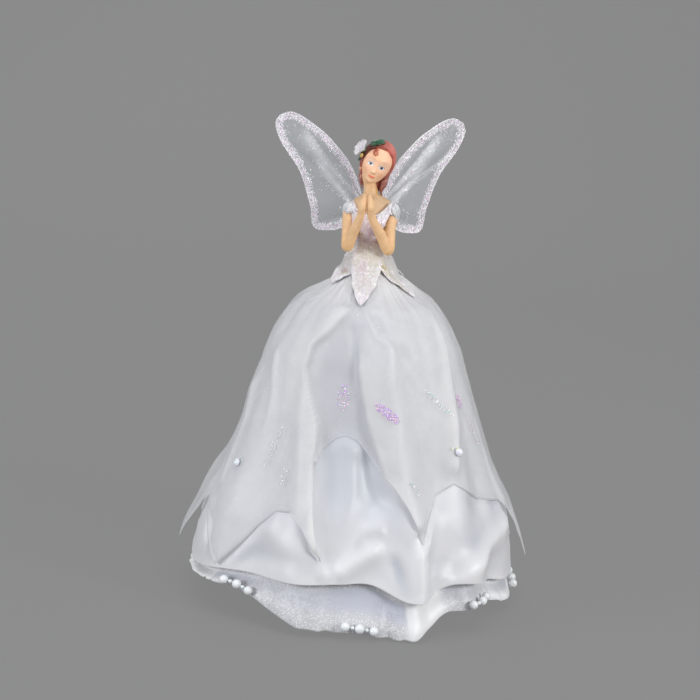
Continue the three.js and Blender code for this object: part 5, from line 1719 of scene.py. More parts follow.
    def organza_lift(self, bearing: Array, t: Array) -> Array:
        """How far the organza stands out from the skirt's form: its folds, gathers and a faint unevenness.

        Args:
            bearing: Bearings in radians.
            t: Shares down the profile.

        Returns:
            The distances.
        """
        heights = self.form.height_at(t) + 0 * bearing
        u, v = self.form.unrolled(np.degrees(bearing) + 0 * t, heights, 0)
        return (self.form.relief(bearing, t, ORGANZA_FOLDS) + self.gathers(bearing, t, 0.2, 3)
                + 0.3 * smooth(t, 0.15, 0.4) * ripples(u, v, (14, 22, 37), 11))

    def cover(self, bearing: Array, t: Array) -> Array:
        """Where the organza covers the satin: the height above its lowest edge within a degree, as a step.

        Args:
            bearing: Bearings in radians.
            t: Shares down the profile.

        Returns:
            1 under the organza and 0 where the satin is bare.
        """
        z = self.form.height_at(t)
        column = bearing + 0 * t
        for _ in range(8):
            column = bearing - self.lean(column, t)
        lowest = np.minimum.reduce([self.edge_z(ORGANZA_EDGE, column + off, True)
                                    for off in (-0.02, -0.01, 0, 0.01, 0.02)])
        return smooth(z, lowest - 4, lowest)

    def satin_sheet(self, bearing: Array, share: Array) -> tuple[Array, Array]:
        """Points of the satin's outer face, above its turned edge. Under the organza its folds stay lower.

        Args:
            bearing: Bearings in radians, a row.
            share: Shares of the way down, a column.

        Returns:
            The points, and how far they stand out.
        """
        edge = self.edge_z(SATIN_EDGE, bearing)
        t = self.form.share_at(edge) * share
        z = self.form.height_at(t)
        u, v = self.form.unrolled(np.degrees(bearing) + 0 * t, z, 0)
        folds = self.form.relief(bearing, t, SATIN_FOLDS)
        folds = np.maximum(folds, folds * smooth(z - edge, 3, 12))
        folds = folds + 0.28 * smooth(t, 0.2, 0.7) * ripples(u, v, (16, 29, 47), 23)
        over = self.organza_lift(bearing, t)
        lift = mix(folds, np.minimum(folds, over) + self.gathers(bearing, t, 0.1, 5), self.cover(bearing, t))
        return self.form.point(bearing, t, self.satin_inset - lift), lift

    def build_satin(self) -> None:
        """Builds the satin skirt, lower edge rolled in, with painted shade and painted sheen on its sharpest
        folds.
        """
        bearing = around(480, -math.pi / 2)
        share = np.linspace(0, 1, 84)[:, None]
        body, lift = self.satin_sheet(bearing, share)
        angle = np.linspace(0, math.pi * 0.86, 9)[1:, None, None]
        inwards, down = polar(bearing, -1.0, 0.0), np.array([0, 0, -1.0])
        roll = body[-1:] + self.roll_radius * (inwards * (1 - np.cos(angle)) + down * np.sin(angle))
        points = np.vstack([body, roll])
        self.clear_hip(points)
        t = self.form.share_at(self.edge_z(SATIN_EDGE, bearing)) * share
        z = self.form.height_at(t)
        # Painted shade: darker where the satin lies low, in the hollow in front, beside the folds in
        # SATIN_DARKS and on the roll.
        deep = np.maximum(smooth(-lift, -0.5, 4.5), 0.9 * self.form.hollow(bearing, t) * smooth(z, 52, 84))
        deep = np.clip(deep + self.form.relief(bearing, t, SATIN_DARKS), 0, 1)
        deep = np.vstack([deep, np.repeat(smooth(-lift[-1:], -0.5, 4.5), len(roll), axis=0)])
        # Painted highlight: the sheen of the folds in SATIN_LIGHTS, and a bright line just above the turned
        # edge.
        light = np.vstack([np.clip(self.form.relief(bearing, t, SATIN_LIGHTS), 0, 0.9),
                           np.zeros(roll.shape[:2])])
        above = np.linalg.norm(points - body[-1:], axis=-1)
        below = np.arange(len(points))[:, None] - len(body)
        hem = 0.85 * (1 - smooth(above, 1.0, 5.0)) * (1 - smooth(below, 1, 4))
        surface = Surface.grid(points, True).turned().painted(deep=deep, hem=np.maximum(hem, light))
        piece = self.shop.place("satin_skirt", "cloth", surface, Look.SATIN, Slot.SATIN,
                                thickness=self.satin_thickness)

    def frill_sheet(self, bearing: Array, drop: Array, inset: Array | float) -> Array:
        """Points of the frill from just under the satin down to the lace edge.

        Args:
            bearing: Bearings in radians.
            drop: Shares of the way down the frill.
            inset: Distances in from the skirt's line.

        Returns:
            The points.
        """
        z = mix(self.edge_z(SATIN_EDGE, bearing) - self.tuck, self.edge_z(FRILL_EDGE, bearing), drop)
        inset = inset - (self.frill_inset - self.frill_skin) * smooth(drop, 0, 0.9)
        p = self.form.point(bearing, self.form.share_at(z), inset)
        p[..., 2] = z
        return p

    def build_frill(self) -> None:
        """Builds the lace frill: ruffled, and scalloped along its lower edge."""
        bearing = around(900, -math.pi / 2)
        rng = np.random.default_rng(8)
        phase = sum(rng.uniform(0.4, 1.1) * np.sin(k * bearing + rng.uniform(0, 6.28)) for k in (3, 5, 9, 14))
        wave = np.sin(27 * bearing + 2.6 * phase) + 0.35 * np.sin(61 * bearing + 3.4 * phase)
        z = mix(self.frill_top, self.edge_z(SATIN_EDGE, bearing) - self.tuck, np.linspace(0, 1, 9)[:-1, None])
        high = self.form.point(bearing, self.form.share_at(z), self.frill_inset)
        high[..., 2] = z
        drop = np.linspace(0, 1, 25)[:, None]
        d = compass(bearing)
        flap = smooth(d, 19.0, 21.0) * (1 - smooth(d, 34, 39))
        flush = np.maximum(flap * 0.7, np.maximum(smooth(d, 60, 78) * (1 - smooth(d, 84, 88)),
                                                 1 - smooth(d, -76, -58) + smooth(d, 262, 268)))
        inset = self.frill_inset - (0.6 * wave + 1.9 * flush) * smooth(drop, 0, 0.9)
        low = self.frill_sheet(bearing, drop, inset)
        low[..., 2] += 0.35 * np.sin(38 * bearing + 1.3 * phase) * smooth(drop, 0.55, 1)
        low[..., 2] -= 1.7 * bell(np.degrees(bearing) + 14, 14) * smooth(drop, 0.2, 1)
        low[..., 2] = np.maximum(low[..., 2], 0.35)
        points = np.vstack([high, low])
        plain = 0.85 + 0.15 * np.sin(5 * bearing + 1.0) - 0.5 * bell(d - 13.5, 4.5) - 0.2 * bell(d + 14, 9)
        lining = np.maximum(flap, 0.9 * np.clip(plain, 0, 1))
        rows = np.linspace(0, 1, len(points))[:, None]
        solid = np.maximum(np.maximum(lining, smooth(rows, 0.97, 1.0) * 0.9), 1 - smooth(rows, 0.3, 0.45))
        shade = smooth(drop, 0.0, 0.1) * (1 - smooth(drop, 0.35, 0.75))
        shade = np.vstack([np.zeros((len(high), 1)), shade])
        shade = shade * np.clip(0.75 + 0.4 * np.sin(4 * bearing + 0.6), 0, 1)
        shade = shade * (1 - flap) * smooth(d, -57, -50)
        # Painted light: the flap and both sides lighter, where the satin's edge casts no shade.
        bright = np.maximum(np.maximum(flap, smooth(d, 48, 54)), 1 - smooth(d, -58, -52)) + 0 * rows
        surface = Surface.grid(points, True).turned().painted(solid=solid, shade=shade, bright=bright)
        piece = self.shop.place("lace_frill", "cloth", surface, Look.LACE, Slot.LACE,
                                thickness=self.frill_thickness)

    def build_net(self) -> None:
        """Builds the stiff net petticoat, in soft flutes."""
        bearing = around(300)
        share = np.linspace(0, 1, 44)[:, None]
        t = mix(self.form.share_at(self.net_top), self.form.share_at(self.net_hem), share)
        flutes = 0.55 * np.sin(26 * bearing + 1.5 * np.sin(3 * bearing)) * smooth(share, 0.15, 1)
        inset = mix(self.net_top_inset, self.net_inset, smooth(share, 0, 0.5)) + 0.5 + flutes
        points = self.form.point(bearing, t, inset)
        self.clear_hip(points)
        piece = self.shop.place("net_petticoat", "cloth", Surface.grid(points, True).turned(), Look.NET,
                                Slot.NET, thickness=self.net_thickness)

    def build_tie(self) -> None:
        """Builds the thread that ties the cloth at the waist: two strands twisted round each other."""
        count, sides, turns, strand_radius, twist_radius = 160, 10, 22, 0.46, 0.42
        angle = around(count)[0]
        strands = []
        for turn in (0.0, math.pi):
            twist = turns * angle + turn
            r = SKIRT_TOP_RADIUS + 1.2 + twist_radius * np.cos(twist)
            centre = polar(angle, r, SKIRT_TOP_Z + CLEARANCE + twist_radius * np.sin(twist))
            tangent = unit(np.roll(centre, -1, axis=0) - np.roll(centre, 1, axis=0))
            side = unit(np.cross(tangent, [0, 0, 1.0]))
            up = np.cross(side, tangent)
            a = around(sides)[..., None]
            ring = centre[:, None] + strand_radius * (side[:, None] * np.cos(a) + up[:, None] * np.sin(a))
            i, last = np.arange(sides), (count - 1) * sides
            j = (i + 1) % sides
            seam = np.stack([last + i, last + j, j, i], axis=-1)
            strands.append(Surface(ring.reshape(-1, 3), [Surface.quads(count, sides, True), seam]).outward())
        surface = Surface.joined(strands).painted(paint=(0.86, 0.86, 0.87))
        self.shop.place("waist_tie", "thread", surface, Look.THREAD, Slot.LACE)

    def surface_at(self, bearing: Array, z: Array) -> tuple[Array, Array]:
        """Points and normals of the organza's outer face.

        Args:
            bearing: Bearings in radians.
            z: Heights.

        Returns:
            The points and the unit normals, outwards.
        """
        def at(b: Array, t: Array) -> Array:
            """Points of the organza.

            Args:
                b: Bearings in radians.
                t: Shares down.

            Returns:
                The points.
            """
            return self.form.point(b, t, -self.organza_lift(b, t))

        t = self.form.share_at(z)
        p = at(bearing, t)
        normal = unit(np.cross(at(bearing + 0.01, t) - p, at(bearing, t + 0.005) - p))
        outward = np.einsum("ij,ij->i", normal, polar(bearing, 1.0, 0.0))
        return p, normal * np.sign(outward)[:, None]

    def build_glitter(self) -> None:
        """Builds the patches of glitter on the organza, and a few stray flakes."""
        parts = []
        rng = np.random.default_rng(42)
        for k, patch in enumerate(PATCHES):
            radius = np.sqrt(rng.uniform(0, 1, patch.count))
            angle = rng.uniform(0, 2 * math.pi, patch.count)
            a, b = patch.length * radius * np.cos(angle), patch.width * radius * np.sin(angle)
            lean = math.radians(patch.lean)
            across, down = b * math.cos(lean) + a * math.sin(lean), a * math.cos(lean) - b * math.sin(lean)
            z = patch.z - down * 0.92
            r = np.interp(self.form.share_at(z), self.form.shares, self.form.radii)
            p, n = self.surface_at(math.radians(patch.bearing) + across / r, z)
            parts.append(flakes(p, n, self.patch_flake, 100 + k, patch.tints, 0.05))
        bearing = rng.uniform(0, 2 * math.pi, self.stray_count)
        p, n = self.surface_at(bearing, rng.uniform(85, 185, self.stray_count))
        parts.append(flakes(p, n, self.stray_flake, 99))
        self.shop.place("skirt", "glitter", Surface.joined(parts), Look.FLAKES, Slot.ORGANZA, True)

    def build(self) -> None:
        """Builds every layer, from the inside out."""
        self.build_net()
        self.build_frill()
        self.build_satin()
        self.build_organza()
        self.build_tie()
        self.build_glitter()


# Beads and gems


@dataclass
class Trimmings:
    """Pearl beads sewn along the lace, and faceted gems glued on the organza."""

    shop: Workshop
    skirts: Skirts
    bead_radius: float = 2.7
    seed_radius: float = 1.15
    pitch: float = 8.4
    thread: float = 0.35
    bearings: tuple[float, ...] = (-43, 4, 50, 95, 140, 188, 222, 252)
    gems: tuple[tuple[float, float], ...] = ((-57, 0.428), (47.5, 0.503), (133, 0.5), (205, 0.47))
    gem_radius: float = 2.5
    gem_thickness: float = 1.3

    def seat(self, bearing: Array) -> tuple[Array, Array]:
        """Where beads sit along the lace edge.

        Args:
            bearing: Bearings in radians.

        Returns:
            The beads' middles and the outward directions.
        """
        centre = self.skirts.frill_sheet(bearing, np.ones_like(bearing), self.skirts.frill_inset)
        outward = unit(centre * np.array([1, 1, 0]))
        centre = centre + outward * self.bead_radius * 0.93
        centre[:, 2] += self.bead_radius * 1.35
        return centre, outward

    def bead(self, centre: Array, radius: float, outward: Array) -> Surface:
        """A pearl with a small dimple at each end of its hole.

        Args:
            centre: Its middle.
            radius: Its radius.
            outward: Direction away from the skirt.

        Returns:
            The surface, with its poles along the string.
        """
        run = unit(np.cross([0, 0, 1.0], outward))
        basis = np.stack([outward, np.cross(run, outward), run], axis=-1)
        pearl = ellipsoid((0, 0, 0), (radius,) * 3, 26, 18,
                          lambda d: -0.10 * bell(1 - np.abs(d[..., 2]), 0.03))
        return pearl.moved(basis, centre)

    def build_beads(self) -> None:
        """Builds each string: three pearls, with small beads between them on the thread."""
        step = self.pitch / HEM_RADIUS
        for k, degrees in enumerate(self.bearings, 1):
            node, middle = f"bead_string_{k}", math.radians(degrees)
            centres, outs = self.seat(middle + step * np.array([-1, 0, 1]))
            pearls = [self.bead(c, self.bead_radius * share, o)
                      for c, o, share in zip(centres, outs, (0.97, 1.0, 0.95))]
            self.shop.place(node, "pearls", Surface.joined(pearls), Look.PEARL, Slot.BEAD)
            centres, outs = self.seat(middle + step * np.array([-0.5, 0.5]))
            seeds = [self.bead(c, self.seed_radius, o) for c, o in zip(centres, outs)]
            self.shop.place(node, "seeds", Surface.joined(seeds), Look.SEED_BEAD, Slot.BEAD, True)
            run, _ = self.seat(middle + step * np.linspace(-1.28, 1.28, 24))
            line = sweep(run, np.full(24, self.thread), 8).painted(paint=(0.88, 0.88, 0.9))
            self.shop.place(node, "thread", line, Look.THREAD, Slot.BEAD, True)

    def build_gems(self) -> None:
        """Builds each gem: a flat table, a crown of eight facets and a short girdle."""
        for k, (degrees, share) in enumerate(self.gems, 1):
            low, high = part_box(f"gem_{k}")
            middle = (np.array(low) + np.array(high)) / 2 / MM
            bearing = np.array([math.radians(degrees)])
            _, normal = self.skirts.surface_at(bearing, np.array([share * SKIRT_TOP_Z]))
            rings = []
            for radius, height, turn in ((0.9, -0.8, 0), (1.0, -0.45, 0), (0.66, 0.35, 0.5), (0.4, 0.62, 0)):
                a = (np.arange(8) + turn) * math.pi / 4
                rings.append(np.stack([radius * np.cos(a), radius * np.sin(a), 0 * a + height], axis=-1))
            gem = Surface.tube(np.array(rings) * [self.gem_radius, self.gem_radius, self.gem_thickness])
            gem.moved(turn_to(normal[0]), middle)
            obj = self.shop.place(f"gem_{k}", "stone", gem, Look.GEM, Slot.GEM)
            obj.data.polygons.foreach_set("use_smooth", np.zeros(len(obj.data.polygons), bool))

    def build(self) -> None:
        """Builds the beads and the gems."""
        self.build_beads()
        self.build_gems()


# Half doll

WAIST_Z = 205.0
SHOULDER_Z = 234.0
RISE = SHOULDER_Z - WAIST_Z
SHOULDER_X = 11.4
SHOULDER_Y = 5.8
HIP_BOTTOM = 189.6
# Share of the way from waist to shoulders, then half width, half depth and shift forward there, as shares
# of SHOULDER_X, SHOULDER_Y and SHOULDER_Y.
TORSO = (
    (-0.53, 0.6, 1.18, 0), (-0.2, 0.6, 1.18, 0), (-0.08, 0.5, 0.95, 0), (0, 0.44, 0.84, 0),
    (0.21, 0.52, 0.93, 0.02), (0.46, 0.7, 1.15, 0.1), (0.64, 0.78, 1.27, 0.14), (0.82, 0.86, 1.17, 0.05),
    (0.93, 0.96, 0.97, -0.05), (1, 0.94, 0.8, -0.12), (1.08, 0.64, 0.72, -0.15), (1.15, 0.4, 0.68, -0.15),
)
SKIN: Colour = (0.83, 0.53, 0.29)
SKIN_PALE: Colour = (0.82, 0.51, 0.255)
# Painted shadow on the right of the neck, under the jaw and the lock.
NECK_SHADOW: Colour = (0.62, 0.34, 0.08)
SKIN_CHEST: Colour = (0.62, 0.42, 0.25)
SKIN_FACE: Colour = (1.0, 0.595, 0.395)


def coats(shape: tuple[int, ...], ground: Colour, *layers: tuple[Colour, Array]) -> Array:
    """Paints coats of colour over one another.

    Args:
        shape: Shape of the points, with x, y and z in the last axis.
        ground: The colour under the coats.
        layers: The colour of each coat and how strongly it covers the points.

    Returns:
        A colour for each point.
    """
    paint = np.broadcast_to(np.asarray(ground), shape)
    for colour, share in layers:
        paint = paint + (np.asarray(colour) - paint) * np.clip(share, 0, 1)[..., None]
    return paint


class TorsoForm:
    """The shape of the torso, which the bodice and the collar follow."""

    def point(self, angle: Array, share: Array, grow: float) -> Array:
        """Points round the torso: ellipses between the waist and the shoulders, with the bust in front.

        Args:
            angle: Bearings in radians.
            share: Shares of the way from waist to shoulders.
            grow: Distance outside the torso.

        Returns:
            The points.
        """
        width, depth, forward = (along(TORSO, column, share) for column in (1, 2, 3))
        turned = np.mod(angle + math.pi, 2 * math.pi) - math.pi
        bust = 0.9 * bell(share - 0.66, 0.17) * (bell(turned - 0.55, 0.42) + bell(turned + 0.55, 0.42))
        rx, ry = SHOULDER_X * width + grow, SHOULDER_Y * depth + grow
        x = (rx + 0.3 * bust) * np.sin(angle)
        y = -(ry + bust) * np.cos(angle) - SHOULDER_Y * forward
        z = WAIST_Z + share * RISE + grow * smooth(share, 0.8, 1) + 0 * x
        return np.stack([x, y, z], axis=-1)


HEAD_X, HEAD_Y, HEAD_Z = 1.75, -1.5, 256.6
HEAD_W, HEAD_D, HEAD_H = 8.3, 9.2, 11.3
HEAD_ROLL = math.radians(21)
# Height, half width, half depth and shift back, as shares of the head's half sizes.
HEAD = (
    (-1, 0.16, 0.13, -0.69), (-0.92, 0.42, 0.38, -0.5), (-0.74, 0.66, 0.62, -0.3), (-0.45, 0.87, 0.84, -0.12),
    (-0.1, 0.99, 0.97, 0), (0.26, 1, 1, 0.03), (0.6, 0.81, 0.84, 0.06), (0.85, 0.48, 0.52, 0.09),
    (0.97, 0.16, 0.18, 0.09),
)
HAIR_THICKNESS = 1.7


def on_head(x: float, y: float, z: float) -> Array:
    """A point given in shares of the head's half sizes, before the head is tilted.

    Args:
        x: Share sideways.
        y: Share backwards.
        z: Share upwards.

    Returns:
        The point.
    """
    return np.array([x * HEAD_W, y * HEAD_D, z * HEAD_H])


CAP_CENTRE = on_head(0, 0.1, 0.08)
CAP_RADII = np.array([HEAD_W + HAIR_THICKNESS, HEAD_D + HAIR_THICKNESS, HEAD_H + HAIR_THICKNESS / 2])


def tilted(surface: Surface) -> Surface:
    """Tilts a surface with the head and moves it to the head's place.

    Args:
        surface: A surface round the head's middle.

    Returns:
        The surface.
    """
    c, s = math.cos(HEAD_ROLL), math.sin(HEAD_ROLL)
    return surface.moved(np.array([[c, 0, s], [0, 1, 0], [-s, 0, c]]), (HEAD_X, HEAD_Y, HEAD_Z))


@dataclass(frozen=True)
class Face:
    """Places and sizes of the face's features, from the middle of the head: sideways and upwards."""

    eye_x: float = 3.35
    eye_z: float = -1.15
    eye_half_width: float = 1.75
    eye_half_height: float = 0.85
    middle: float = -0.2
    brow_z: float = 2.7
    nose_z: float = -4.9
    mouth_z: float = -7.7
    mouth_half: float = 2.1
    blush_x: float = 4.7
    blush_z: float = -5.4


@dataclass
class Head:
    """The painted head: skull, face, ear, hair, locks, curl, flower, leaves and bud."""

    shop: Workshop
    face: Face = Face()

    def skull_point(self, angle: Array, height: Array) -> Array:
        """Points of the bare skull: ellipses at heights given in shares of its half height.

        Args:
            angle: Bearings in radians.
            height: Shares of the half height.

        Returns:
            The points.
        """
        width, depth, back = (along(HEAD, column, height) for column in (1, 2, 3))
        return np.stack([width * HEAD_W * np.sin(angle), (back - depth * np.cos(angle)) * HEAD_D,
                         height * HEAD_H + 0 * angle], axis=-1)

    def face_relief(self, x: Array, z: Array) -> Array:
        """How far the face stands forward of the skull, as a sum of bell curves for its features.

        Args:
            x: Sideways from the middle.
            z: Upwards from the middle.

        Returns:
            Distances forward.
        """
        f = self.face
        x = x - f.middle
        side = np.abs(x) - f.eye_x
        total = -0.75 * bell(side, 2.1) * bell(z - f.eye_z, 1.5)
        total += 0.42 * bell(side / 1.7, 1.0) * bell((z - f.eye_z) / 0.95, 1.0)
        total += 0.30 * bell(side, 2.6) * bell(z - f.brow_z, 1.0)
        bridge = smooth(z, f.nose_z - 0.9, f.nose_z + 0.2) * (1 - smooth(z, f.nose_z + 1.0, f.brow_z))
        total += 0.6 * bridge * bell(x, 1.1) * mix(1.0, 0.35, smooth(z, f.nose_z, 0.5))
        total += 0.75 * bell(x, 0.95) * bell(z - f.nose_z, 0.95)
        total += 0.28 * bell(np.abs(x) - 1.0, 0.5) * bell(z - f.nose_z + 0.25, 0.55)
        lip = bell(x, 2.2)
        smile = 0.13 * np.square(x)
        total += 0.26 * lip * bell(z - f.mouth_z - 0.3 - smile, 0.34)
        total += 0.34 * lip * bell(z - f.mouth_z + 0.36 - smile, 0.42)
        total -= 0.24 * bell(x, 2.0) * bell(z - f.mouth_z - smile, 0.16)
        total += 0.3 * bell(x, 1.8) * bell(z - f.mouth_z + 2.9, 1.1)
        total += 0.28 * bell(np.abs(x) - f.blush_x, 2.0) * bell(z - f.blush_z, 2.0)
        return total

    def face_paint(self, x: Array, z: Array, front: Array) -> Array:
        """Colours of the head: skin with blush, painted eyes, brows and lips, and painted light and shade.

        Args:
            x: Sideways from the middle.
            z: Upwards from the middle.
            front: 1 on the face, 0 behind.

        Returns:
            A colour for each point.
        """
        f = self.face
        x = x - f.middle
        away = np.abs(x)
        layers = [
            (SKIN, 0.6 * smooth(-z, 0, 8)),
            # Painted shade on the forehead, under the hair.
            ((0.78, 0.50, 0.26), 0.45 * bell(x + 1.5, 4.0) * bell(z - 3.4, 2.2)),
            ((0.84, 0.36, 0.20), 0.5 * bell(away - f.blush_x, 1.9) * bell(z - f.blush_z, 1.7)),
            # Painted highlight on the tip of the nose, then painted shade in the nostrils.
            ((0.95, 0.78, 0.52), 0.6 * bell(x, 0.5) * bell(z - f.nose_z - 0.3, 0.8)),
            ((0.84, 0.42, 0.22), 0.5 * bell(away - 0.75, 0.4) * bell(z - f.nose_z + 0.75, 0.35)),
        ]
        for side in (-1, 1):
            ex, ez = x - side * f.eye_x, z - f.eye_z
            lid = np.square(ex / f.eye_half_width) + np.square(ez / f.eye_half_height)
            iris, glint = np.hypot(ex + 0.05, ez - 0.16), np.hypot(ex + 0.3, ez - 0.42)
            grey = (0.08, 0.14, 0.20) if side < 0 else (0.01, 0.015, 0.07)
            inside = front * (1 - smooth(lid, 1.0, 1.25))
            wide = f.eye_half_width * 1.08
            arch = f.eye_half_height * np.sqrt(np.clip(1 - np.square(ex / wide), 0, 1))
            curve = f.brow_z - 0.10 * np.square(ex - side * 0.3) + 0.05 * side * ex
            layers += [
                ((0.90, 0.72, 0.60), 0.7 * front * bell(ex, 1.9) * bell(ez - 1.5, 0.75)),
                ((0.86, 0.88, 0.93), front * (1 - smooth(lid, 0.85, 1.15))),
                (grey, inside * (1 - smooth(iris, 0.76, 0.92))),
                ((0.01, 0.01, 0.02), inside * (1 - smooth(iris, 0.36, 0.5))),
                ((0.85, 0.87, 0.95), inside * (1 - smooth(glint, 0.08, 0.16))),
                ((0.12, 0.07, 0.06), 0.85 * front * bell(ez - arch, 0.17) * (np.abs(ex) < wide)),
                ((0.55, 0.36, 0.30), 0.35 * front * bell(ez + arch, 0.12) * (np.abs(ex) < f.eye_half_width)),
                ((0.50, 0.30, 0.18), 0.42 * front * bell(z - curve, 0.28) * bell(ex - side * 0.2, 1.9)),
            ]
        rise = z - f.mouth_z - 0.13 * np.square(x)
        shape = 1 - smooth(away, f.mouth_half * 0.55, f.mouth_half * 1.1)
        lips = (bell(rise - 0.22, 0.26) + bell(rise + 0.28, 0.34)) * shape
        gap = bell(rise, 0.12) * (1 - smooth(away, f.mouth_half * 0.7, f.mouth_half * 1.15))
        layers += [((0.84, 0.16, 0.10), 0.9 * front * np.minimum(lips, 1)),
                   ((0.50, 0.09, 0.06), 0.6 * front * gap)]
        return coats(x.shape + (3,), SKIN_FACE, *layers)

    def build_head(self) -> None:
        """Builds the skull with its face and the ear that the hair leaves bare."""
        sides, rows = 300, 250
        angle = around(sides, -math.pi)
        height = (-0.995 + 1.96 * np.linspace(0, 1, rows))[:, None]
        p = self.skull_point(angle, height)
        front = smooth(np.cos(angle) + 0 * height, 0.05, 0.45)
        p[..., 1] -= self.face_relief(p[..., 0], p[..., 2]) * front
        skull = Surface.tube(p).painted(paint=self.face_paint(p[..., 0], p[..., 2], front))

        def relief(d: Array) -> Array:
            """The ear's raised rim and its hollow.

            Args:
                d: Directions from the ear's middle.

            Returns:
                Offsets as shares of the radius.
            """
            rim = bell(np.hypot(d[..., 1] + 0.15, d[..., 2]) - 0.82, 0.16)
            return 0.16 * rim - 0.22 * bell(np.hypot(d[..., 1] + 0.2, d[..., 2]), 0.45) * (d[..., 0] < 0)

        ear = ellipsoid(on_head(-0.86, 0.02, -0.5), on_head(0.13, 0.17, 0.2), 30, 22, relief)
        surface = tilted(Surface.joined([skull, ear.painted(paint=(0.86, 0.42, 0.27))]))
        self.shop.place("head", "resin", surface, Look.SKIN, Slot.SKIN)

    def hair_colour(self, p: Array, groove: Array) -> Array:
        """Hair colours with painted light: reddish pink where lit, dark brown-red at the left, dark in
        grooves.

        Args:
            p: Points round the head's middle.
            groove: From -1 in a groove to 1 on a strand.

        Returns:
            A colour for each point.
        """
        x, z = p[..., 0], p[..., 2]
        return coats(p.shape, (0.40, 0.10, 0.07),
                     # Painted light: reddish pink on the lit upper right, dark brown-red on the shaded left.
                     ((0.66, 0.16, 0.13), smooth(x, -1, 4) * smooth(z, -2, 7)),
                     ((0.13, 0.035, 0.02), 0.9 * smooth(-x, 1.0, 5.5) * smooth(z, -6, 3)),
                     # Painted shade in the grooves, then painted highlights along the strands.
                     ((0.12, 0.025, 0.015), 0.7 * smooth(-groove, -0.15, 0.9)),
                     ((0.88, 0.42, 0.32), 0.55 * smooth(groove, 0.3, 1.0) * smooth(x, -3, 2)))

    def build_cap(self) -> Surface:
        """The hair on the head: strands swept back from the hairline, dipping into the skull round the face.

        Returns:
            The surface.
        """
        d = directions(340, 241)
        p = CAP_CENTRE + d * CAP_RADII
        opening = np.linalg.norm((p - on_head(0.12, -1.6, -0.35)) / on_head(1.8, 1.62, 1.44), axis=-1)
        below = np.linalg.norm((p - on_head(0, -0.75, -1.15)) / on_head(0.9, 1.1, 0.75), axis=-1)
        strand_at = np.arctan2(d[..., 0], d[..., 2])
        back = smooth(d[..., 1], -0.9, 0.9)
        wave = 62 * (opening - 1) + 3.4 * strand_at + 1.3 * np.sin(2.3 * strand_at + 0.6)
        groove = 0.65 * np.sin(wave) + 0.35 * np.sin(2.3 * wave + 2.1 * np.sin(1.7 * strand_at))
        edge = opening + 0.018 * np.sin(9 * strand_at + 1.0) + 0.010 * groove
        cover = smooth(edge, 1.005, 1.07) * smooth(below, 0.98, 1.06)
        swell = 0.04 * bell(strand_at - 0.75, 0.5) * (1 - back)
        scale = mix(0.80, 0.985 + 0.022 * groove + swell, cover)
        p = CAP_CENTRE + (d * CAP_RADII) * scale[..., None]
        return tilted(Surface.tube(p).painted(paint=self.hair_colour(p, groove)))

    def strands(self, line: Array, radius: Array, count: int, twist: float, seed: int) -> list[Surface]:
        """A lock of hair: strands twisted round a line.

        Args:
            line: Points of the lock's line.
            radius: Radius of the whole lock at each point.
            count: How many strands.
            twist: Turns from end to end.
            seed: Seed of the strands' tints.

        Returns:
            The strands.
        """
        rng = np.random.default_rng(seed)
        first, second = square_to(line)
        share, sides = np.linspace(0, 1, len(line)), 14
        made = []
        for k in range(count):
            angle = 2 * math.pi * (k / count + twist * share)
            off = first * np.cos(angle)[:, None] + second * np.sin(angle)[:, None]
            thin = 1 - 0.35 * smooth(share, 0.8, 1.0)
            tube = sweep(line + off * (radius * 0.55)[:, None], radius * 0.56 * thin, sides,
                         lambda s, a: 1 + 0.12 * np.cos(5 * a + 9 * s))
            colour = mix(np.array([0.30, 0.09, 0.065]), np.array([0.62, 0.27, 0.24]), rng.uniform(0, 1))
            dark = np.concatenate([np.repeat(0.5 + 0.5 * np.cos(angle * 2), sides), [0, 0]])
            paint = coats(tube.points.shape, colour, ((0.14, 0.03, 0.02), 0.45 * dark))
            made.append(tube.painted(paint=paint))
        return made

    def build_hair(self) -> None:
        """Builds the cap of hair, the fall behind the neck and the two locks beside it."""
        centre = np.array([HEAD_X, HEAD_Y, HEAD_Z])

        def fall_relief(d: Array) -> Array:
            """Strands down the fall.

            Args:
                d: Directions from the fall's middle.

            Returns:
                Offsets as shares of the radius.
            """
            wave = 20 * np.arctan2(d[..., 0], d[..., 1]) + 2.5 * np.sin(3 * d[..., 2])
            return 0.05 * np.sin(wave) + 0.02 * np.sin(2.3 * wave)

        fall = ellipsoid(on_head(-0.15, 0.5, -0.75) + centre, on_head(0.86, 0.42, 0.8), 160, 60, fall_relief)
        local = fall.points - centre
        wave = 20 * np.arctan2(local[:, 0] + 1.2, local[:, 1] - 4.6)
        fall.painted(paint=self.hair_colour(local - [3, 0, 0], 0.7 * np.sin(wave)))
        left = [(-0.96, 0.3, -0.2), (-1.06, 0.25, -0.6), (-1.0, 0.2, -1.05), (-0.96, 0.25, -1.4)]
        right = [(0.62, 0.25, -0.45), (0.64, 0.1, -0.85), (0.46, 0.05, -1.2), (0.42, 0.1, -1.68)]
        locks, share = [], np.linspace(0, 1, 60)
        for shares, radius, twist, seed in ((left, 1.15, 1.1, 1), (right, 1.75, 1.9, 2)):
            line = centripetal(np.array([on_head(*s) for s in shares]) + centre, len(share))
            taper = radius * (1 - 0.7 * smooth(share, 0.45, 1.0))
            curl = share * 2 * math.pi * twist * 1.1
            line = line + np.stack([0.5 * np.sin(curl), 0.4 * np.cos(curl), 0 * curl], axis=-1) * radius / 2
            locks += self.strands(line, taper, 4, twist, seed)
        surface = Surface.joined([self.build_cap(), fall] + locks)
        self.shop.place("hair", "resin", surface, Look.HAIR, Slot.HAIR)

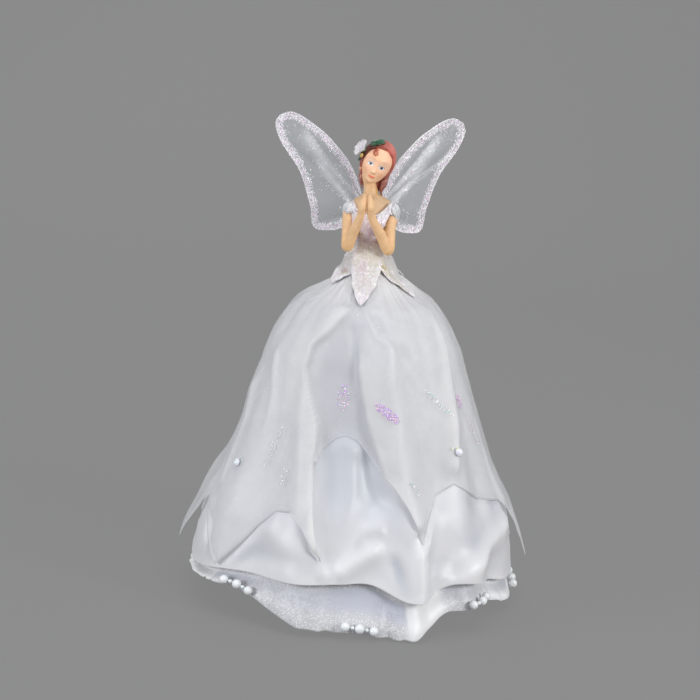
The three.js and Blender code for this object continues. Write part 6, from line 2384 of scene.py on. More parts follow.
    def face_depth(self, x: Array, z: Array) -> Array:
        """How far in front of the head's middle its face lies.

        Args:
            x: Sideways.
            z: Upwards.

        Returns:
            Values of y before the head is tilted.
        """
        wide, deep, back = (along(HEAD, column, z / HEAD_H) for column in (1, 2, 3))
        return HEAD_D * (back - deep * np.sqrt(np.clip(1 - np.square(x / (wide * HEAD_W)), 0, 1)))

    def build_curl(self) -> None:
        """Builds the orange-red curl on the forehead: a flat spiral that ends in a loop."""
        s = np.linspace(0, 1, 70)
        angle = s * 1.12 * 2 * math.pi + 1.4
        radius = 1.45 * (1 - 0.5 * s)
        middle = on_head(-0.4, 0, 0.5)
        x, z = middle[0] + radius * np.cos(angle), middle[2] + radius * np.sin(angle)
        line = np.stack([x, self.face_depth(x, z) - 0.55 - 0.2, z], axis=-1)
        line = np.vstack([np.linspace(line[0] + [-0.3, 0.2, 1.5], line[0], 8)[:-1], line])
        share, backwards = np.linspace(0, 1, len(line)), np.array([0, 1.0, 0])
        across = unit(np.cross(unit(np.gradient(line, axis=0)), backwards))
        a = around(16)[..., None]
        grow = 0.48 * (1 - 0.35 * share)[:, None, None] * (1 + 0.1 * np.cos(4 * a))
        tube = Surface.tube(line[:, None] + grow * (across[:, None] * np.cos(a) + backwards * np.sin(a)))
        dark = 0.6 * bell(share - 0.3, 0.22)[:, None] + 0 * a[..., 0]
        tube.painted(paint=coats(dark.shape + (3,), (0.58, 0.16, 0.08), ((0.36, 0.05, 0.03), dark)))
        self.shop.place("forehead_curl", "resin", tilted(tube), Look.HAIR, Slot.HAIR)

    def petal(self, length: float, width: float, cup: float) -> Surface:
        """A cupped petal of the flower, from its root outwards along +X.

        Args:
            length: From root to tip.
            width: Half width.
            cup: How far the edges curl up.

        Returns:
            A closed surface: thickness 0.5 in the middle and thin at the edge.
        """
        b = np.linspace(0.02, 1, 26)[:, None]
        c = np.linspace(-1, 1, 17)[None, :]
        half = width * np.power(np.sin(math.pi * np.power(b, 1.25) * 0.86 + 0.18), 0.8)
        x = length * (b + 0.05 * (1 - c * c) * smooth(b, 0.6, 1))
        z = cup * np.square(c) * smooth(b, 0, 0.7) + 0.9 * smooth(b, 0.3, 1.0) - 0.25 * bell(c, 0.2) * (1 - b)
        z = z + 0.18 * np.sin(7 * c + 3 * b) * smooth(b, 0.6, 1)
        middle = np.stack([x + 0 * c, half * c, z], axis=-1)
        thick = 0.12 + 0.28 * (1 - c * c) * (1 - smooth(b, 0.5, 1))
        up = np.array([0, 0, 1.0])
        return Surface.shell(middle + up * thick[..., None], middle - up * thick[..., None])

    def build_flower(self) -> None:
        """Builds the white flower at the temple: five cupped petals round a beaded middle."""
        parts = [self.petal(5.0, 3.1, 0.9).outward().moved(turn_about_z(angle)).painted(
            paint=(0.60, 0.55, 0.57), glitter=0.9) for angle in around(5)[0]]
        middle = ellipsoid((0, 0, 0.55), (1.35, 1.35, 1.0), 20, 14)
        parts.append(middle.painted(paint=(0.66, 0.63, 0.65), glitter=0.6))
        rng = np.random.default_rng(5)
        for k in range(9):
            a, r = k * 2.4, 0.38 * math.sqrt(k)
            spot = (r * math.cos(a), r * math.sin(a), 1.35 - 0.25 * r + rng.uniform(-0.05, 0.05))
            bead = ellipsoid(spot, (0.3, 0.3, 0.3), 10, 8)
            parts.append(bead.painted(paint=(0.68, 0.64, 0.66), glitter=0.5))
        line = np.linspace([0, 0, -2.8], [0, 0, 0.2], 10)
        parts.append(sweep(line, np.full(10, 1.1), 14).painted(paint=(0.25, 0.35, 0.2), glitter=0.0))
        surface = Surface.joined(parts).moved(
            turn_to((-0.76, -0.34, 0.55)), on_head(-1.11, -0.28, 0.7) + [HEAD_X, HEAD_Y, HEAD_Z])
        self.shop.place("hair_flower", "resin", surface, Look.FLOWER, Slot.FLOWER)

    def over_hair(self, direction: Array, lift: Array | float) -> Array:
        """Points over the hair in directions from the middle of its cap, before the head is tilted.

        Args:
            direction: Directions.
            lift: Distances above the hair.

        Returns:
            The points.
        """
        d = unit(direction)
        reach = 1 / np.linalg.norm(d / CAP_RADII, axis=-1, keepdims=True)
        return d * (reach + np.asarray(lift)[..., None]) + CAP_CENTRE

    def build_leaves(self) -> None:
        """Builds the three dark leaves, with a midrib and side veins, and the gold bud."""
        leaves = (((-0.92, -0.36, 0.62), (-0.34, -0.5, 0.9)), ((-0.66, -0.42, 0.86), (-0.08, -0.54, 0.93)),
                  ((-1.22, -0.14, 0.12), (-1.13, -0.02, -0.36)))
        b = np.linspace(0, 1, 50)[:, None]
        c = np.linspace(-1, 1, 29)[None, :]
        for k, (base, tip) in enumerate(leaves, 1):
            start, end = on_head(*base), on_head(*tip)
            across = unit(np.cross(start, end))
            half = 2.7 * np.sin(math.pi * np.power(b * 0.985 + 0.008, 0.85)) * (1 + 0.05 * np.sin(26 * b))
            direction = start + (end - start) * b[..., None] + across * (half * c)[..., None]
            vein = bell(np.mod(9 * b - 1.6 * np.abs(c), 1) - 0.5, 0.16)
            lift = 0.35 + 0.42 * np.abs(c) ** 1.5 - 0.22 * bell(c, 0.10)
            lift = lift + 0.10 * vein * smooth(np.abs(c), 0.05, 0.3)
            thick = 0.4 * (1 - 0.5 * np.abs(c)) + 0 * b
            outer, inner = self.over_hair(direction, lift + thick), self.over_hair(direction, lift)
            # Painted shade along the midrib and veins, and painted light on one half of each folded leaf.
            paint = coats(outer.shape, (0.012, 0.10, 0.04),
                          ((0.006, 0.02, 0.012), 0.5 * smooth(vein, 0.2, 1) + 0.5 * bell(c, 0.15)),
                          ((0.03, 0.20, 0.09), 0.6 * smooth(c, 0.2, 0.9)))
            leaf = tilted(Surface.shell(outer, inner).painted(paint=paint))
            self.shop.place(f"leaf_{k}", "resin", leaf, Look.LEAF, Slot.LEAF)
        seat = self.over_hair(on_head(-1.02, -0.47, -0.02), np.array(0.3 + 0.8))
        bud = ellipsoid(seat, (0.9, 1.1, 1.35), 40, 26,
                        lambda d: 0.06 * np.cos(5 * np.arctan2(d[..., 1], d[..., 0])) * (1 - d[..., 2] ** 2))
        off = bud.points - seat
        groove = np.cos(5 * np.arctan2(off[:, 1], off[:, 0]))
        # Painted shade in the bud's grooves.
        bud.painted(paint=coats(off.shape, (0.70, 0.50, 0.12),
                                ((0.32, 0.18, 0.02), 0.6 * smooth(-groove, 0, 1))))
        self.shop.place("hair_bud", "resin", tilted(bud), Look.BUD, Slot.BUD)

    def build(self) -> None:
        """Builds the head and everything on it."""
        self.build_head()
        self.build_hair()
        self.build_curl()
        self.build_flower()
        self.build_leaves()


# Shoulder, middle and elbow: x and y as shares of SHOULDER_X, z as a share of RISE above the waist.
LEFT_ARM = ((-1.14, 0.05, 0.86), (-1.13, -0.56, 0.5), (-1.09, -1.14, 0.16))
RIGHT_ARM = ((1.08, 0.05, 0.86), (0.98, -0.56, 0.5), (0.94, -1.14, 0.13))


@dataclass
class Body:
    """Torso, neck, arms, bodice, sleeves and the petals of collar and peplum."""

    shop: Workshop
    skirts: Skirts
    hands_x: float = -2.9
    hand_length: float = 13.0
    hand_half_thickness: float = 2.3
    hand_half_breadth: float = 3.2
    arm_radius: float = 3.3
    wrist_radius: float = 2.4
    neck_radius: float = 3.8
    neck_lean: float = 3.0

    def __post_init__(self) -> None:
        """Prepares the torso's shape."""
        self.form = TorsoForm()

    def build_torso(self) -> None:
        """Builds stem, torso and neck as one turned form, with collarbones and painted shading."""
        angle = around(120, -math.pi)
        z_stem = np.array([HIP_BOTTOM - 9, HIP_BOTTOM - 8.6, HIP_BOTTOM - 4, HIP_BOTTOM - 0.05])
        stem = polar(angle, 4.0 * np.array([0.9, 1, 1, 1])[:, None], z_stem[:, None])
        share = np.linspace(-0.53, 1.08, 96)[:, None]
        trunk = self.form.point(angle, share, 0.0)
        bone = bell(np.degrees(np.abs(angle)) - 34, 24) * bell(share - mix(1.0, 0.96, np.cos(angle)), 0.022)
        trunk += polar(angle, 0.35 * bone, 0.0)
        notch = bell(np.degrees(angle), 9) * bell(share - 1.03, 0.03)
        trunk += polar(angle, -0.5 * notch, 0.0)
        t = np.linspace(0, 1, 40)[:, None]
        foot = WAIST_Z + 1.15 * RISE
        radius = self.neck_radius * mix(1.12, 0.95, smooth(t, 0, 0.5))
        cords = 0.22 * (bell(np.degrees(np.abs(angle)) - 38, 16)) * (1 - smooth(t, 0.5, 0.9))
        ring = polar(angle, radius + cords, mix(foot, foot + 11, t))
        ring[..., 0] -= 0.9 + (self.neck_lean - 0.9) * smooth(t, 0.1, 1)
        points = np.vstack([stem, trunk, ring])
        x, y, z = points[..., 0], points[..., 1], points[..., 2]
        paint = coats(points.shape, SKIN,
                      (SKIN_CHEST, 0.95 * smooth(z, 218, 228) * (1 - smooth(z, 236, 241))),
                      # Painted shadow on the neck's right side.
                      (NECK_SHADOW, 0.85 * smooth(x, 0.6, 3.2) * smooth(z, 236.5, 239) * smooth(-y, -1, 2.5)),
                      (SKIN_PALE, 0.5 * bell(x + 1.0, 2.4) * smooth(z, 238, 242)))
        self.shop.place("torso", "resin", Surface.tube(points).painted(paint=paint), Look.SKIN, Slot.SKIN)

    def arm_line(self, side: Side) -> tuple[Array, Array]:
        """Stations of an arm: places and radii.

        Args:
            side: Which arm.

        Returns:
            The points and their two radii.
        """
        place = lambda s: np.array([s[0] * SHOULDER_X, s[1] * SHOULDER_X, WAIST_Z + s[2] * RISE])
        shoulder, middle, elbow = (place(s) for s in (LEFT_ARM if side is Side.LEFT else RIGHT_ARM))
        palm = self.hands_x + side.value * (self.hand_half_thickness + 0.15)
        wrist = place((0, -1.78, 0.8))
        wrist[0] = palm + side.value * 0.07 * SHOULDER_X
        knuckles = np.array([palm, wrist[1] - self.hand_length * 0.06, wrist[2] + self.hand_length * 0.42])
        tip = np.array([mix(palm, self.hands_x, 0.5), wrist[1] - self.hand_length * 0.12,
                        wrist[2] + self.hand_length])
        points = np.array([shoulder, middle, elbow, elbow + (wrist - elbow) * 0.45, wrist, knuckles, tip])
        r = self.arm_radius
        radii = np.array([[r, r], [r, r], [r * 0.98, r * 0.98], [r * 0.9, r * 0.9],
                          [self.wrist_radius * 0.92, self.wrist_radius],
                          [self.hand_half_thickness, self.hand_half_breadth],
                          [self.hand_half_thickness * 0.45, self.hand_half_breadth * 0.4]])
        return points, radii

    def build_arm(self, side: Side) -> None:
        """Builds an arm with its hand: fingers pressed together, parted by grooves, and a thumb.

        Args:
            side: Which arm.
        """
        stations, radii = self.arm_line(side)
        count = 200
        line = centripetal(stations, count)
        at = np.linspace(0, len(stations) - 1, count)
        k = np.minimum(at.astype(int), len(stations) - 2)
        s = smooth(at - k, 0, 1)[:, None]
        size = mix(radii[k], radii[k + 1], s)
        size[:, 1] *= 1 + 0.06 * bell(at - 5.0, 0.5)

        def profile(share: Array, angle: Array) -> Array:
            """Grooves between the fingers, the crease at the wrist and the elbow.

            Args:
                share: Shares of the way from shoulder to finger tips.
                angle: Angles round the arm in radians.

            Returns:
                Shares of the radius.
            """
            where = share * 6
            outer = side.value * np.cos(angle)
            across = np.sin(angle)
            fingers = sum(bell(across - offset, 0.07) for offset in (-0.52, 0.0, 0.52))
            shown = smooth(where, 4.95, 5.25) * smooth(outer, -0.1, 0.35)
            crease = bell(where - 4.25, 0.05) * 0.03
            elbow = 0.05 * bell(where - 2.0, 0.25)
            return 1 - 0.15 * fingers * shown - crease + elbow

        arm = sweep(line, size, 72, profile)
        meet = self.hands_x + side.value * 0.06
        arm.points[:, 0] = np.where(side.value * (arm.points[:, 0] - meet) < 0, meet, arm.points[:, 0])
        x, y, z = arm.points.T
        inner = smooth(-side.value * (x - side.value * 10.2), -1.2, 2.0) * smooth(y, -12.5, -5)
        groove = 1 - smooth(side.value * (x - meet), 0.0, 0.7)
        # Painted shade: orange in the crook of each arm on the side facing the body, and darker where the
        # hands meet.
        arm.painted(paint=coats(arm.points.shape, SKIN,
                                (SKIN_PALE, 0.75 * (1 - smooth(z, 209, 222)) * smooth(-y, 5, 14)),
                                ((0.70, 0.33, 0.05), 0.8 * inner * (1 - smooth(z, 226, 232))),
                                ((0.70, 0.36, 0.12), 0.4 * groove * smooth(z, 222, 228))))
        thumb_line = centripetal(np.array([
            line[int(count * 4.55 / 6)] + [0, 1.2, 0.0], line[int(count * 4.9 / 6)] + [0, 2.9, 0.6],
            line[int(count * 5.2 / 6)] + [0, 3.2, 1.4]]), 26)
        thumb_line[:, 0] = meet + side.value * 1.15
        thumb = sweep(thumb_line, 1.05 * (1 - 0.4 * smooth(np.linspace(0, 1, 26), 0.7, 1)), 20)
        thumb.painted(paint=(0.80, 0.48, 0.27))
        self.shop.place(f"arm_{side.word}", "resin", Surface.joined([arm, thumb]), Look.SKIN, Slot.SKIN)

    def build_bodice(self) -> None:
        """Builds the bodice: a glittered shell over the torso with a scooped neckline and drawn folds."""
        angle = around(240, -math.pi)
        low = (203.6 - WAIST_Z) / RISE
        top = (230.5 - WAIST_Z) / RISE - 0.12 * bell(angle, 0.62)
        share = mix(low, top, np.linspace(0, 1, 90)[:, None])
        draw = 0.22 * np.sin(11 * angle + 9 * share) * bell(share - 0.35, 0.3)
        seam = -0.3 * bell(np.abs(np.degrees(angle)) - 30, 3.0) * smooth(share, 0.05, 0.2)
        hem = 0.35 * bell(share - top + 0.02, 0.02) + 0.3 * bell(share - low - 0.015, 0.02)
        outer = self.form.point(angle, share, 1.5) + polar(angle, draw + seam + hem, 0.0)
        inner = self.form.point(angle, share, 0.35)
        lilac = bell(angle + 0.05, 0.5) * bell(share - 0.42, 0.16)
        # The gold-brown patch on the left front is painted shade behind the left arm.
        paint = coats(outer.shape, (0.64, 0.54, 0.52),
                      ((0.72, 0.46, 0.60), 0.75 * lilac),
                      ((0.64, 0.58, 0.44), 0.6 * bell(share - 0.1, 0.1)),
                      ((0.55, 0.36, 0.05), 0.9 * bell(angle + 0.75, 0.2) * bell(share - 0.36, 0.06)))
        glitter = np.clip(0.45 + 0.55 * lilac + 0.25 * smooth(share, 0.5, 0.8), 0, 1)
        surface = Surface.shell(outer, inner, True).painted(paint=paint, glitter=glitter)
        self.shop.place("bodice", "resin", surface, Look.BODICE, Slot.BODICE)

    def build_sleeve(self, side: Side) -> None:
        """Builds an off-shoulder sleeve: a gathered puff with a pointed tip at the outside of the arm.

        Args:
            side: Which sleeve.
        """
        centre = np.array([side.value * SHOULDER_X * 1.03, -SHOULDER_Y * 0.15, SHOULDER_Z - 6.6 * 0.88])

        def relief(d: Array) -> Array:
            """Gathers of the puff.

            Args:
                d: Directions from the puff's middle.

            Returns:
                Offsets as shares of the radius.
            """
            turn, z = np.arctan2(d[..., 1], side.value * d[..., 0]), d[..., 2]
            return 0.05 * np.sin(9 * turn + 3 * z) * (1 - np.abs(z) ** 3) + 0.03 * np.sin(17 * turn + 7 * z)

        puff = ellipsoid((0, 0, 0), (4.6, 5.4, 5.6), 140, 80, relief)
        p = puff.points
        low = np.clip(-p[:, 2] / 5.6, 0, 1) ** 1.3
        p[:, 0] = mix(p[:, 0], side.value * 4.4, 0.95 * low)
        p[:, 1] = mix(p[:, 1], -1.0, 0.6 * low)
        p[:, 2] *= np.where(p[:, 2] < 0, 0.45 + 1.1 * smooth(side.value * p[:, 0], -1, 4.6), 1)
        puff.points = p + centre
        # Painted shade, low on the front of each puff, over the arm.
        turn, drop, sleeve_shade = ((-0.9, 2.0, (0.60, 0.20, 0.06)) if side is Side.LEFT
                            else (-0.5, 4.6, (0.80, 0.45, 0.32)))
        spot = bell(np.arctan2(p[:, 1], side.value * p[:, 0]) - turn, 0.35) * bell(p[:, 2] + drop, 1.2)
        puff.painted(glitter=0.55, paint=coats(
            p.shape, (0.60, 0.62, 0.63),
            ((0.66, 0.56, 0.62), 0.5 * smooth(-side.value * p[:, 0], -1, 3)), (sleeve_shade, 0.85 * spot)))
        self.shop.place(f"sleeve_{side.word}", "resin", puff, Look.SLEEVE, Slot.BODICE)

    def leaf_width(self, b: Array) -> Array:
        """Half width of a leaf-shaped petal, as sin(pi b^0.8)^0.75.

        Args:
            b: Shares from root to tip.

        Returns:
            Shares of the greatest half width.
        """
        return np.power(np.clip(np.sin(math.pi * np.power(b, 0.8)), 0, 1), 0.75)

    def build_collar(self, side: Side) -> None:
        """Builds a pointed petal of the collar, lying on the bodice under the arm.

        Args:
            side: Which petal.
        """
        b = np.linspace(0, 1, 60)[:, None]
        c = np.linspace(-1, 1, 31)[None, :]
        top, tip = 0.95 - 0.08 * (1 - c), 0.36
        share = mix(top, tip, b)
        near, far = (0.88, 0.74) if side is Side.LEFT else (0.78, 0.44)
        middle = mix(near, far, b) * SHOULDER_X
        ragged = 1 - 0.28 * np.mod(3.2 * b + 0.2, 1) * smooth(b, 0.2, 0.4)
        half = mix(3.9, 0.3, np.power(b, 1.5)) * ragged
        x = side.value * (middle + half * c) + self.hands_x / 2
        width = SHOULDER_X * along(TORSO, 1, share) + 2.5
        angle = np.arcsin(np.clip(x / width, -0.97, 0.97))
        curl = 0.35 * np.square(c) + 0.15 * np.sin(8 * c + 4 * b)
        stand = 1.1 * smooth(b, 0.15, 0.6)
        outer = self.form.point(angle, share, 3.0) + polar(angle, curl + stand, 0.0)
        inner = self.form.point(angle, share, 2.0) + polar(angle, 0.8 * curl + stand, 0.0)
        # Painted shade: gold at the tip, where the petal ends in the crook of the arm.
        paint = coats(outer.shape, (0.64, 0.62, 0.64), ((0.62, 0.42, 0.55), 0.6 * bell(b - 0.45, 0.2)),
                      ((0.62, 0.45, 0.08), 0.8 * smooth(b, 0.9, 1.0)))
        glitter = 0.5 + 0.5 * smooth(b, 0.2, 0.6) + 0 * c
        surface = Surface.shell(outer, inner).painted(paint=paint, glitter=glitter)
        self.shop.place(f"collar_petal_{side.word}", "resin", surface, Look.PETAL, Slot.PETAL)

    def peplum_petal(self, name: str, start: float, end: float, half: float, reach: float) -> None:
        """Builds a pointed petal over the waist, with a midrib and edges that curl up.

        Args:
            name: The petal's name.
            start: Bearing at the waist.
            end: Bearing of the tip.
            half: Half width as a share of the peplum's shoulder radius.
            reach: How far down the skirt it goes.
        """
        shoulder = 13.4
        tips = []
        for share in (0.5, 0.75, 1.0):
            p = self.skirts.form.point(np.array([math.radians(end)]), np.array([reach * share]), -0.5)[0]
            tips.append([math.hypot(p[0], p[1]), 0, p[2]])
        root = [[6.3, 0, 210.8], [7.9, 0, 206.6], [shoulder - 0.8, 0, 201.6]]
        path = centripetal(np.array(root + tips), 70)
        b = np.linspace(0, 1, 70)[:, None]
        c = np.linspace(-1, 1, 41)[None, :]
        tangent = unit(np.gradient(path, axis=0))
        ragged = 1 + 0.05 * np.sin(31 * b + 5) * smooth(b, 0.2, 0.5)
        width = np.maximum(0.95 * (1 - smooth(b, 0.12, 0.5)), self.leaf_width(np.clip(b, 0, 0.995))) * ragged
        turn = c * half * shoulder * width / path[:, :1]
        rib = 0.42 * bell(c, 0.09) * (1 - smooth(b, 0.75, 1))
        vein = 0.16 * bell(np.mod(8 * b - 1.9 * np.abs(c), 1) - 0.5, 0.17) * smooth(np.abs(c), 0.1, 0.3)
        above = {"front": 0.5, "left": 0.1, "right": 0.2, "back": 0.3}.get(name, 0.05)
        curl = above + 0.15 * np.abs(c) ** 3 * smooth(b, 0.3, 0.5) * (1 - smooth(b, 0.9, 1)) + rib + vein
        curl = curl + 0.25 * np.sin(14 * b + 3 * c) * np.abs(c) ** 2 * smooth(b, 0.1, 0.3)

        def face(out: Array) -> Array:
            """A face of the petal.

            Args:
                out: Distances outwards from the petal's path.

            Returns:
                The points.
            """
            radius = path[:, :1] - out * tangent[:, 2:3]
            height = path[:, 2:3] + out * tangent[:, :1]
            return polar(np.radians(mix(start, end, b)) + turn, radius, height)

        outer, inner = face(0.75 + curl), face(0.15 + curl - 0.8 * rib)
        cream = (0.60, 0.57, 0.46) if name == "front" else (0.60, 0.58, 0.54)
        spots = {"right": (((0.46, 0.38, 0.12), 0.85 * smooth(-c, 0.2, 0.7) * bell(b - 0.5, 0.16)),
                           ((0.56, 0.50, 0.22), 0.6 * smooth(-c, 0.1, 0.8) * bell(b - 0.8, 0.12))),
                 "left": (((0.46, 0.27, 0.26), 0.6 * bell(c - 0.2, 0.3) * bell(b - 0.62, 0.1)),
                          ((0.42, 0.30, 0.07), 0.6 * bell(c - 0.45, 0.2) * bell(b - 0.68, 0.06))),
                 "front": (((0.62, 0.46, 0.55), 0.5 * bell(c + 0.2, 0.3) * bell(b - 0.5, 0.15)),)}
        paint = coats(outer.shape, (0.58, 0.565, 0.55), (cream, 0.8 * (1 - smooth(b, 0.3, 0.7))),
                      *spots.get(name, ()), ((0.62, 0.52, 0.50), 0.9 * (1 - smooth(b, 0.04, 0.2))))
        glitter = np.clip(0.4 + 0.6 * smooth(np.abs(c), 0.45, 0.95) + 0.6 * smooth(b, 0.6, 0.9), 0, 1)
        surface = Surface.shell(outer, inner).painted(paint=paint, glitter=glitter)
        self.shop.place(f"peplum_petal_{name}", "resin", surface, Look.PETAL, Slot.PETAL)

    def build(self) -> None:
        """Builds the body and its clothes."""
        self.build_torso()
        self.build_bodice()
        for side in Side:
            self.build_arm(side)
            self.build_sleeve(side)
            self.build_collar(side)
        for petal in (("front", -4, -5, 0.62, 0.255), ("right", 56, 57, 0.58, 0.215),
                      ("left", -66, -54, 0.7, 0.165), ("back_right", 118, 120, 0.5, 0.155),
                      ("back", 180, 180, 0.6, 0.24), ("back_left", 238, 236, 0.5, 0.145)):
            self.peplum_petal(*petal)


# Wings

# Outwards as a share of the span, upwards as a share of the top, or downwards of the drop.
WING_OUTLINE = (
    (0.02, 0.06), (0.067, 0.2), (0.129, 0.365), (0.223, 0.525), (0.334, 0.656), (0.479, 0.801),
    (0.664, 0.929), (0.774, 0.985), (0.859, 1), (0.961, 0.956), (1, 0.875), (0.986, 0.774),
    (0.926, 0.645), (0.836, 0.519), (0.746, 0.394), (0.673, 0.232), (0.622, 0.068), (0.585, -0.19),
    (0.567, -0.7), (0.521, -0.97), (0.424, -1), (0.288, -0.91), (0.16, -0.62), (0.04, -0.2),
)


@dataclass
class Wings:
    """Clear moulded wings with a bright rim, veins and glitter."""

    shop: Workshop
    span: float = 56.6
    top: float = 51.8
    drop: float = 14.8
    root: tuple[float, float, float] = (2.8, 8.6, 228.0)
    sweeps: tuple[float, float] = (14.0, 30.0)
    veins: tuple[float, ...] = (0.17, 0.33, 0.5, 0.8)
    relief_height: float = 0.9
    flake_count: int = 1500
    flake_size: float = 0.32
    tints: tuple[int, ...] = (0, 5, 3, 0, 5, 1, 3, 3)

    def outline(self, count: int) -> Array:
        """Points round the wing: a uniform Catmull-Rom curve through the outline.

        Args:
            count: How many.

        Returns:
            Distances outwards and upwards from the root.
        """
        p = np.array([(s * self.span, h * (self.top if h > 0 else self.drop)) for s, h in WING_OUTLINE])
        at = np.linspace(0, len(p) - 1, count)
        k = np.minimum(at.astype(int), len(p) - 2)
        s = (at - k)[:, None]
        a, b = p[k], p[k + 1]
        before, after = p[np.maximum(k - 1, 0)], p[np.minimum(k + 2, len(p) - 1)]
        return hermite(s, a, b, (b - before) / 2, (after - a) / 2)

    def build_wing(self, side: Side) -> None:
        """Builds a wing with its tab, and the loose glitter on it.

        Args:
            side: Which wing.
        """
        columns, rows = 300, 78
        edge = self.outline(columns)
        share = np.linspace(0, 1, columns)[None, :]
        t = (0.03 + 0.97 * np.linspace(0, 1, rows) ** 0.85)[:, None]
        x, z = edge[None, :, 0] * t, edge[None, :, 1] * t
        rim_line = self.outline(500)[6:-6]
        flat = np.stack([x.ravel(), z.ravel()], axis=-1)
        distance = np.minimum.reduce([np.linalg.norm(flat[:, None] - block, axis=-1).min(axis=1)
                                      for block in np.array_split(rim_line, 20)]).reshape(x.shape)
        wide = sum(bell(share - vein, 0.035) for vein in self.veins)
        relief = self.relief_height * (wide - 0.35) * np.sin(math.pi * t)
        reach = np.hypot(x, z)
        angle = np.degrees(np.arctan2(z, x))
        main = bell(angle - 49.5 + 5 * np.sin(reach / 22), 4.0)
        main = main * smooth(reach, 2, 12) * (1 - smooth(reach, 52, 62))
        upper = bell(angle - 61, 4.0) * smooth(reach, 3, 10) * (1 - smooth(reach, 26, 40))
        beside = x * math.sin(0.86) - z * math.cos(0.86) - 6.7 + 0.9 * np.sin(reach / 9)
        lower = bell(beside, 2.1) * smooth(reach, 6, 13) * (1 - smooth(reach, 33, 45))
        comb = 0.09 * np.sin(2 * math.pi * reach / 1.7) * bell(angle - 54.5, 2.2) * smooth(reach, 16, 24)
        rim = bell(distance, 0.62)
        half = 0.14 + 0.3 * rim
        lift = relief + 0.3 * main + 0.2 * upper + 0.2 * lower + comb
        points = lambda out: np.stack([side.value * x, lift + out, z], axis=-1)
        shell = Surface.shell(points(half), points(-half))
        band = (1 - smooth(distance, 2.4, 5.4)) * (0.75 + 0.35 * smooth(z, 10, 45) + 0.3 * smooth(-z, 2, 12))
        # Whiter, hazier bands along the ridges: partly frosted veins, partly painted reflection of the
        # moulded ridges.
        vein = np.clip(0.75 * main + 0.6 * upper + 1.0 * lower + 0.25 * (1 - smooth(reach, 4, 18)), 0, 1)
        shell.painted(rim=rim, band=np.clip(band, 0, 1), vein=vein)
        tab_line = np.linspace([0, -5.8, 0], [0, 0.4, 0], 12)
        tab = sweep(tab_line, np.full((12, 2), (0.42, 3.9)), 24)
        tab.painted(rim=0.2, band=0.0, vein=0.6)
        turn = turn_about_z(side.value * math.radians(self.sweeps[0 if side is Side.LEFT else 1]))
        root = np.array([side.value * self.root[0], self.root[1], self.root[2]])
        node = f"wing_{side.word}"
        wing = Surface.joined([shell.outward().moved(turn, root), tab.outward().moved(np.eye(3), root)])
        self.shop.place(node, "film", wing, Look.FILM, Slot.WING)
        grid_front = points(-half) @ turn.T + root
        normals = grid_normals(grid_front, False)
        normals *= np.sign(-normals[..., 1])[..., None]
        weight = np.clip(0.9 * band + 0.2 * vein, 0, 1) * (t + 0.15)
        weight = weight * np.linalg.norm(np.cross(np.gradient(grid_front, axis=0),
                                                  np.gradient(grid_front, axis=1)), axis=-1)
        rng = np.random.default_rng(60 + side.value)
        pick = rng.choice(weight.size, self.flake_count, replace=False, p=weight.ravel() / weight.sum())
        chosen = grid_front.reshape(-1, 3)[pick] + rng.normal(0, 0.12, (self.flake_count, 3)) * [1, 0.2, 1]
        glitter = flakes(chosen, normals.reshape(-1, 3)[pick], self.flake_size, 70 + side.value,
                         self.tints, 0.08)
        self.shop.place(node, "glitter", glitter, Look.FLAKES, Slot.WING, True)

    def build(self) -> None:
        """Builds both wings."""
        for side in Side:
            self.build_wing(side)


# Support and stage


@dataclass
class Support:
    """The hollow cone and its plug, which keep the part's own shape."""

    shop: Workshop

    def dress(self) -> None:
        """Gives both nodes their material."""
        for name in ("support_cone", "waist_plug"):
            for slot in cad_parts[name].material_slots:
                slot.material = self.shop.material(Look.CARD)
            LOG.info("%s: keeps the part's shape", name)


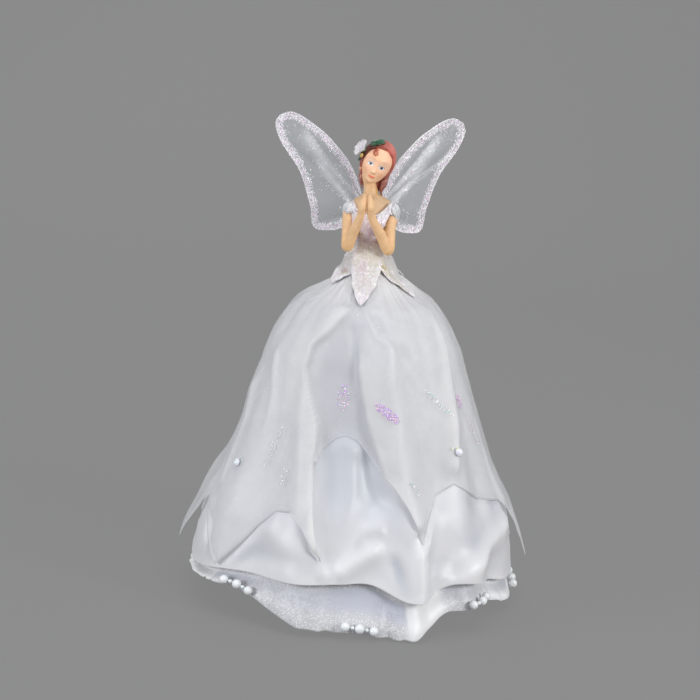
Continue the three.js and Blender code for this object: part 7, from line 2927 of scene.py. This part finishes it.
@dataclass
class Studio:
    """Camera, lamps, world and ground."""

    target: tuple[float, float, float] = (-0.0076, 0.0, 0.146)
    distance: float = 1.3
    elevation: float = 13.0
    roll: float = 3.3
    lens: float = 115.15

    def build_camera(self) -> None:
        """Sets the camera that the photograph was taken from."""
        scene = bpy.context.scene
        e, r = math.radians(self.elevation), math.radians(self.roll)
        forward = Vector((0, math.cos(e), -math.sin(e)))
        right = Vector((1, 0, 0))
        up = Vector((0, math.sin(e), math.cos(e)))
        x = right * math.cos(r) + up * math.sin(r)
        y = up * math.cos(r) - right * math.sin(r)
        data = bpy.data.cameras.new("camera")
        data.lens, data.sensor_width = self.lens, 36.0
        data.clip_start, data.clip_end = 0.05, 20.0
        camera = bpy.data.objects.new("camera", data)
        place = Vector(self.target) - forward * self.distance
        turn = Matrix((x, y, -forward)).transposed().to_4x4()
        camera.matrix_world = Matrix.Translation(place) @ turn
        scene.collection.objects.link(camera)
        scene.camera = camera

    def lamp(self, name: str, place: Sequence[float], size: float, power: float, colour: Colour) -> None:
        """Adds a square soft light that looks at the object's middle.

        Args:
            name: Its name.
            place: Where it stands, in metres.
            size: Its width.
            power: Watts.
            colour: Its colour.
        """
        data = bpy.data.lights.new(name, "AREA")
        data.shape, data.size, data.energy, data.color = "SQUARE", size, power, colour
        obj = bpy.data.objects.new(name, data)
        obj.location = place
        look = Vector((0, 0, 0.14)) - Vector(place)
        obj.rotation_euler = look.to_track_quat("-Z", "Y").to_euler()
        bpy.context.scene.collection.objects.link(obj)

    def build_lights(self) -> None:
        """Sets two soft boxes, weak lights above and behind, and an even world."""
        self.lamp("key", (1.03, -0.82, 0.6), 0.4, 10.4, (1.0, 0.99, 0.97))
        self.lamp("fill", (-1.1, -0.64, 0.4), 0.5, 8.2, (0.97, 0.98, 1.0))
        self.lamp("top", (0.05, -0.3, 1.15), 0.7, 3.6, (1.0, 1.0, 1.0))
        self.lamp("back", (-0.3, 1.2, 0.7), 0.6, 3.0, (1.0, 1.0, 1.0))
        world = bpy.data.worlds.new("world")
        world.use_nodes = True
        nodes, links = world.node_tree.nodes, world.node_tree.links
        background = nodes["Background"]
        path = nodes.new("ShaderNodeLightPath")
        pick = nodes.new("ShaderNodeMix")
        pick.data_type = "RGBA"
        pick.inputs[6].default_value = (0.37, 0.38, 0.40, 1.0)
        pick.inputs[7].default_value = (GREY, GREY, GREY, 1.0)
        links.new(path.outputs["Is Camera Ray"], pick.inputs[0])
        links.new(pick.outputs[2], background.inputs["Color"])
        background.inputs["Strength"].default_value = 1.0
        bpy.context.scene.world = world

    def build_ground(self, shop: Workshop) -> None:
        """Lays the grey ground, which curves up into a backdrop.

        Args:
            shop: Makes the material.
        """
        front, back, top, half_width, bend_radius = -1800, 900, 2600, 3000, 500
        bend = np.linspace(0, math.pi / 2, 16)
        y = np.concatenate([np.linspace(front, back, 12), back + bend_radius * np.sin(bend),
                            np.full(10, back + bend_radius)])
        z = np.concatenate([np.zeros(12), bend_radius * (1 - np.cos(bend)),
                            np.linspace(bend_radius, top, 10)])
        x = np.linspace(-half_width, half_width, 20)
        points = np.stack(np.broadcast_arrays(x[None, :], y[:, None], z[:, None]), axis=-1)
        ground = Surface.grid(points).to_object("ground", shop.material(Look.GROUND))

    def build(self, shop: Workshop) -> None:
        """Sets up everything but the camera.

        Args:
            shop: Makes the ground's material.
        """
        self.build_lights()
        self.build_ground(shop)
        bpy.context.scene.view_settings.view_transform = "Standard"


def main() -> None:
    """Builds every piece in order."""
    logging.basicConfig(level=logging.INFO, format="%(message)s")
    studio = Studio()
    studio.build_camera()
    shop = Workshop()
    studio.build(shop)
    Support(shop).dress()
    Wings(shop).build()
    skirts = Skirts(shop)
    Body(shop, skirts).build()
    Head(shop).build()
    skirts.build()
    Trimmings(shop, skirts).build()
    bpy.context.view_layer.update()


if __name__ == "__main__":
    main()
